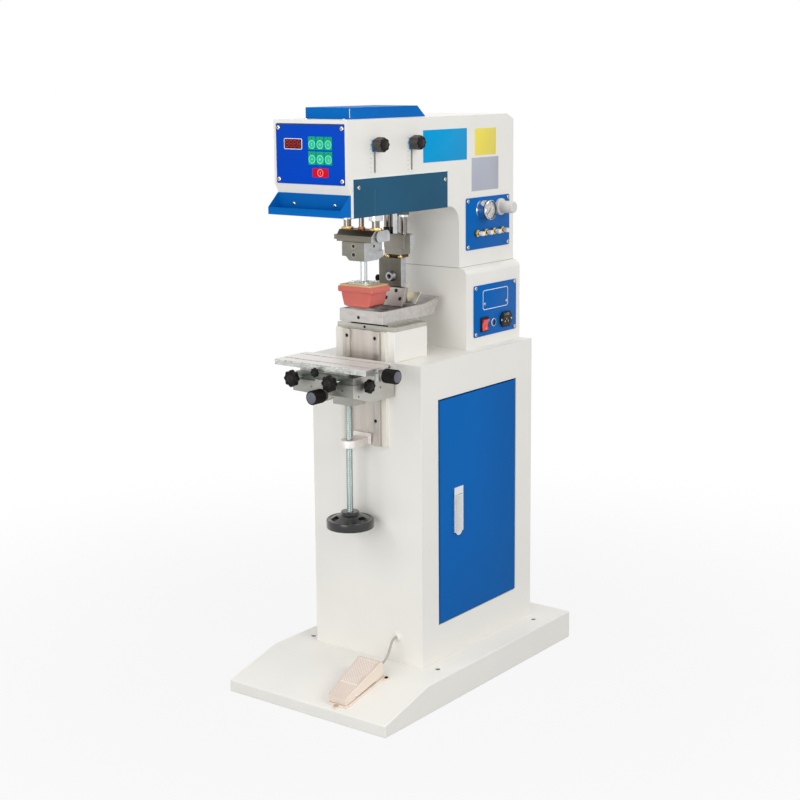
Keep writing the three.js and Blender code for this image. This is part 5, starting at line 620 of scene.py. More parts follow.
def make_cable():
    route = cable_points()
    line = bpy.data.curves.new("pedal_cable_run", "CURVE")
    line.dimensions = "3D"
    line.bevel_depth = CABLE_RADIUS * MM
    line.bevel_resolution = 6
    line.use_fill_caps = True
    spline = line.splines.new("POLY")
    spline.points.add(len(route) - 1)
    for point, place in zip(spline.points, route):
        point.co = (*place, 1.0)
    spline.use_smooth = True
    line.materials.append(JACKET)
    cable = stood("pedal_cable_run", line)
    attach(cable, "frame")
    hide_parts("pedal_cable")
    run = sum((b - a).length for a, b in zip(route, route[1:]))
    tuple(route[0])


make_cable()


# Painted body

HEAD_RIGHT = 94.7
HEAD_FRONT = -305.8
COVER_RIGHT = 96.7
BASE_TOP = 61
RAIL_WAY_X = 49.5
RAIL_BACK_Y = -150
RAIL_FACE_X = 30
SEAM_SHADOW_BOX = ((-94.95, 94.95), (72.1, 284.2), (896.7, 897.9))
ANCHOR_X = (-172.7, 172.7)
ANCHOR_Y = (-121, 258.4)
ANCHOR_RADIUS, ANCHOR_DEPTH = 6, 5
BODY_DRESS = (
    ("base_plate", WHITE, 2.2), ("cabinet_shell", WHITE, 1.6), ("column_block", WHITE, 1.4),
    ("lower_housing", WHITE, 1.6), ("head_body", WHITE, 1.6), ("cabinet_door", BLUE, 1.2),
    ("top_cover", COVER_BLUE, 1.0), ("handle_plate", SATIN, 0.9), ("handle_lever", SATIN, 0.8),
)
BODY_SCREWS = (
    ("z", (-53, -254.8, 1223.9), 3.2), ("z", (46, -254.8, 1223.9), 3.2),
    ("-y", (-50.7, -298.1, 1056.3), 3.6), ("-y", (55.7, -298.1, 1056.3), 3.6),
    ("x", (COVER_RIGHT, -274.4, 1091.8), 4.3), ("x", (COVER_RIGHT, 17.6, 1091.8), 4.3),
    ("-y", (-82, HEAD_FRONT, 1105), 4.6), ("-y", (-82, HEAD_FRONT, 1207.6), 4.6),
    ("-y", (82, HEAD_FRONT, 1105), 4.6), ("-y", (82, HEAD_FRONT, 1207.6), 4.6),
)
# The ivory chamfer rings round the rail's bolts are painted highlights
RAIL_BOLTS = (
    ((-37.3, -151.2, 768.8), 4.1, 0.5, IVORY), ((-37.3, -151.2, 592.4), 4.1, 0.5, IVORY),
    ((37.3, -151.2, 768.8), 4.1, 0.5, IVORY), ((37.3, -151.2, 592.4), 4.1, 0.5, IVORY),
    ((-4.5, -134.5, 786.9), 3.2, 0.6, MILLED), ((-6.6, -151.9, 809), 3.6, 0.6, BLOCK),
)
GROMMET_PLACE = (80, -140, 121.6)
GROMMET_PROFILE = ((7, -3), (7, 0), (10, 0), (10, 2.4), (9.2, 3.4), (5.6, 5), (2.95, 5), (2.95, -3))


def make_body():
    for node, material, bevel in BODY_DRESS:
        dressed(node, material, bevel, 3)
    # The sheet's front and top faces take the pale edge colour: its bare edge with a painted highlight
    dressed("side_cover", TEAL, 0.5, 1, zones=((looks("-y"), EDGE_LIGHT), (looks("z"), EDGE_LIGHT)))
    dressed("guard_tray", COVER_BLUE, 0.7)
    front = looks("-y")
    dressed("slide_rail", MILLED_UP, 0.5,
            zones=((lambda c, n: abs(c.x) > RAIL_WAY_X and c.y > RAIL_BACK_Y, CREAM),
                   (lambda c, n: front(c, n) and abs(c.x) < RAIL_FACE_X, RAIL_PINK)))
    # The bracket takes the paler table-top finish: painted light of its lit side
    dressed("screw_bracket", TABLE_TOP, 1.0)


def make_body_fasteners():
    # A grey band in the joint between head and lower housing: painted shadow of the seam
    seam = Form("head_seam_shadow")
    seam.block(*SEAM_SHADOW_BOX, GREY_INK_AND_SEAM_SHADE, 0.2, 1)
    seam.done("frame", "white_paint")
    holes = Form("anchor_shadows")
    for x in ANCHOR_X:
        for y in ANCHOR_Y:
            holes.plate(circle(ANCHOR_RADIUS, 24), BASE_TOP - ANCHOR_DEPTH, BASE_TOP, PAINTED_SHADOW,
                        at_place(x, y, 0))
    holes.done("frame", "black_plastic")
    form = Form("body_screws")
    for axis, place, radius in BODY_SCREWS:
        pan_screw(form, facing(axis, place), radius)
    form.done("frame", "chromed_steel")
    bolts = Form("rail_bolts")
    for place, radius, rise, rim in RAIL_BOLTS:
        socket_screw(bolts, facing("-y", place), radius, rise, rim)
    bolts.done("frame", "black_plastic")
    cord_exit = Form("cable_grommet_skin")
    cord_exit.ring(GROMMET_PROFILE, IVORY, facing("-y", GROMMET_PLACE))
    cord_exit.done("frame", "white_plastic", "cable_grommet")


SIDE_FILMS = (
    ((-57.3, 101.5, 1129.7, 1196.8), 1.0, 0.0, 0.25, CYAN, 0.05),
    ((131.9, 213.4, 1136.5, 1194.6), 1.0, 0.0, 0.25, YELLOW, 0.05),
    ((119.3, 223.7, 1059.9, 1131.8), 1.0, 0.0, 0.25, SILVER, 0.05),
)
FOLD_SPAN = (-223.0, -222.4, 1032.8, 1086.0)
FOLD_THICK = 0.08
CORNER_HIGHLIGHT_STRIP = ((56.9, 57.75), (-251.35, -250.5), (1226.2, 1244.6))
STOP_SLOTS_Y = (-219, -96.5)
SCALE_FROM, SCALE_TO = -14.4, -11.0
SCALE_LOW, SCALE_STEP, SCALE_MARKS = 1119, 9.2, 8
MARK_WIDTH, MARK_THICK = 0.9, 0.1


def make_stickers():
    """Bare films where the machine has its labels, and the stroke scales beside the slots."""
    films = Form("side_films")
    head = facing("x", (HEAD_RIGHT, 0, 0))
    films.slabs(SIDE_FILMS, head)
    # A pale line where the cover's sheet bends: painted highlight on the fold
    films.plate(outline_box(*FOLD_SPAN), 0.0, FOLD_THICK, FOLD_HIGHLIGHT, facing("x", (COVER_RIGHT, 0, 0)))
    # A pale strip on the top cover's front corner: painted highlight on the bent edge
    films.block(*CORNER_HIGHLIGHT_STRIP, EDGE_LIGHT, 0.1, 1)
    for slot_y in STOP_SLOTS_Y:
        for step in range(SCALE_MARKS):
            z = SCALE_LOW + step * SCALE_STEP
            mark = outline_box(slot_y + SCALE_FROM, slot_y + SCALE_TO, z, z + MARK_WIDTH)
            films.plate(mark, 0.0, MARK_THICK, GREY_INK_AND_SEAM_SHADE, head)
    films.done("frame", "white_paint")


# Control panel: film with a display window, six green keys and a red one

FILM_SLABS = (
    ((-88.6, 88.6, 1096.9, 1216.1), 4.0, -1.5, 0.0, FILM_BLUE, 0.2),
    # A thin black strip under the bezel's upper rim: painted shadow of the rim
    ((-86, 86, 1214.2, 1215.9), 0.8, -0.1, 0.08, BLACK_INK_AND_BEZEL_SHADE, 0.0),
    ((-68, -20.4, 1165, 1186.8), 3.0, -0.2, 0.3, WHITE_INK, 0.1),
    ((-66.4, -22, 1166.4, 1185.4), 2.0, 0.0, 0.38, WINDOW_RED, 0.05),
)
DIGITS, DIGIT_LEFT, DIGIT_LOW, DIGIT_STEP = 4, -63.6, 1169.4, 10.4
DIGIT_WIDE, DIGIT_HIGH, SEGMENT_HIGH = 7.4, 13, 0.42
SEGMENT_SHARES = (
    ((0.12, 0.88), (0.92, 1.0)), ((0.12, 0.88), (0.46, 0.54)), ((0.12, 0.88), (0.0, 0.08)),
    ((0.0, 0.12), (0.54, 0.94)), ((0.88, 1.0), (0.54, 0.94)),
    ((0.0, 0.12), (0.06, 0.46)), ((0.88, 1.0), (0.06, 0.46)),
)
KEY_THICK, KEY_BEVEL, DISC_THICK = 0.3, 0.15, 0.1
KEY_SLAB = (-0.1, KEY_THICK)
KEY_LEFT, KEY_LOW = -4.8, 1136
KEY_PITCH_X, KEY_PITCH_Z = 20.9, 29.2
KEY_WIDE, KEY_HIGH = 19.2, 26
KEY_DISC_UP, KEY_LED_UP = 10.6, 22.4
KEY_DISC, KEY_RING, KEY_RING_WIDE = 8.6, 8.4, 1.2
LED_RADIUS, LED_THICK, LED_BEVEL = 1.6, 0.16, 0.05
RED_SPAN = (5.6, 45.9, 1111.5, 1129.1)
RED_X, RED_Z, RED_LED_Z = 25.75, 1120.3, 1132.4
RED_RING, RED_RING_WIDE = 7.4, 1.0
MARK_RISE = 0.15
INK_THICK = 0.14
UPRIGHT = (-0.5, 0.5, -2.8, 2.8)
LYING = (-2.6, 2.6, -0.5, 0.5)
KEY_BARS = ((LYING,), (UPRIGHT,), (), (LYING, UPRIGHT), (UPRIGHT, (0.5, 3.0, -2.8, -1.8)),
            ((-2.4, 2.4, 1.0, 1.8), (-2.4, 2.4, -1.8, -1.0)))
ARROW_KEY = 2
ARROW = ((-2, -2.4), (2.6, 0), (-2, 2.4))


def on_key(x, z):
    return facing("-y", (x, HEAD_FRONT - KEY_THICK, z))


def led(form, at):
    form.plate(circle(LED_RADIUS, 16), 0.0, LED_THICK, LED_OFF, at, LED_BEVEL)


def ring_mark(form, at, radius, width, material):
    form.ring([(radius, 0.0), (radius, INK_THICK), (radius - width, INK_THICK), (radius - width, 0.0)],
              material, at, 32)


def key_mark(form, x, z, kind, material):
    """A small generic sign inside a key's circle: bars, an arrow or a cross."""
    at = facing("-y", (0, HEAD_FRONT - KEY_THICK - MARK_RISE, 0))
    for left, right, low, high in KEY_BARS[kind]:
        form.plate(outline_box(x + left, x + right, z + low, z + high), 0.0, INK_THICK, material, at)
    if kind == ARROW_KEY:
        form.plate([(x + across, z + up) for across, up in ARROW], 0.0, INK_THICK, material, at)


def make_control_panel():
    at = facing("-y", (0, HEAD_FRONT, 0))
    form = Form("control_film")
    form.slabs(FILM_SLABS, at)
    for digit in range(DIGITS):
        left = DIGIT_LEFT + digit * DIGIT_STEP
        for (x0, x1), (z0, z1) in SEGMENT_SHARES:
            bar = outline_box(left + DIGIT_WIDE * x0, left + DIGIT_WIDE * x1,
                              DIGIT_LOW + DIGIT_HIGH * z0, DIGIT_LOW + DIGIT_HIGH * z1)
            form.plate(bar, KEY_THICK, SEGMENT_HIGH, SEGMENT, at)
    for key in range(6):
        left, low = KEY_LEFT + key // 2 * KEY_PITCH_X, KEY_LOW + key % 2 * KEY_PITCH_Z
        x, z = left + KEY_WIDE / 2, low + KEY_DISC_UP
        form.slabs([((left, left + KEY_WIDE, low, low + KEY_HIGH), 1.2, *KEY_SLAB, GREEN_KEY, KEY_BEVEL)], at)
        form.plate(circle(KEY_DISC, 40), 0.0, DISC_THICK, KEY_LIGHT, on_key(x, z))
        ring_mark(form, on_key(x, z), KEY_RING, KEY_RING_WIDE, MINT_INK)
        key_mark(form, x, z, key, MINT_INK)
        led(form, on_key(x, low + KEY_LED_UP))
    form.slabs([(RED_SPAN, 1.0, *KEY_SLAB, RED_KEY, KEY_BEVEL)], at)
    ring_mark(form, on_key(RED_X, RED_Z), RED_RING, RED_RING_WIDE, PINK_INK)
    key_mark(form, RED_X, RED_Z, 1, PINK_INK)
    led(form, facing("-y", (RED_X, HEAD_FRONT, RED_LED_Z)))
    form.done("frame", "blue_panel", "control_panel")


# Stroke stops, clamp knobs and screw knobs

GRIP_WAVE_SHARE = 0.15
GRIP_SIDE_SHARES = ((0.0, 0.86), (0.08, 0.94), (0.2, 1.0), (0.8, 1.0), (0.86, 0.98))
GRIP_FACE_SHARES = ((0.859, 0.979), (0.92, 0.94), (1.0, 0.84))
GRIP_GAP = 0.35
STOP_Z = 1174
STOP_RADIUS, STOP_REACH, STOP_SCREW = 15, 28, 3
STOP_WASHER = ((11, 0.3), (11, 1.4), (10.5, 1.9), (4, 1.9), (4, 0.3))
STOP_FILM = ((0.2, 1.6), (-9.5, 7), (-14, 9))
STOP_NUT = ((-11.3, -5.3), (-6.5, 6.5), (-6.5, 6.5))
CLAMP_Z = 692.8 + (707 - 692.8) / 3
CLAMPS = (
    ("clamp_knob_left", "-y", (-61, -275, CLAMP_Z), 18, 37, 3, 10.6),
    ("clamp_knob_centre", "-y", (39, -275, CLAMP_Z), 18, 37, 3, 10.6),
    ("clamp_knob_table", "-y", (-4, -262, 715), 10, 41, 2.2, 11.8),
    ("clamp_knob_side", "x", (80, -243, 688), 15, 19, 3, 11.8),
)
SCREW_KNOBS = (
    ("cross_screw_knob", "-y", (12, -292, 669), 24), ("long_screw_knob", "x", (124, -240, 714), 82),
)
SCREW_RADIUS, SCREW_PITCH = 4, 1.5
COLLAR_PROFILE = ((8.1, 0.4), (8.5, 0.9), (8.5, 6.6), (8, 7.2))
COLLAR_DOTS, DOT_REACH, DOT_HEIGHT = 8, 8.3, 4
KNOB_RADIUS = 14.8
KNOB_PROFILE = ((7.0, 0.9), (7.9, 1.0), (37.5, 1.0), (38.4, 0.94))
CAP_PROFILE = ((11.6, 38.2), (11.6, 38.8), (11.2, 39.0), (0, 39.0))


def lobed_head(form, at, radius, low, high, flank):
    """A moulded star grip with eight round lobes and eased rims; its face is black and its sides take the
    flank material, on the stops a lighter copy painted with the light the sides catch.
    """
    for shares, skin in ((GRIP_SIDE_SHARES, flank), (GRIP_FACE_SHARES, BLACK)):
        form.loft([level(circle(radius * size, 96, radius * GRIP_WAVE_SHARE * size, 8),
                         low + (high - low) * height) for height, size in shares], skin, at)
    form.turned([(0, high - 0.4), (radius * 0.5, high - 0.3), (radius * 0.44, high + 0.25), (0, high + 0.3)],
                BLACK_OXIDE_AND_RECESS_SHADE, at, 32)


def grip_neck(form, at, radius, under_head):
    neck = radius * 0.28
    form.turned([(neck, under_head - radius * 0.45), (neck * 1.05, under_head - radius * 0.2),
                 (neck * 1.2, under_head + 0.5)], BLACK, at, 32)


def about(place, spans):
    return [(low + middle, high + middle) for (low, high), middle in zip(spans, place)]


def stop_piece(node, place):
    """A stroke stop: a long star grip, its washer and film outside, its nut inside the head."""
    form = Form(node + "_grip")
    at = facing("x", place)
    # The grip's sides take the lighter copy of the plastic: painted light
    lobed_head(form, at, STOP_RADIUS, 3.2, STOP_REACH - GRIP_GAP, LIT_GRIP_SIDE)
    grip_neck(form, at, STOP_RADIUS, STOP_REACH - STOP_RADIUS * 0.75)
    form.ring(STOP_WASHER, CYAN, at)
    form.block(*about(place, STOP_FILM), CYAN, 0.3, 1)
    form.turned([(STOP_RADIUS * 0.62, 1.9), (STOP_RADIUS * 0.66, 3.4)], BLACK_OXIDE_AND_RECESS_SHADE, at, 40)
    form.rod(STOP_SCREW, -5.6, 2, ZINC, at, 24)
    form.block(*about(place, STOP_NUT), DARK_STEEL, 0.8)
    form.done(BODY_OF[node], "black_plastic", node)


def star_piece(node, axis, place, radius, reach, screw, depth):
    """A clamp knob: a star head as deep as three quarters of its radius, its neck and its screw."""
    form = Form(node + "_grip")
    at = facing(axis, place)
    under_head = reach - radius * 0.75
    lobed_head(form, at, radius, under_head, reach - GRIP_GAP, BLACK)
    grip_neck(form, at, radius, under_head)
    threaded(form, at, screw, -depth, under_head - radius * 0.4, 1.0, ZINC)
    form.done(BODY_OF[node], "black_plastic", node)


def knurled_piece(node, axis, place, depth):
    """A slide's knob: its screw, a satin collar with dots, a fluted grip and a grey cap."""
    form = Form(node + "_grip")
    at = facing(axis, place)
    threaded(form, at, SCREW_RADIUS, 0.1 - depth, 2, SCREW_PITCH, ZINC, 24, 0.12)
    form.turned(COLLAR_PROFILE, SATIN, at, 40)
    for dot in range(COLLAR_DOTS):
        spot = at @ spun(2 * math.pi * dot / COLLAR_DOTS) @ at_place(DOT_REACH, 0, DOT_HEIGHT)
        form.turned([(1.1, -0.4), (1.0, 0.15), (0, 0.2)], NICKEL, spot @ AXES["x"].to_4x4(), 12)
    form.grip(KNOB_RADIUS, KNOB_PROFILE, 144, 0.9, 36, BLACK, at)
    form.turned(CAP_PROFILE, CAP_GREY, at, 40)
    form.done(BODY_OF[node], "black_plastic", node)


def make_knobs():
    for node, slot_y in zip(("front_slider", "rear_slider"), STOP_SLOTS_Y):
        stop_piece(node, (HEAD_RIGHT, slot_y, STOP_Z))
    for row in CLAMPS:
        star_piece(*row)
    for row in SCREW_KNOBS:
        knurled_piece(*row)


# Lifting screw and handwheel

SCREW_X, SCREW_Y = 0, -197
LIFT_RADIUS, LIFT_LOW, LIFT_HIGH, LIFT_PITCH = 7.25, 372, 660, 4.0
WHEEL_PROFILE = (
    (7.55, 366), (14, 366), (14, 389), (19.5, 389), (43.8, 377), (43.8, 366), (49.3, 366), (50.4, 366.8),
    (50.8, 368), (50.8, 381.5), (50.3, 383.6), (48.8, 385), (46.6, 385.2), (43.8, 383.8), (28, 391.4),
    (19.5, 394), (19.5, 400), (18.4, 401), (7.55, 401),
)
WHEEL_WINDOWS = 3
WINDOW_OUTLINE = (27.8, 40.8, -10, 10)
CUT_LOW, CUT_HIGH = 360, 410
FACETS = 12
WINDOW_HALF_DEG = 35
FACET_INNER = ((19.0, -1.2, 392.2), (19.0, 1.2, 392.2), (19.0, 0.6, 395.0), (19.0, -0.6, 395.0))
FACET_OUTER = ((43.4, -2.0, 382.0), (43.4, 2.0, 382.0), (43.4, 0.8, 384.2), (43.4, -0.8, 384.2))


def cut_windows(piece):
    """Cuts the windows between the spokes and keeps the result as the wheel's own mesh."""
    tools = []
    for index in range(WHEEL_WINDOWS):
        cutter = Form("window")
        cutter.plate(outline_box(*WINDOW_OUTLINE, 3.2), CUT_LOW, CUT_HIGH, PAINTED_SHADOW,
                     at_place(SCREW_X, SCREW_Y, 0) @ spun(2 * math.pi * index / WHEEL_WINDOWS))
        data = bpy.data.meshes.new("window")
        cutter.in_metres().to_mesh(data)
        cutter.mesh.free()
        tools.append(stood("window", data))
        cut = piece.modifiers.new("window", "BOOLEAN")
        cut.operation = "DIFFERENCE"
        cut.solver = "EXACT"
        cut.object = tools[-1]
    bpy.context.view_layer.update()
    evaluated = piece.evaluated_get(bpy.context.evaluated_depsgraph_get())
    baked = bpy.data.meshes.new_from_object(evaluated)
    piece.modifiers.clear()
    piece.data = baked
    for tool in tools:
        bpy.data.objects.remove(tool)


def make_lift():
    at = facing("z", (SCREW_X, SCREW_Y, 0))
    screw = Form("table_screw_thread")
    threaded(screw, at, LIFT_RADIUS, LIFT_LOW, LIFT_HIGH, LIFT_PITCH, ZINC, 24, 0.13)
    screw.done("lift_screw", "zinc_steel", "table_screw")
    wheel = Form("handwheel_moulding")
    wheel.ring(WHEEL_PROFILE, BLACK_GLOSS, at, 96)
    cut_windows(wheel.done("lift_screw", "black_plastic", "handwheel"))
    facets = Form("handwheel_facets")
    for step in range(FACETS):
        degrees = 360 * (step + 0.5) / FACETS
        past_window = (degrees + 180 / WHEEL_WINDOWS) % (360 / WHEEL_WINDOWS) - 180 / WHEEL_WINDOWS
        if abs(past_window) >= WINDOW_HALF_DEG:
            facets.loft([FACET_INNER, FACET_OUTER], BLACK_GLOSS,
                        at_place(SCREW_X, SCREW_Y, 0) @ spun(math.radians(degrees)))
    facets.done("lift_screw", "black_plastic")


# Knee, slides and table

KNEE_FRONT_BOLTS = ((-30, -279.9, 680), (52, -279.9, 680))
KNEE_SIDE_BOLTS = ((79.9, -262, 668), (79.9, -190, 676))
# The last column holds copies for the front faces: darker on the knee and cross slide as painted shade,
# lighter on the long slide and table as painted light streaks
TABLE_DRESS = (
    ("knee", MILLED, 0.8, SHADED_KNEE_FRONT), ("cross_slide", MILLED, 0.6, SHADED_SLIDE_FRONT),
    ("long_slide", MILLED, 0.5, LIT_MOTTLED_FRONT), ("work_table", TABLE_TOP, 0.5, LIT_MOTTLED_FRONT),
)


def make_table():
    for node, material, bevel, front in TABLE_DRESS:
        # Faces towards +X take the lighter copy: painted light on the lit side
        dressed(node, material, bevel, zones=((looks("-y"), front), (looks("x"), LIT_SLIDE_SIDE)))
    bolts = Form("knee_bolts")
    for axis, places in (("-y", KNEE_FRONT_BOLTS), ("x", KNEE_SIDE_BOLTS)):
        for place in places:
            socket_screw(bolts, facing(axis, place), 2.4, 0.4, MILLED)
    bolts.done("knee", "black_plastic")


# Bed, ink tray and etched plate

BED_LIP_LOW, BED_LIP_HIGH = 792, 799.2
TRAY_GAP_SHADOW = ((-40, 58), (-134.9, -134.3), (792.3, 795.6))
FIELD_X = (-30, 0, 30)
FIELD_Y = (-110, -66)
FIELD_RADIUS, FIELD_LOW, FIELD_HIGH = 9, 824.1, 824.16


def make_tray():
    front = looks("-y")
    # The bed plate's front lip under the tray takes dark steel: partly its own dark finish, partly painted
    # shade of the tray above
    dressed("bed_plate", MILLED, 0.6,
            zones=((lambda c, n: front(c, n) and BED_LIP_LOW < c.z < BED_LIP_HIGH, DARK_STEEL),))
    dressed("ink_tray", BLOCK, 0.7)
    # A black strip in the gap under the ink tray's front: painted shadow
    gap = Form("tray_gap_shadow")
    gap.block(*TRAY_GAP_SHADOW, PAINTED_SHADOW, 0.1, 1)
    gap.done("frame", "milled_aluminium")
    dressed("cliche_plate", ETCHED, 0.3, 1)
    ink = Form("etched_fields")
    for x in FIELD_X:
        for y in FIELD_Y:
            ink.plate(circle(FIELD_RADIUS, 40), FIELD_LOW, FIELD_HIGH, BLACK_INK_AND_BEZEL_SHADE, at_place(x, y, 0))
    ink.done("frame", "ground_steel")


# Silicone pad with its backing

PAD_Y = -140.5
RIM_HALF_X, RIM_HALF_Y = 46.3, 31.3
RIM_INSETS = ((0.7, 876.0), (0.0, 875.2), (0.1, 866.0), (1.2, 864.2))
PAD_HALF_X, PAD_HALF_Y = 39.0, 28.8
FLANK_TOP = 863.6
FLANK_SHARES = (0.0, 0.04, 0.25, 0.5, 0.75, 0.92, 1.0)
FACE_SHARES = (0.97, 0.85, 0.7, 0.5, 0.3, 0.1)
TAPER_X_SHARE, TAPER_Y_SHARE = 0.12, 0.07
CROWN_X_SHARE, CROWN_Y_SHARE = 0.88, 0.93
CROWN_LOW, CROWN_RISE_X, CROWN_RISE_Y = 827, 11, 3
BACKING = ((-42.5, 42.5), (-169, -112), (875.6, 880.2))
PLATE_SPAN = (-27, 27, -164.5, -116.5)
PLATE_LOW, PLATE_HIGH = 880.2, 884.2
PLATE_SCREW_X, PLATE_SCREW_Y = 18, (-156, -125)
WASHER_PROFILE = ((5.2, -0.2), (5.2, 0.9), (4.9, 1.1), (2.4, 1.1), (2.4, -0.2))
SLOT_X, SLOT_HALF, SLOT_LOW_Y, SLOT_HIGH_Y = 6, 4.5, -162, -158.6
ROD_FOOT = ((10.4, 884.1), (10.4, 885.6), (9.2, 886.8), (7.3, 887.2))
PAD_ROD_RADIUS, PAD_ROD_LOW, PAD_ROD_HIGH = 7.3, 884.4, 969.6


def crown(x, y):
    """Height of the printing face: a barrel across the pad, nearly flat along it."""
    across = min(1.0, abs(x) / (PAD_HALF_X * CROWN_X_SHARE))
    along = min(1.0, abs(y - PAD_Y) / (PAD_HALF_Y * CROWN_Y_SHARE))
    return CROWN_LOW + max(CROWN_RISE_X * across ** 2.2, CROWN_RISE_Y * along ** 2)


def pad_outline(half_x, half_y, radius):
    return outline_box(-half_x, half_x, PAD_Y - half_y, PAD_Y + half_y, radius, 6)


def make_pad():
    rings = [level(pad_outline(RIM_HALF_X - inset, RIM_HALF_Y - inset, 3.0), z) for inset, z in RIM_INSETS]
    for share in FLANK_SHARES:
        outline = pad_outline(PAD_HALF_X * (1 - TAPER_X_SHARE * share ** 1.4),
                              PAD_HALF_Y * (1 - TAPER_Y_SHARE * share), 3.5)
        rings.append([(x, y, FLANK_TOP - (FLANK_TOP - crown(x, y)) * share) for x, y in outline])
    for share in FACE_SHARES:
        shrunk = [(x * share, (y - PAD_Y) * share + PAD_Y) for x, y in outline]
        rings.append([(x, y, crown(x, y)) for x, y in shrunk])
    pad = Form("silicone_body")
    pad.loft(rings, SILICONE)
    pad.done("pad", "pad_silicone", "print_pad")

    wood = Form("pad_backing")
    wood.block(*BACKING, WOOD, 1.0, 3)
    wood.done("pad", "pad_silicone")

    plate = Form("pad_fixing_plate")
    plate.plate(outline_box(*PLATE_SPAN, 7, 8), PLATE_LOW, PLATE_HIGH, MILLED, bevel=0.7)
    for y in PLATE_SCREW_Y:
        for x in (-PLATE_SCREW_X, PLATE_SCREW_X):
            plate.ring(WASHER_PROFILE, CHROME, facing("z", (x, y, PLATE_HIGH)), 32)
            pan_screw(plate, facing("z", (x, y, PLATE_HIGH + 0.9)), 3.0)
    # The slots are dark plates on the fixing plate: painted shade
    for x in (-SLOT_X, SLOT_X):
        slot = outline_box(x - SLOT_HALF, x + SLOT_HALF, SLOT_LOW_Y, SLOT_HIGH_Y, 1.6, 5)
        plate.plate(slot, PLATE_HIGH - 0.2, PLATE_HIGH + 0.06, BLACK_OXIDE_AND_RECESS_SHADE)
    at = facing("z", (0, PAD_Y, 0))
    plate.turned(ROD_FOOT, CHROME, at)
    plate.rod(PAD_ROD_RADIUS, PAD_ROD_LOW, PAD_ROD_HIGH, SATIN, at, 64, 0.3)
    plate.done("pad", "chromed_steel", "pad_rod")


# Pad holder, crossbar and its rods

HOLDER_HOLES = (
    ("-y", (1, -175.06, 961.8), 3.9), ("-y", (1, -175.06, 943.9), 4.4), ("x", (30.06, -142.9, 960.6), 3.2),
)
GUIDE_X, GUIDE_Y = 37.6, -146
PAD_RODS = (
    ("pad_guide_left", -GUIDE_X, 8.1, 14.0, BRASS), ("pad_guide_right", GUIDE_X, 8.1, 14.0, BRASS),
    ("pad_piston_rod", 0, 5.6, 8.6, COPPER),
)
GUIDE_LOW, GUIDE_HIGH = 974.2, 1200
NUT_LOW, NUT_HIGH, COLLAR_HIGH = 994.1, 998.4, 999.4


def make_pad_head():
    # Faces towards +X take the paler steel: painted light on the lit side
    side = ((looks("x", 0.5), LIT_SIDE_STEEL),)
    dressed("pad_holder", HOLDER_STEEL, 0.9, zones=side)
    dressed("pad_crossbar", STEEL, 0.9, 3, zones=side)
    bolts = Form("holder_bolts")
    for axis, place, radius in HOLDER_HOLES:
        dark_hole(bolts, facing(axis, place), radius)
    bolts.done("pad", "black_plastic")
    for node, x, radius, nut, metal in PAD_RODS:
        form = Form(node + "_ground")
        at = facing("z", (x, GUIDE_Y, 0))
        form.rod(radius, GUIDE_LOW, GUIDE_HIGH, ROD_PAINTED_REFLECTIONS, at, 48, 0.5)
        hex_nut(form, at, nut, NUT_LOW, NUT_HIGH, metal)
        collar = [(radius + 1.6, NUT_HIGH - 0.2), (radius + 1.4, COLLAR_HIGH), (radius + 0.1, COLLAR_HIGH),
                  (radius + 0.1, NUT_HIGH - 0.2)]
        form.ring(collar, metal, at, 40)
        form.done("pad", "chromed_steel", node)


# Shuttle carriage and doctor unit

DOCTOR_X, DOCTOR_Y = 19, -25
PAD_BUSH = ((14.3, 1014.4), (14.3, 1043), (13.6, 1045.8), (8.5, 1045.8), (8.5, 1014), (13.6, 1013.9))
DOCTOR_BUSH = ((11.3, 1012.4), (11.3, 1017), (9.2, 1017.4), (9.2, 1045.8), (7.3, 1045.8), (7.3, 1012),
               (10.8, 1011.9))
DOCTOR_GUIDES = (
    ("doctor_guide_left", -23, 9.3), ("doctor_guide_right", DOCTOR_X, 6.95),
)
DOCTOR_ROD_LOW, DOCTOR_ROD_HIGH = 957.2, 1150
LOCK_NUT = ((10.4, 975.1), (10.7, 976), (10.7, 988), (10.2, 988.9), (9.4, 988.9), (9.4, 975.1))
BOSS_PLACE = (-3, -42, 885.4)
BOSS_PROFILE = ((11.5, -0.2), (11, 1.2), (9.3, 8.2), (8.8, 8.6), (5.7, 8.6), (5.5, 8.0), (5.5, -0.2))
BOSS_BORE, BOSS_FLOOR = 5.6, (1.5, 4.0)
CAP_Z, NECK_Z = 976, 946
EAR_X, FLANK_X = 35, 25
PLATE_SLOPE = 0.4
PLATE_TOP_Y, PLATE_TOP_Z = -43.5, 862
PLATE_SCREWS = ((12.6, 855.7), (-9.7, 839.8), (27.2, 839.7))
BRASS_SCREW_X, BRASS_SCREW_Y = (-20, 14), -32
BRASS_SCREW, BRASS_NUT = (3.3, 924.8, 931.5, 1.2), (5.6, 925, 928.4)
SMALL_NUT_X, SMALL_NUT = -30.9, (4.4, 924.9, 929.6)
GAP_SHADE_STRIP = ((-23.5, 19), (-30, -9), (924.9, 931.4))
CLIP_SCREWS = ((5.4, -12, 866), (12.6, -12, 866))
CLIP_BLOCK = ((2.6, 15.4), (-7.4, -1.4), (849.6, 858))
DOCTOR_KNOB_PLACE = (-36.5, -33, 878)
DOCTOR_SCREW = (2, -11.6, 7, 0.8)
DOCTOR_KNOB_RADIUS = 7
DOCTOR_KNOB_PROFILE = ((6.0, 0.9), (6.7, 1.0), (12.3, 1.0), (12.9, 0.9))


def make_shuttle():
    dressed("shuttle_carriage", DARK_STEEL, 0.6)
    sleeves = Form("shuttle_bushes")
    for x in (-GUIDE_X, GUIDE_X):
        sleeves.ring(PAD_BUSH, CHROME, facing("z", (x, GUIDE_Y, 0)))
    sleeves.ring(DOCTOR_BUSH, CHROME, facing("z", (DOCTOR_X, DOCTOR_Y, 0)))
    sleeves.done("shuttle", "ground_steel")


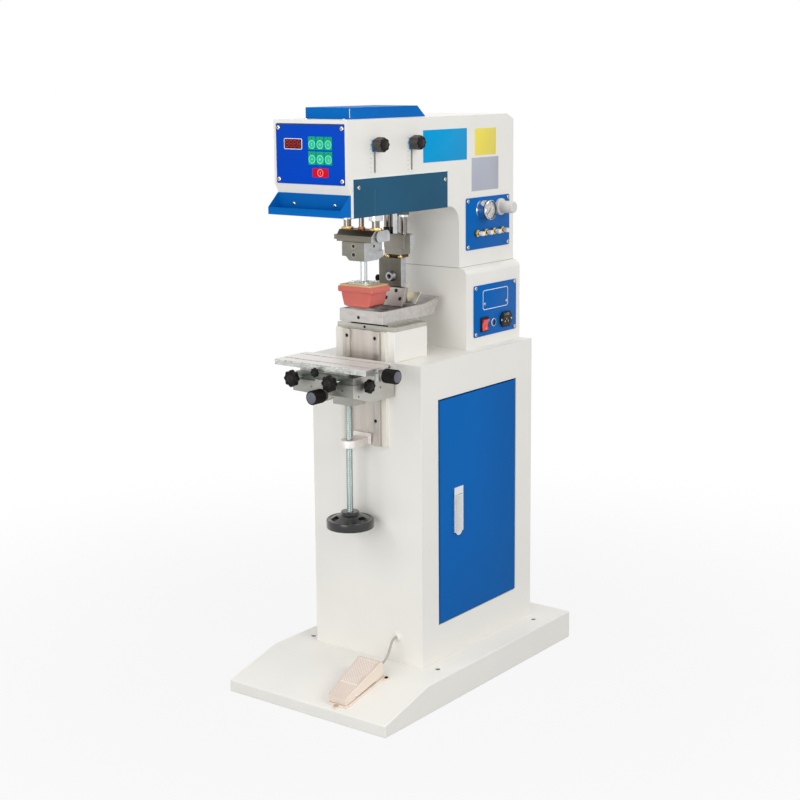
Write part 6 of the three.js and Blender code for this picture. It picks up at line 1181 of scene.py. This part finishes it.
def dress_doctor():
    """Later zones win: caps bright, ears and neck dull, the faces towards +X paler, as painted light on the
    lit side.
    """
    side, broad = looks("x", 0.5), looks("x", -0.5)
    dressed("doctor_block", PALE_STEEL, 0.8, zones=(
        (lambda c, n: c.z > CAP_Z, SATIN), (lambda c, n: c.x > EAR_X and broad(c, n), HOLDER_STEEL),
        (lambda c, n: side(c, n) and c.x > FLANK_X, LIT_SIDE_STEEL),
        (lambda c, n: c.z < NECK_Z and side(c, n), SATIN), (lambda c, n: c.z < NECK_Z, HOLDER_STEEL)))
    # Its faces towards +X take the paler steel: painted light on the lit side
    dressed("doctor_plate", DARK_STEEL, 0.7, zones=((looks("x", 0.6), LIT_SIDE_STEEL),))
    dressed("blade_holder", BLADE_METAL, 0.35, 1)
    dressed("ink_spatula", SPATULA, 0.4)


def make_doctor():
    dress_doctor()
    for node, x, radius in DOCTOR_GUIDES:
        rod = Form(node + "_ground")
        rod.rod(radius, DOCTOR_ROD_LOW, DOCTOR_ROD_HIGH, ROD_PAINTED_REFLECTIONS, facing("z", (x, DOCTOR_Y, 0)), 48, 0.5)
        rod.done("doctor", "chromed_steel", node)
    nut = Form("doctor_lock_nut")
    nut.ring(LOCK_NUT, BLACK_OXIDE_AND_RECESS_SHADE, facing("z", (DOCTOR_GUIDES[0][1], DOCTOR_Y, 0)))
    nut.done("doctor", "black_plastic")

    parts = Form("doctor_fasteners")
    boss = facing("-y", BOSS_PLACE)
    # The boss takes the same paler steel as the lit sides
    parts.ring(BOSS_PROFILE, LIT_SIDE_STEEL, boss)
    # The bore's floor is black: painted shade in the bore
    parts.plate(circle(BOSS_BORE, 32), *BOSS_FLOOR, PAINTED_SHADOW, boss)
    tilt = spun(-math.atan(PLATE_SLOPE), "X")
    for x, z in PLATE_SCREWS:
        y = PLATE_TOP_Y - (PLATE_TOP_Z - z) * PLATE_SLOPE
        socket_screw(parts, at_place(x, y - 0.05, z) @ tilt @ AXES["-y"].to_4x4(), 4.2)
    for x in BRASS_SCREW_X:
        at = facing("z", (x, BRASS_SCREW_Y, 0))
        threaded(parts, at, *BRASS_SCREW, BRASS, 20, 0.1)
        hex_nut(parts, at, *BRASS_NUT, BRASS)
    hex_nut(parts, facing("z", (SMALL_NUT_X, BRASS_SCREW_Y, 0)), *SMALL_NUT, BRASS)
    # A dark brown strip filling the gap between doctor block and plate: painted shadow in the gap, tinted
    # like the brass round it
    parts.block(*GAP_SHADE_STRIP, GAP_SHADE_BRONZE, 0.4, 1)
    for place in CLIP_SCREWS:
        pan_screw(parts, facing("z", place), 2.4)
    parts.block(*CLIP_BLOCK, NICKEL, 0.7)
    parts.done("doctor", "zinc_steel")

    knob = Form("doctor_knob_grip")
    at = facing("-x", DOCTOR_KNOB_PLACE)
    threaded(knob, at, *DOCTOR_SCREW, ZINC, 16)
    knob.grip(DOCTOR_KNOB_RADIUS, DOCTOR_KNOB_PROFILE, 96, 0.7, 24, BLACK, at)
    knob.done("doctor_screw", "black_plastic", "doctor_knob")


# Pneumatic panel

AIR_FACE = HEAD_RIGHT + 1.5
AIR_PLATE = ((96.7, 266.8, 932.2, 1045.5), 4.0, 0, 1.5, PANEL_BLUE, 0.3)
AIR_SCREWS = (103.5, 260, 939, 1039)
PANEL_SCREW_RADIUS = 4.3
REGULATOR_Y, REGULATOR_Z, REGULATOR_X = 228, 1019.5, 103.5
REGULATOR_FOOT = ((18.5, 0), (18.5, 5.2), (17.6, 6.6), (14, 7.0), (0, 7.0))
REGULATOR_STEM = (6, 6, 19)
REGULATOR_RADIUS = 13.5
REGULATOR_RIBBED = ((0.0, 0.95), (1.0, 1.0), (16.0, 1.0))
REGULATOR_PLAIN = ((17.0, 0.965), (28.6, 0.955), (30.2, 0.93), (31.0, 0.86))
RIB_DEPTH, PLAIN_DEPTH = 0.5, 0.06
FLOWS, FLOW_Y, FLOW_STEP, FLOW_Z, FLOW_CAP_X = 4, 134, 32.3, 967.8, 108.5
VALVE_NUT, VALVE_STEM = (8.2, 0, 5.6), (1.5, 11, 18)
VALVE_PROFILE = ((6.2, 5.4), (6.2, 6.6), (4.5, 7.2), (4.5, 11.2), (3.6, 12))
FLOW_CAP_RADIUS = 5
FLOW_CAP_PROFILE = ((0.0, 0.9), (0.8, 1.0), (8.6, 1.0), (9.9, 0.8))


def corner_screws(form, y0, y1, z0, z1, face):
    for y in (y0, y1):
        for z in (z0, z1):
            pan_screw(form, facing("x", (face, y, z)), PANEL_SCREW_RADIUS)


def make_air_panel():
    form = Form("pneumatic_plate")
    form.slabs([AIR_PLATE], facing("x", (HEAD_RIGHT, 0, 0)))
    corner_screws(form, *AIR_SCREWS, AIR_FACE)
    at = facing("x", (AIR_FACE, REGULATOR_Y, REGULATOR_Z))
    form.turned(REGULATOR_FOOT, KNOB_GREY, at, 64)
    form.rod(*REGULATOR_STEM, IVORY, at, 32)
    flows_y = [FLOW_Y + FLOW_STEP * index for index in range(FLOWS)]
    for y in flows_y:
        at = facing("x", (AIR_FACE, y, FLOW_Z))
        hex_nut(form, at, *VALVE_NUT, BRASS)
        form.turned(VALVE_PROFILE, BRASS, at, 32)
        form.rod(*VALVE_STEM, ZINC, at, 20)
    form.done("frame", "blue_panel", "pneumatic_panel")

    knob = Form("regulator_knob_ribbed")
    rings = []
    for profile, depth in ((REGULATOR_RIBBED, RIB_DEPTH), (REGULATOR_PLAIN, PLAIN_DEPTH)):
        for height, share in profile:
            rings.append(level(circle(REGULATOR_RADIUS * share, 128, depth, 32), height))
    knob.loft(rings, KNOB_GREY, facing("x", (REGULATOR_X, REGULATOR_Y, REGULATOR_Z)))
    knob.done("regulator", "white_plastic", "regulator_knob")

    for number, y in enumerate(flows_y, 1):
        cap = Form(f"flow_knob_{number}_cap")
        cap.grip(FLOW_CAP_RADIUS, FLOW_CAP_PROFILE, 64, 0.4, 16, IVORY_WORN,
                 facing("x", (FLOW_CAP_X, y, FLOW_Z)))
        cap.done(f"flow_{number}", "white_plastic", f"flow_knob_{number}")


# Pressure gauge

GAUGE_Y, GAUGE_Z = 157.5, 1018
CASE_PROFILE = (
    (21.4, 0), (21.0, 1), (20.6, 3), (20.6, 17), (21.6, 18.2), (21.6, 23.6), (20.9, 24.8), (19.8, 25),
    (19.4, 24.4), (19.4, 19.4), (0.5, 19.4), (0.5, 0),
)
BEZEL_LIP = ((20.3, 24.6), (20.3, 25.0), (19.3, 24.9), (19.3, 20.0), (19.5, 20.0))
BEZEL_BAND = ((21.8, 18.6), (21.8, 20.4), (21.2, 20.4), (21.2, 18.6))
SCALE_CIRCLE = ((12.6, 19.95), (12.6, 20.1), (12.2, 20.1), (12.2, 19.95))
GLASS_PROFILE = ((0, 23.4), (19.3, 23.4), (19.3, 24.0), (16, 24.3), (0, 24.5))
DIAL_STEPS, STEPS_PER_NUMBER = 30, 5
DIAL_START_DEG, DIAL_SWEEP_DEG = 225, 270
LONG_MARK, SHORT_MARK = (13.6, 17.0, -0.45, 0.45), (15.0, 17.0, -0.2, 0.2)
DIAL_RADIUS, DIAL_RISE, MARK_RISES = 19.3, (19.3, 20.0), (19.95, 20.12)
SPINDLE = (0.8, 19.9, 21.3)
HAND_X, HAND_DEG, HAND_RISE = 116.2, 135, (0.7, 1.5)
HAND_OUTLINE = ((-0.9, -5), (0.9, -5), (0.3, 14), (-0.3, 14))
HUB_PROFILE = ((2.4, 0.5), (2.4, 2.0), (1.2, 2.3), (1.15, 0.5))
NUMBERS, NUMBER_REACH, NUMBER_X, NUMBER_SIZE = 7, 10.4, 116.25, 3.4
NUMBER_THICK = 0.06


def make_gauge():
    form = Form("gauge_case")
    at = facing("x", (AIR_FACE, GAUGE_Y, GAUGE_Z))
    form.ring(CASE_PROFILE, CHROME, at, 72)
    form.plate(circle(DIAL_RADIUS, 64), *DIAL_RISE, DIAL, at, 0.1)
    form.ring(BEZEL_LIP, BLACK, at, 72)
    form.ring(BEZEL_BAND, BLACK, at, 72)
    for step in range(DIAL_STEPS + 1):
        angle = math.radians(DIAL_START_DEG - DIAL_SWEEP_DEG * step / DIAL_STEPS)
        mark = SHORT_MARK if step % STEPS_PER_NUMBER else LONG_MARK
        form.plate(outline_box(*mark), *MARK_RISES, BLACK_INK_AND_BEZEL_SHADE, at @ spun(angle))
    form.ring(SCALE_CIRCLE, BLACK_INK_AND_BEZEL_SHADE, at, 64)
    form.rod(*SPINDLE, ZINC, at, 16, 0.1)
    form.done("frame", "chromed_steel", "pressure_gauge")

    glass = Form("gauge_window")
    glass.turned(GLASS_PROFILE, GLASS, at, 64)
    glass.done("frame", "chromed_steel")

    hand = Form("gauge_hand")
    base = facing("x", (HAND_X, GAUGE_Y, GAUGE_Z))
    hand.plate(HAND_OUTLINE, *HAND_RISE, BLACK, base @ spun(math.radians(HAND_DEG)))
    hand.ring(HUB_PROFILE, BRASS, base, 32)
    hand.done("gauge_needle", "black_plastic", "gauge_pointer")

    numbers = Form("gauge_numbers")
    for number in range(NUMBERS):
        angle = math.radians(DIAL_START_DEG - DIAL_SWEEP_DEG * number / (NUMBERS - 1))
        y, z = GAUGE_Y + NUMBER_REACH * math.cos(angle), GAUGE_Z + NUMBER_REACH * math.sin(angle)
        add_figure(numbers, str(number), facing("x", (NUMBER_X, y, z)))
    numbers.done("frame", "black_plastic")


def add_figure(form, words, at):
    """A figure of the built-in typeface as flat raised ink."""
    curve = bpy.data.curves.new("figure", "FONT")
    curve.body = words
    curve.size = NUMBER_SIZE
    curve.align_x = "CENTER"
    curve.align_y = "CENTER"
    curve.extrude = NUMBER_THICK
    curve.resolution_u = 3
    holder = stood("figure", curve)
    bpy.context.view_layer.update()
    data = bpy.data.meshes.new_from_object(holder)
    bpy.data.objects.remove(holder)
    number = form.index(BLACK_INK_AND_BEZEL_SHADE)
    verts = [form.mesh.verts.new(at @ v.co) for v in data.vertices]
    for polygon in data.polygons:
        try:
            face = form.mesh.faces.new([verts[i] for i in polygon.vertices])
            face.material_index = number
        except ValueError:
            pass
    bpy.data.meshes.remove(data)


# Electrical panel

POWER_BACK = 113.1
POWER_FACE = POWER_BACK + 1.5
POWER_PLATE = ((99.4, 267.9, 741.2, 855.1), 4.0, 0, 1.5, PANEL_BLUE, 0.3)
POWER_SCREWS = (106.6, 261.3, 747.4, 849.6)
LABEL_SCREWS = ((141.4, 812), (227, 810))
LABEL_OUTER, LABEL_INNER = (134.2, 233.8, 798.6, 842.4, 4.0, 1), (135.7, 232.3, 800.1, 840.9, 3.4, 1)
SWITCH_Y, SWITCH_Z = 138.3, 767.2
SWITCH_OUTER, SWITCH_INNER = (124.1, 152.5, 751.1, 783.3, 1.5), (127.1, 149.5, 754.1, 780.3, 0.8)
SWITCH_RISE, SWITCH_DEPTH = 3.6, -14
SWITCH_BACK = ((125.4, 151.2, 752.4, 782), 0, -15.2, -14.4, BLACK, 0)
SOCKET_Y, SOCKET_Z = 174.5, 767.4
SOCKET_RIM = ((9, 0), (9, 1.6), (8.4, 2.4), (7.4, 2.5), (7.4, 0))
SOCKET_WALL = ((7.4, 0), (7.4, 2.2), (5.5, 1.4), (5.5, -14), (7.4, -14))
SOCKET_FLOOR = ((6.6, -15), (6.6, -13.6), (0, -13.6))
SOCKET_PIN = (1.2, -14, -6)
ROCKER_TILT = math.radians(9)
ROCKER_CURVE = ((3.6, 0.0), (4.3, 4.2), (5.6, 8.4), (6.8, 12.2), (5.6, 12.5), (-3.6, 10.8), (-3.6, -10.8),
                (5.6, -12.5), (6.8, -12.2), (5.6, -8.4), (4.3, -4.2))
ROCKER_HALF = 10.9
MARK_TILT = math.radians(17)
ON_BAR = (-0.5, 0.5, -9.6, -5.2)
OFF_RING = ((2.6, 0.0), (2.6, 0.12), (1.7, 0.12), (1.7, 0.0))


def eased(points, factor, shift):
    """Points drawn towards the switch's middle."""
    return [(y * factor + shift * SWITCH_Y, z * factor + shift * SWITCH_Z) for y, z in points]


def make_switch_frame(form, out):
    outer, inner = outline_box(*SWITCH_OUTER), outline_box(*SWITCH_INNER)
    rings = [level(outer, -0.2), level(outer, SWITCH_RISE - 0.6),
             level(eased(outer, 0.98, 0.02), SWITCH_RISE), level(inner, SWITCH_RISE),
             level(inner, SWITCH_DEPTH), level(eased(inner, 1.04, -0.04), SWITCH_DEPTH - 0.5)]
    form.loft(rings, BLACK, out, closed=True)
    form.slabs([SWITCH_BACK], out)


def make_power_panel():
    out = facing("x", (POWER_FACE, 0, 0))
    form = Form("electrical_plate")
    form.slabs([POWER_PLATE], facing("x", (POWER_BACK, 0, 0)))
    corner_screws(form, *POWER_SCREWS, POWER_FACE)
    for y, z in LABEL_SCREWS:
        pan_screw(form, facing("x", (POWER_FACE, y, z)), 3.2)
    outer, inner = outline_box(*LABEL_OUTER), outline_box(*LABEL_INNER)
    form.loft([level(outer, 0.0), level(outer, 0.1), level(inner, 0.1), level(inner, 0.0)],
              WHITE_INK, out, closed=True)
    form.done("frame", "blue_panel", "electrical_panel")

    fittings = Form("power_fittings")
    make_switch_frame(fittings, out)
    socket = facing("x", (POWER_FACE, SOCKET_Y, SOCKET_Z))
    fittings.ring(SOCKET_RIM, CHROME, socket)
    fittings.ring(SOCKET_WALL, BLACK, socket)
    # The socket's floor is black: painted shade
    fittings.turned(SOCKET_FLOOR, PAINTED_SHADOW, socket, 32)
    fittings.rod(*SOCKET_PIN, BRASS, socket, 16, 0.2)
    make_inlet(fittings, out)
    fittings.done("frame", "black_plastic")

    rocker = Form("rocker_paddle")
    at = at_place(POWER_FACE, SWITCH_Y, SWITCH_Z) @ spun(ROCKER_TILT, "Y")
    rocker.loft([[(x, side, z) for x, z in ROCKER_CURVE] for side in (-ROCKER_HALF, ROCKER_HALF)],
                ROCKER_RED, at)
    upward = AXES["x"].to_4x4()
    rocker.plate(outline_box(*ON_BAR), 0.0, 0.12, WHITE_INK,
                 at @ at_place(5.0, 0, 0) @ spun(-MARK_TILT, "Y") @ upward)
    rocker.ring(OFF_RING, WHITE_INK, at @ at_place(5.05, 0, 7.2) @ spun(MARK_TILT, "Y") @ upward, 32)
    rocker.done("rocker", "red_plastic", "rocker_switch")


# Power inlet, its places counted from its middle

INLET_Y, INLET_Z = 224.3, 768.5
FLANGE = ((-24.3, -6), (-15, -17), (15, -17), (24.3, -6), (24.3, 6), (15, 17), (-15, 17), (-24.3, 6))
MOUTH = ((-12, -11), (12, -11), (12, 1.5), (8.6, 5), (-8.6, 5), (-12, 1.5))
MOUTH_MIDDLE = -3
FLANGE_RISE, FLANGE_BEVEL = (-0.1, 3.0), 0.8
MOUTH_RISE = (2.5, 3.05)
HOOD_LOW, HOOD_HIGH = 2.6, 3.9
HOOD_SHARES = (1.12, 1.14)
BLADES = ((0, 0.6), (-6, -5), (6, -5))
BLADE_X, BLADE_HALF_Y, BLADE_HALF_Z = (117.5, 118.5), 0.9, 2.4
DRAWER, DRAWER_RISE = (-11, 11, 8.2, 14.6), (2.6, 3.6)
INLET_SCREW_X, INLET_SCREW_Y = 117.5, 19.4


def make_inlet(form, out):
    """A flange with cut corners, a hooded mouth with three blades and a fuse drawer."""
    def shifted(points):
        return [(INLET_Y + y, INLET_Z + z) for y, z in points]

    form.plate(shifted(FLANGE), *FLANGE_RISE, BLACK, out, FLANGE_BEVEL)
    wide, tall = HOOD_SHARES
    outer = shifted([(y * wide, (z - MOUTH_MIDDLE) * tall + MOUTH_MIDDLE) for y, z in MOUTH])
    inner = shifted(MOUTH)
    form.loft([level(outer, HOOD_LOW), level(outer, HOOD_HIGH), level(inner, HOOD_HIGH),
               level(inner, HOOD_LOW)], BLACK_GLOSS, out, closed=True)
    # The mouth's inside is black: painted shade
    form.plate(inner, *MOUTH_RISE, PAINTED_SHADOW, out)
    for y, z in shifted(BLADES):
        form.block(BLADE_X, (y - BLADE_HALF_Y, y + BLADE_HALF_Y), (z - BLADE_HALF_Z, z + BLADE_HALF_Z),
                   NICKEL, 0.2)
    form.plate(shifted(outline_box(*DRAWER, 1.0)), *DRAWER_RISE, BLACK_GLOSS, out, 0.4)
    for y in (-INLET_SCREW_Y, INLET_SCREW_Y):
        pan_screw(form, facing("x", (INLET_SCREW_X, INLET_Y + y, INLET_Z)), 2.6)


# Foot pedal, in its own frame: along +Y up the ramp

TOP_Y, TOP_LENGTH = 19, 122
TOP_FRONT_Z, TOP_REAR_Z = 21.5, 40
TOP_FRONT_WIDE, TOP_GROWTH = 46, 16
RIB_MARGIN, RIB_LOW, RIB_HIGH = 3.2, -0.2, 0.02
DIVIDE_SHARE = 0.36
RIB_STEP, TOE_STEP = 7.0, 3.2
END_GAP, DIVIDE_GAP = 4, 2
PIN_X, PIN_Y, PIN_Z = 25.5, 52, 10.1
PIN_PROFILE = ((0, -1.2), (3.4, -1.2), (3.4, 0.2), (2.6, 1.0), (0, 1.3))
WALL, EAR_MIDDLE, EAR_TOP, REAR_EAR_Y = 3, 3.25, 3.3, 138
EYELET = ((5.2, -0.2), (5.0, 1.0), (3.0, 1.0), (2.7, -0.2))


def make_pedal():
    dressed("pedal_base", PEDAL, 0.5)
    dressed("pedal_top", PEDAL, 1.6, 3, zones=((looks("z", 0.8), PEDAL_GRID),))
    marks = Form("pedal_ribs")
    slope = math.atan2(TOP_REAR_Z - TOP_FRONT_Z, TOP_LENGTH)
    deck = PEDAL_PLACE @ at_place(0, TOP_Y, TOP_FRONT_Z) @ spun(slope, "X")
    length = TOP_LENGTH / math.cos(slope)

    def half(v):
        return (TOP_FRONT_WIDE + TOP_GROWTH * v / length) / 2 - RIB_MARGIN

    def rib(x0, v0, x1, v1, width):
        start, end = Vector((x0, v0, 0)), Vector((x1, v1, 0))
        along = (end - start).normalized()
        side = Vector((-along.y, along.x, 0)) * width
        outline = [(p.x, p.y) for p in (start + side, end + side, end - side, start - side)]
        marks.loft([level(outline, RIB_LOW), level(outline, RIB_HIGH)], RIB, deck)

    divide = length * DIVIDE_SHARE
    rib(-half(divide), divide, half(divide), divide, 0.9)
    v = divide + DIVIDE_GAP
    while v < length - END_GAP:
        far_v = min(v + RIB_STEP, length - END_GAP)
        for sign in (-1, 1):
            x = -half(v)
            while x < half(v) - RIB_STEP:
                first, second = (x, x + RIB_STEP)[::sign]
                rib(first, v, second, far_v, 0.35)
                x += RIB_STEP
        v += RIB_STEP
    v = END_GAP
    while v < divide - DIVIDE_GAP:
        rib(-half(v), v, half(v), v, 0.25)
        v += TOE_STEP
    marks.done("pedal", "pedal_plastic")

    pins = Form("pedal_hardware")
    for sign, axis in ((-1, "-x"), (1, "x")):
        pins.turned(PIN_PROFILE, CHROME, PEDAL_PLACE @ facing(axis, (sign * PIN_X, PIN_Y, PIN_Z)), 32)
    pins.ring(EYELET, NICKEL, PEDAL_PLACE @ at_place(0, TOP_Y - WALL - EAR_MIDDLE, EAR_TOP), 32)
    ear_x = (TOP_FRONT_WIDE + TOP_GROWTH) / 2 + WALL + EAR_MIDDLE
    for sign in (-1, 1):
        pan_screw(pins, PEDAL_PLACE @ at_place(sign * ear_x, REAR_EAR_Y, EAR_TOP), 4.0, BLACK_OXIDE_AND_RECESS_SHADE)
    pins.done("frame", "chromed_steel")


# Floor, light and world

FLOOR_HALF_M, FLOOR_Z_M = 14.0, -0.0005
FLOOR_GREY, FLOOR_ROUGH = 0.48, 0.9
SHADOW_NEAR_M, SHADOW_FAR_M = 0.5, 2.0
WHITE_NEAR, WHITE_FAR = 0.87, 1.0
WORLD_LEVEL = 0.55
AIM_M = Vector((0, -0.05, 0.75))
LAMPS = (
    ("key", (-1.2, -2.8, 2.5), 1.4, 14.0), ("side", (3.2, -0.8, 2.0), 1.4, 42.0),
    ("top", (0.2, 0.2, 3.6), 1.8, 25.0), ("fill", (0.5, -3.2, 1.0), 1.6, 29.0),
)


def any_ray(tree, *kinds):
    """One where a ray is of any of these kinds, else nothing."""
    path = add(tree, "LightPath")
    result = path.outputs[kinds[0]]
    for kind in kinds[1:]:
        most = add(tree, "Math", operation="MAXIMUM")
        tree.links.new(result, most.inputs[0])
        tree.links.new(path.outputs[kind], most.inputs[1])
        result = most.outputs["Value"]
    return result


def make_floor():
    """A white floor for the camera that keeps some of the object's shadow close to it."""
    material = bpy.data.materials.new("pale_floor")
    material.use_nodes = True
    tree = material.node_tree
    link = tree.links.new
    shader = tree.nodes["Principled BSDF"]
    fill(shader, {"Base Color": (FLOOR_GREY, FLOOR_GREY, FLOOR_GREY, 1), "Roughness": FLOOR_ROUGH})
    glow = add(tree, "Emission")
    where = add(tree, "TexCoord")
    far = add(tree, "VectorMath", operation="LENGTH")
    link(where.outputs["Object"], far.inputs[0])
    rise = add(tree, "MapRange", {"From Min": SHADOW_NEAR_M, "From Max": SHADOW_FAR_M, "To Min": WHITE_NEAR,
                                  "To Max": WHITE_FAR}, interpolation_type="SMOOTHSTEP")
    link(far.outputs["Value"], rise.inputs["Value"])
    share = add(tree, "Math", operation="MULTIPLY")
    link(any_ray(tree, "Is Camera Ray", "Is Glossy Ray"), share.inputs[0])
    link(rise.outputs["Result"], share.inputs[1])
    blend = add(tree, "MixShader")
    link(share.outputs["Value"], blend.inputs["Fac"])
    link(shader.outputs["BSDF"], blend.inputs[1])
    link(glow.outputs["Emission"], blend.inputs[2])
    link(blend.outputs["Shader"], tree.nodes["Material Output"].inputs["Surface"])

    floor = bpy.data.meshes.new("floor")
    corners = level(outline_box(-FLOOR_HALF_M, FLOOR_HALF_M, -FLOOR_HALF_M, FLOOR_HALF_M), FLOOR_Z_M)
    floor.from_pydata(corners, [], [(0, 1, 2, 3)])
    floor.materials.append(material)
    stood("floor", floor)


def make_light():
    world = bpy.data.worlds.new("studio")
    bpy.context.scene.world = world
    world.use_nodes = True
    tree = world.node_tree
    backdrop = tree.nodes["Background"]
    backdrop.inputs["Color"].default_value = (1, 1, 1, 1)
    amount = add(tree, "MapRange", {"To Min": WORLD_LEVEL, "To Max": 1.0})
    seen = any_ray(tree, "Is Camera Ray", "Is Glossy Ray", "Is Transmission Ray")
    tree.links.new(seen, amount.inputs["Value"])
    tree.links.new(amount.outputs["Result"], backdrop.inputs["Strength"])
    for name, place, size_m, power in LAMPS:
        lamp = bpy.data.lights.new(name, "AREA")
        lamp.shape = "SQUARE"
        lamp.size = size_m
        lamp.energy = power
        holder = stood(name, lamp)
        holder.location = place
        holder.rotation_euler = (AIM_M - Vector(place)).to_track_quat("-Z", "Y").to_euler()
    bpy.context.scene.view_settings.view_transform = "Standard"


for make in (make_body, make_body_fasteners, make_stickers, make_control_panel, make_knobs, make_lift,
             make_table, make_tray, make_pad, make_pad_head, make_shuttle, make_doctor, make_air_panel,
             make_gauge, make_power_panel, make_pedal, make_floor, make_light):
    make()
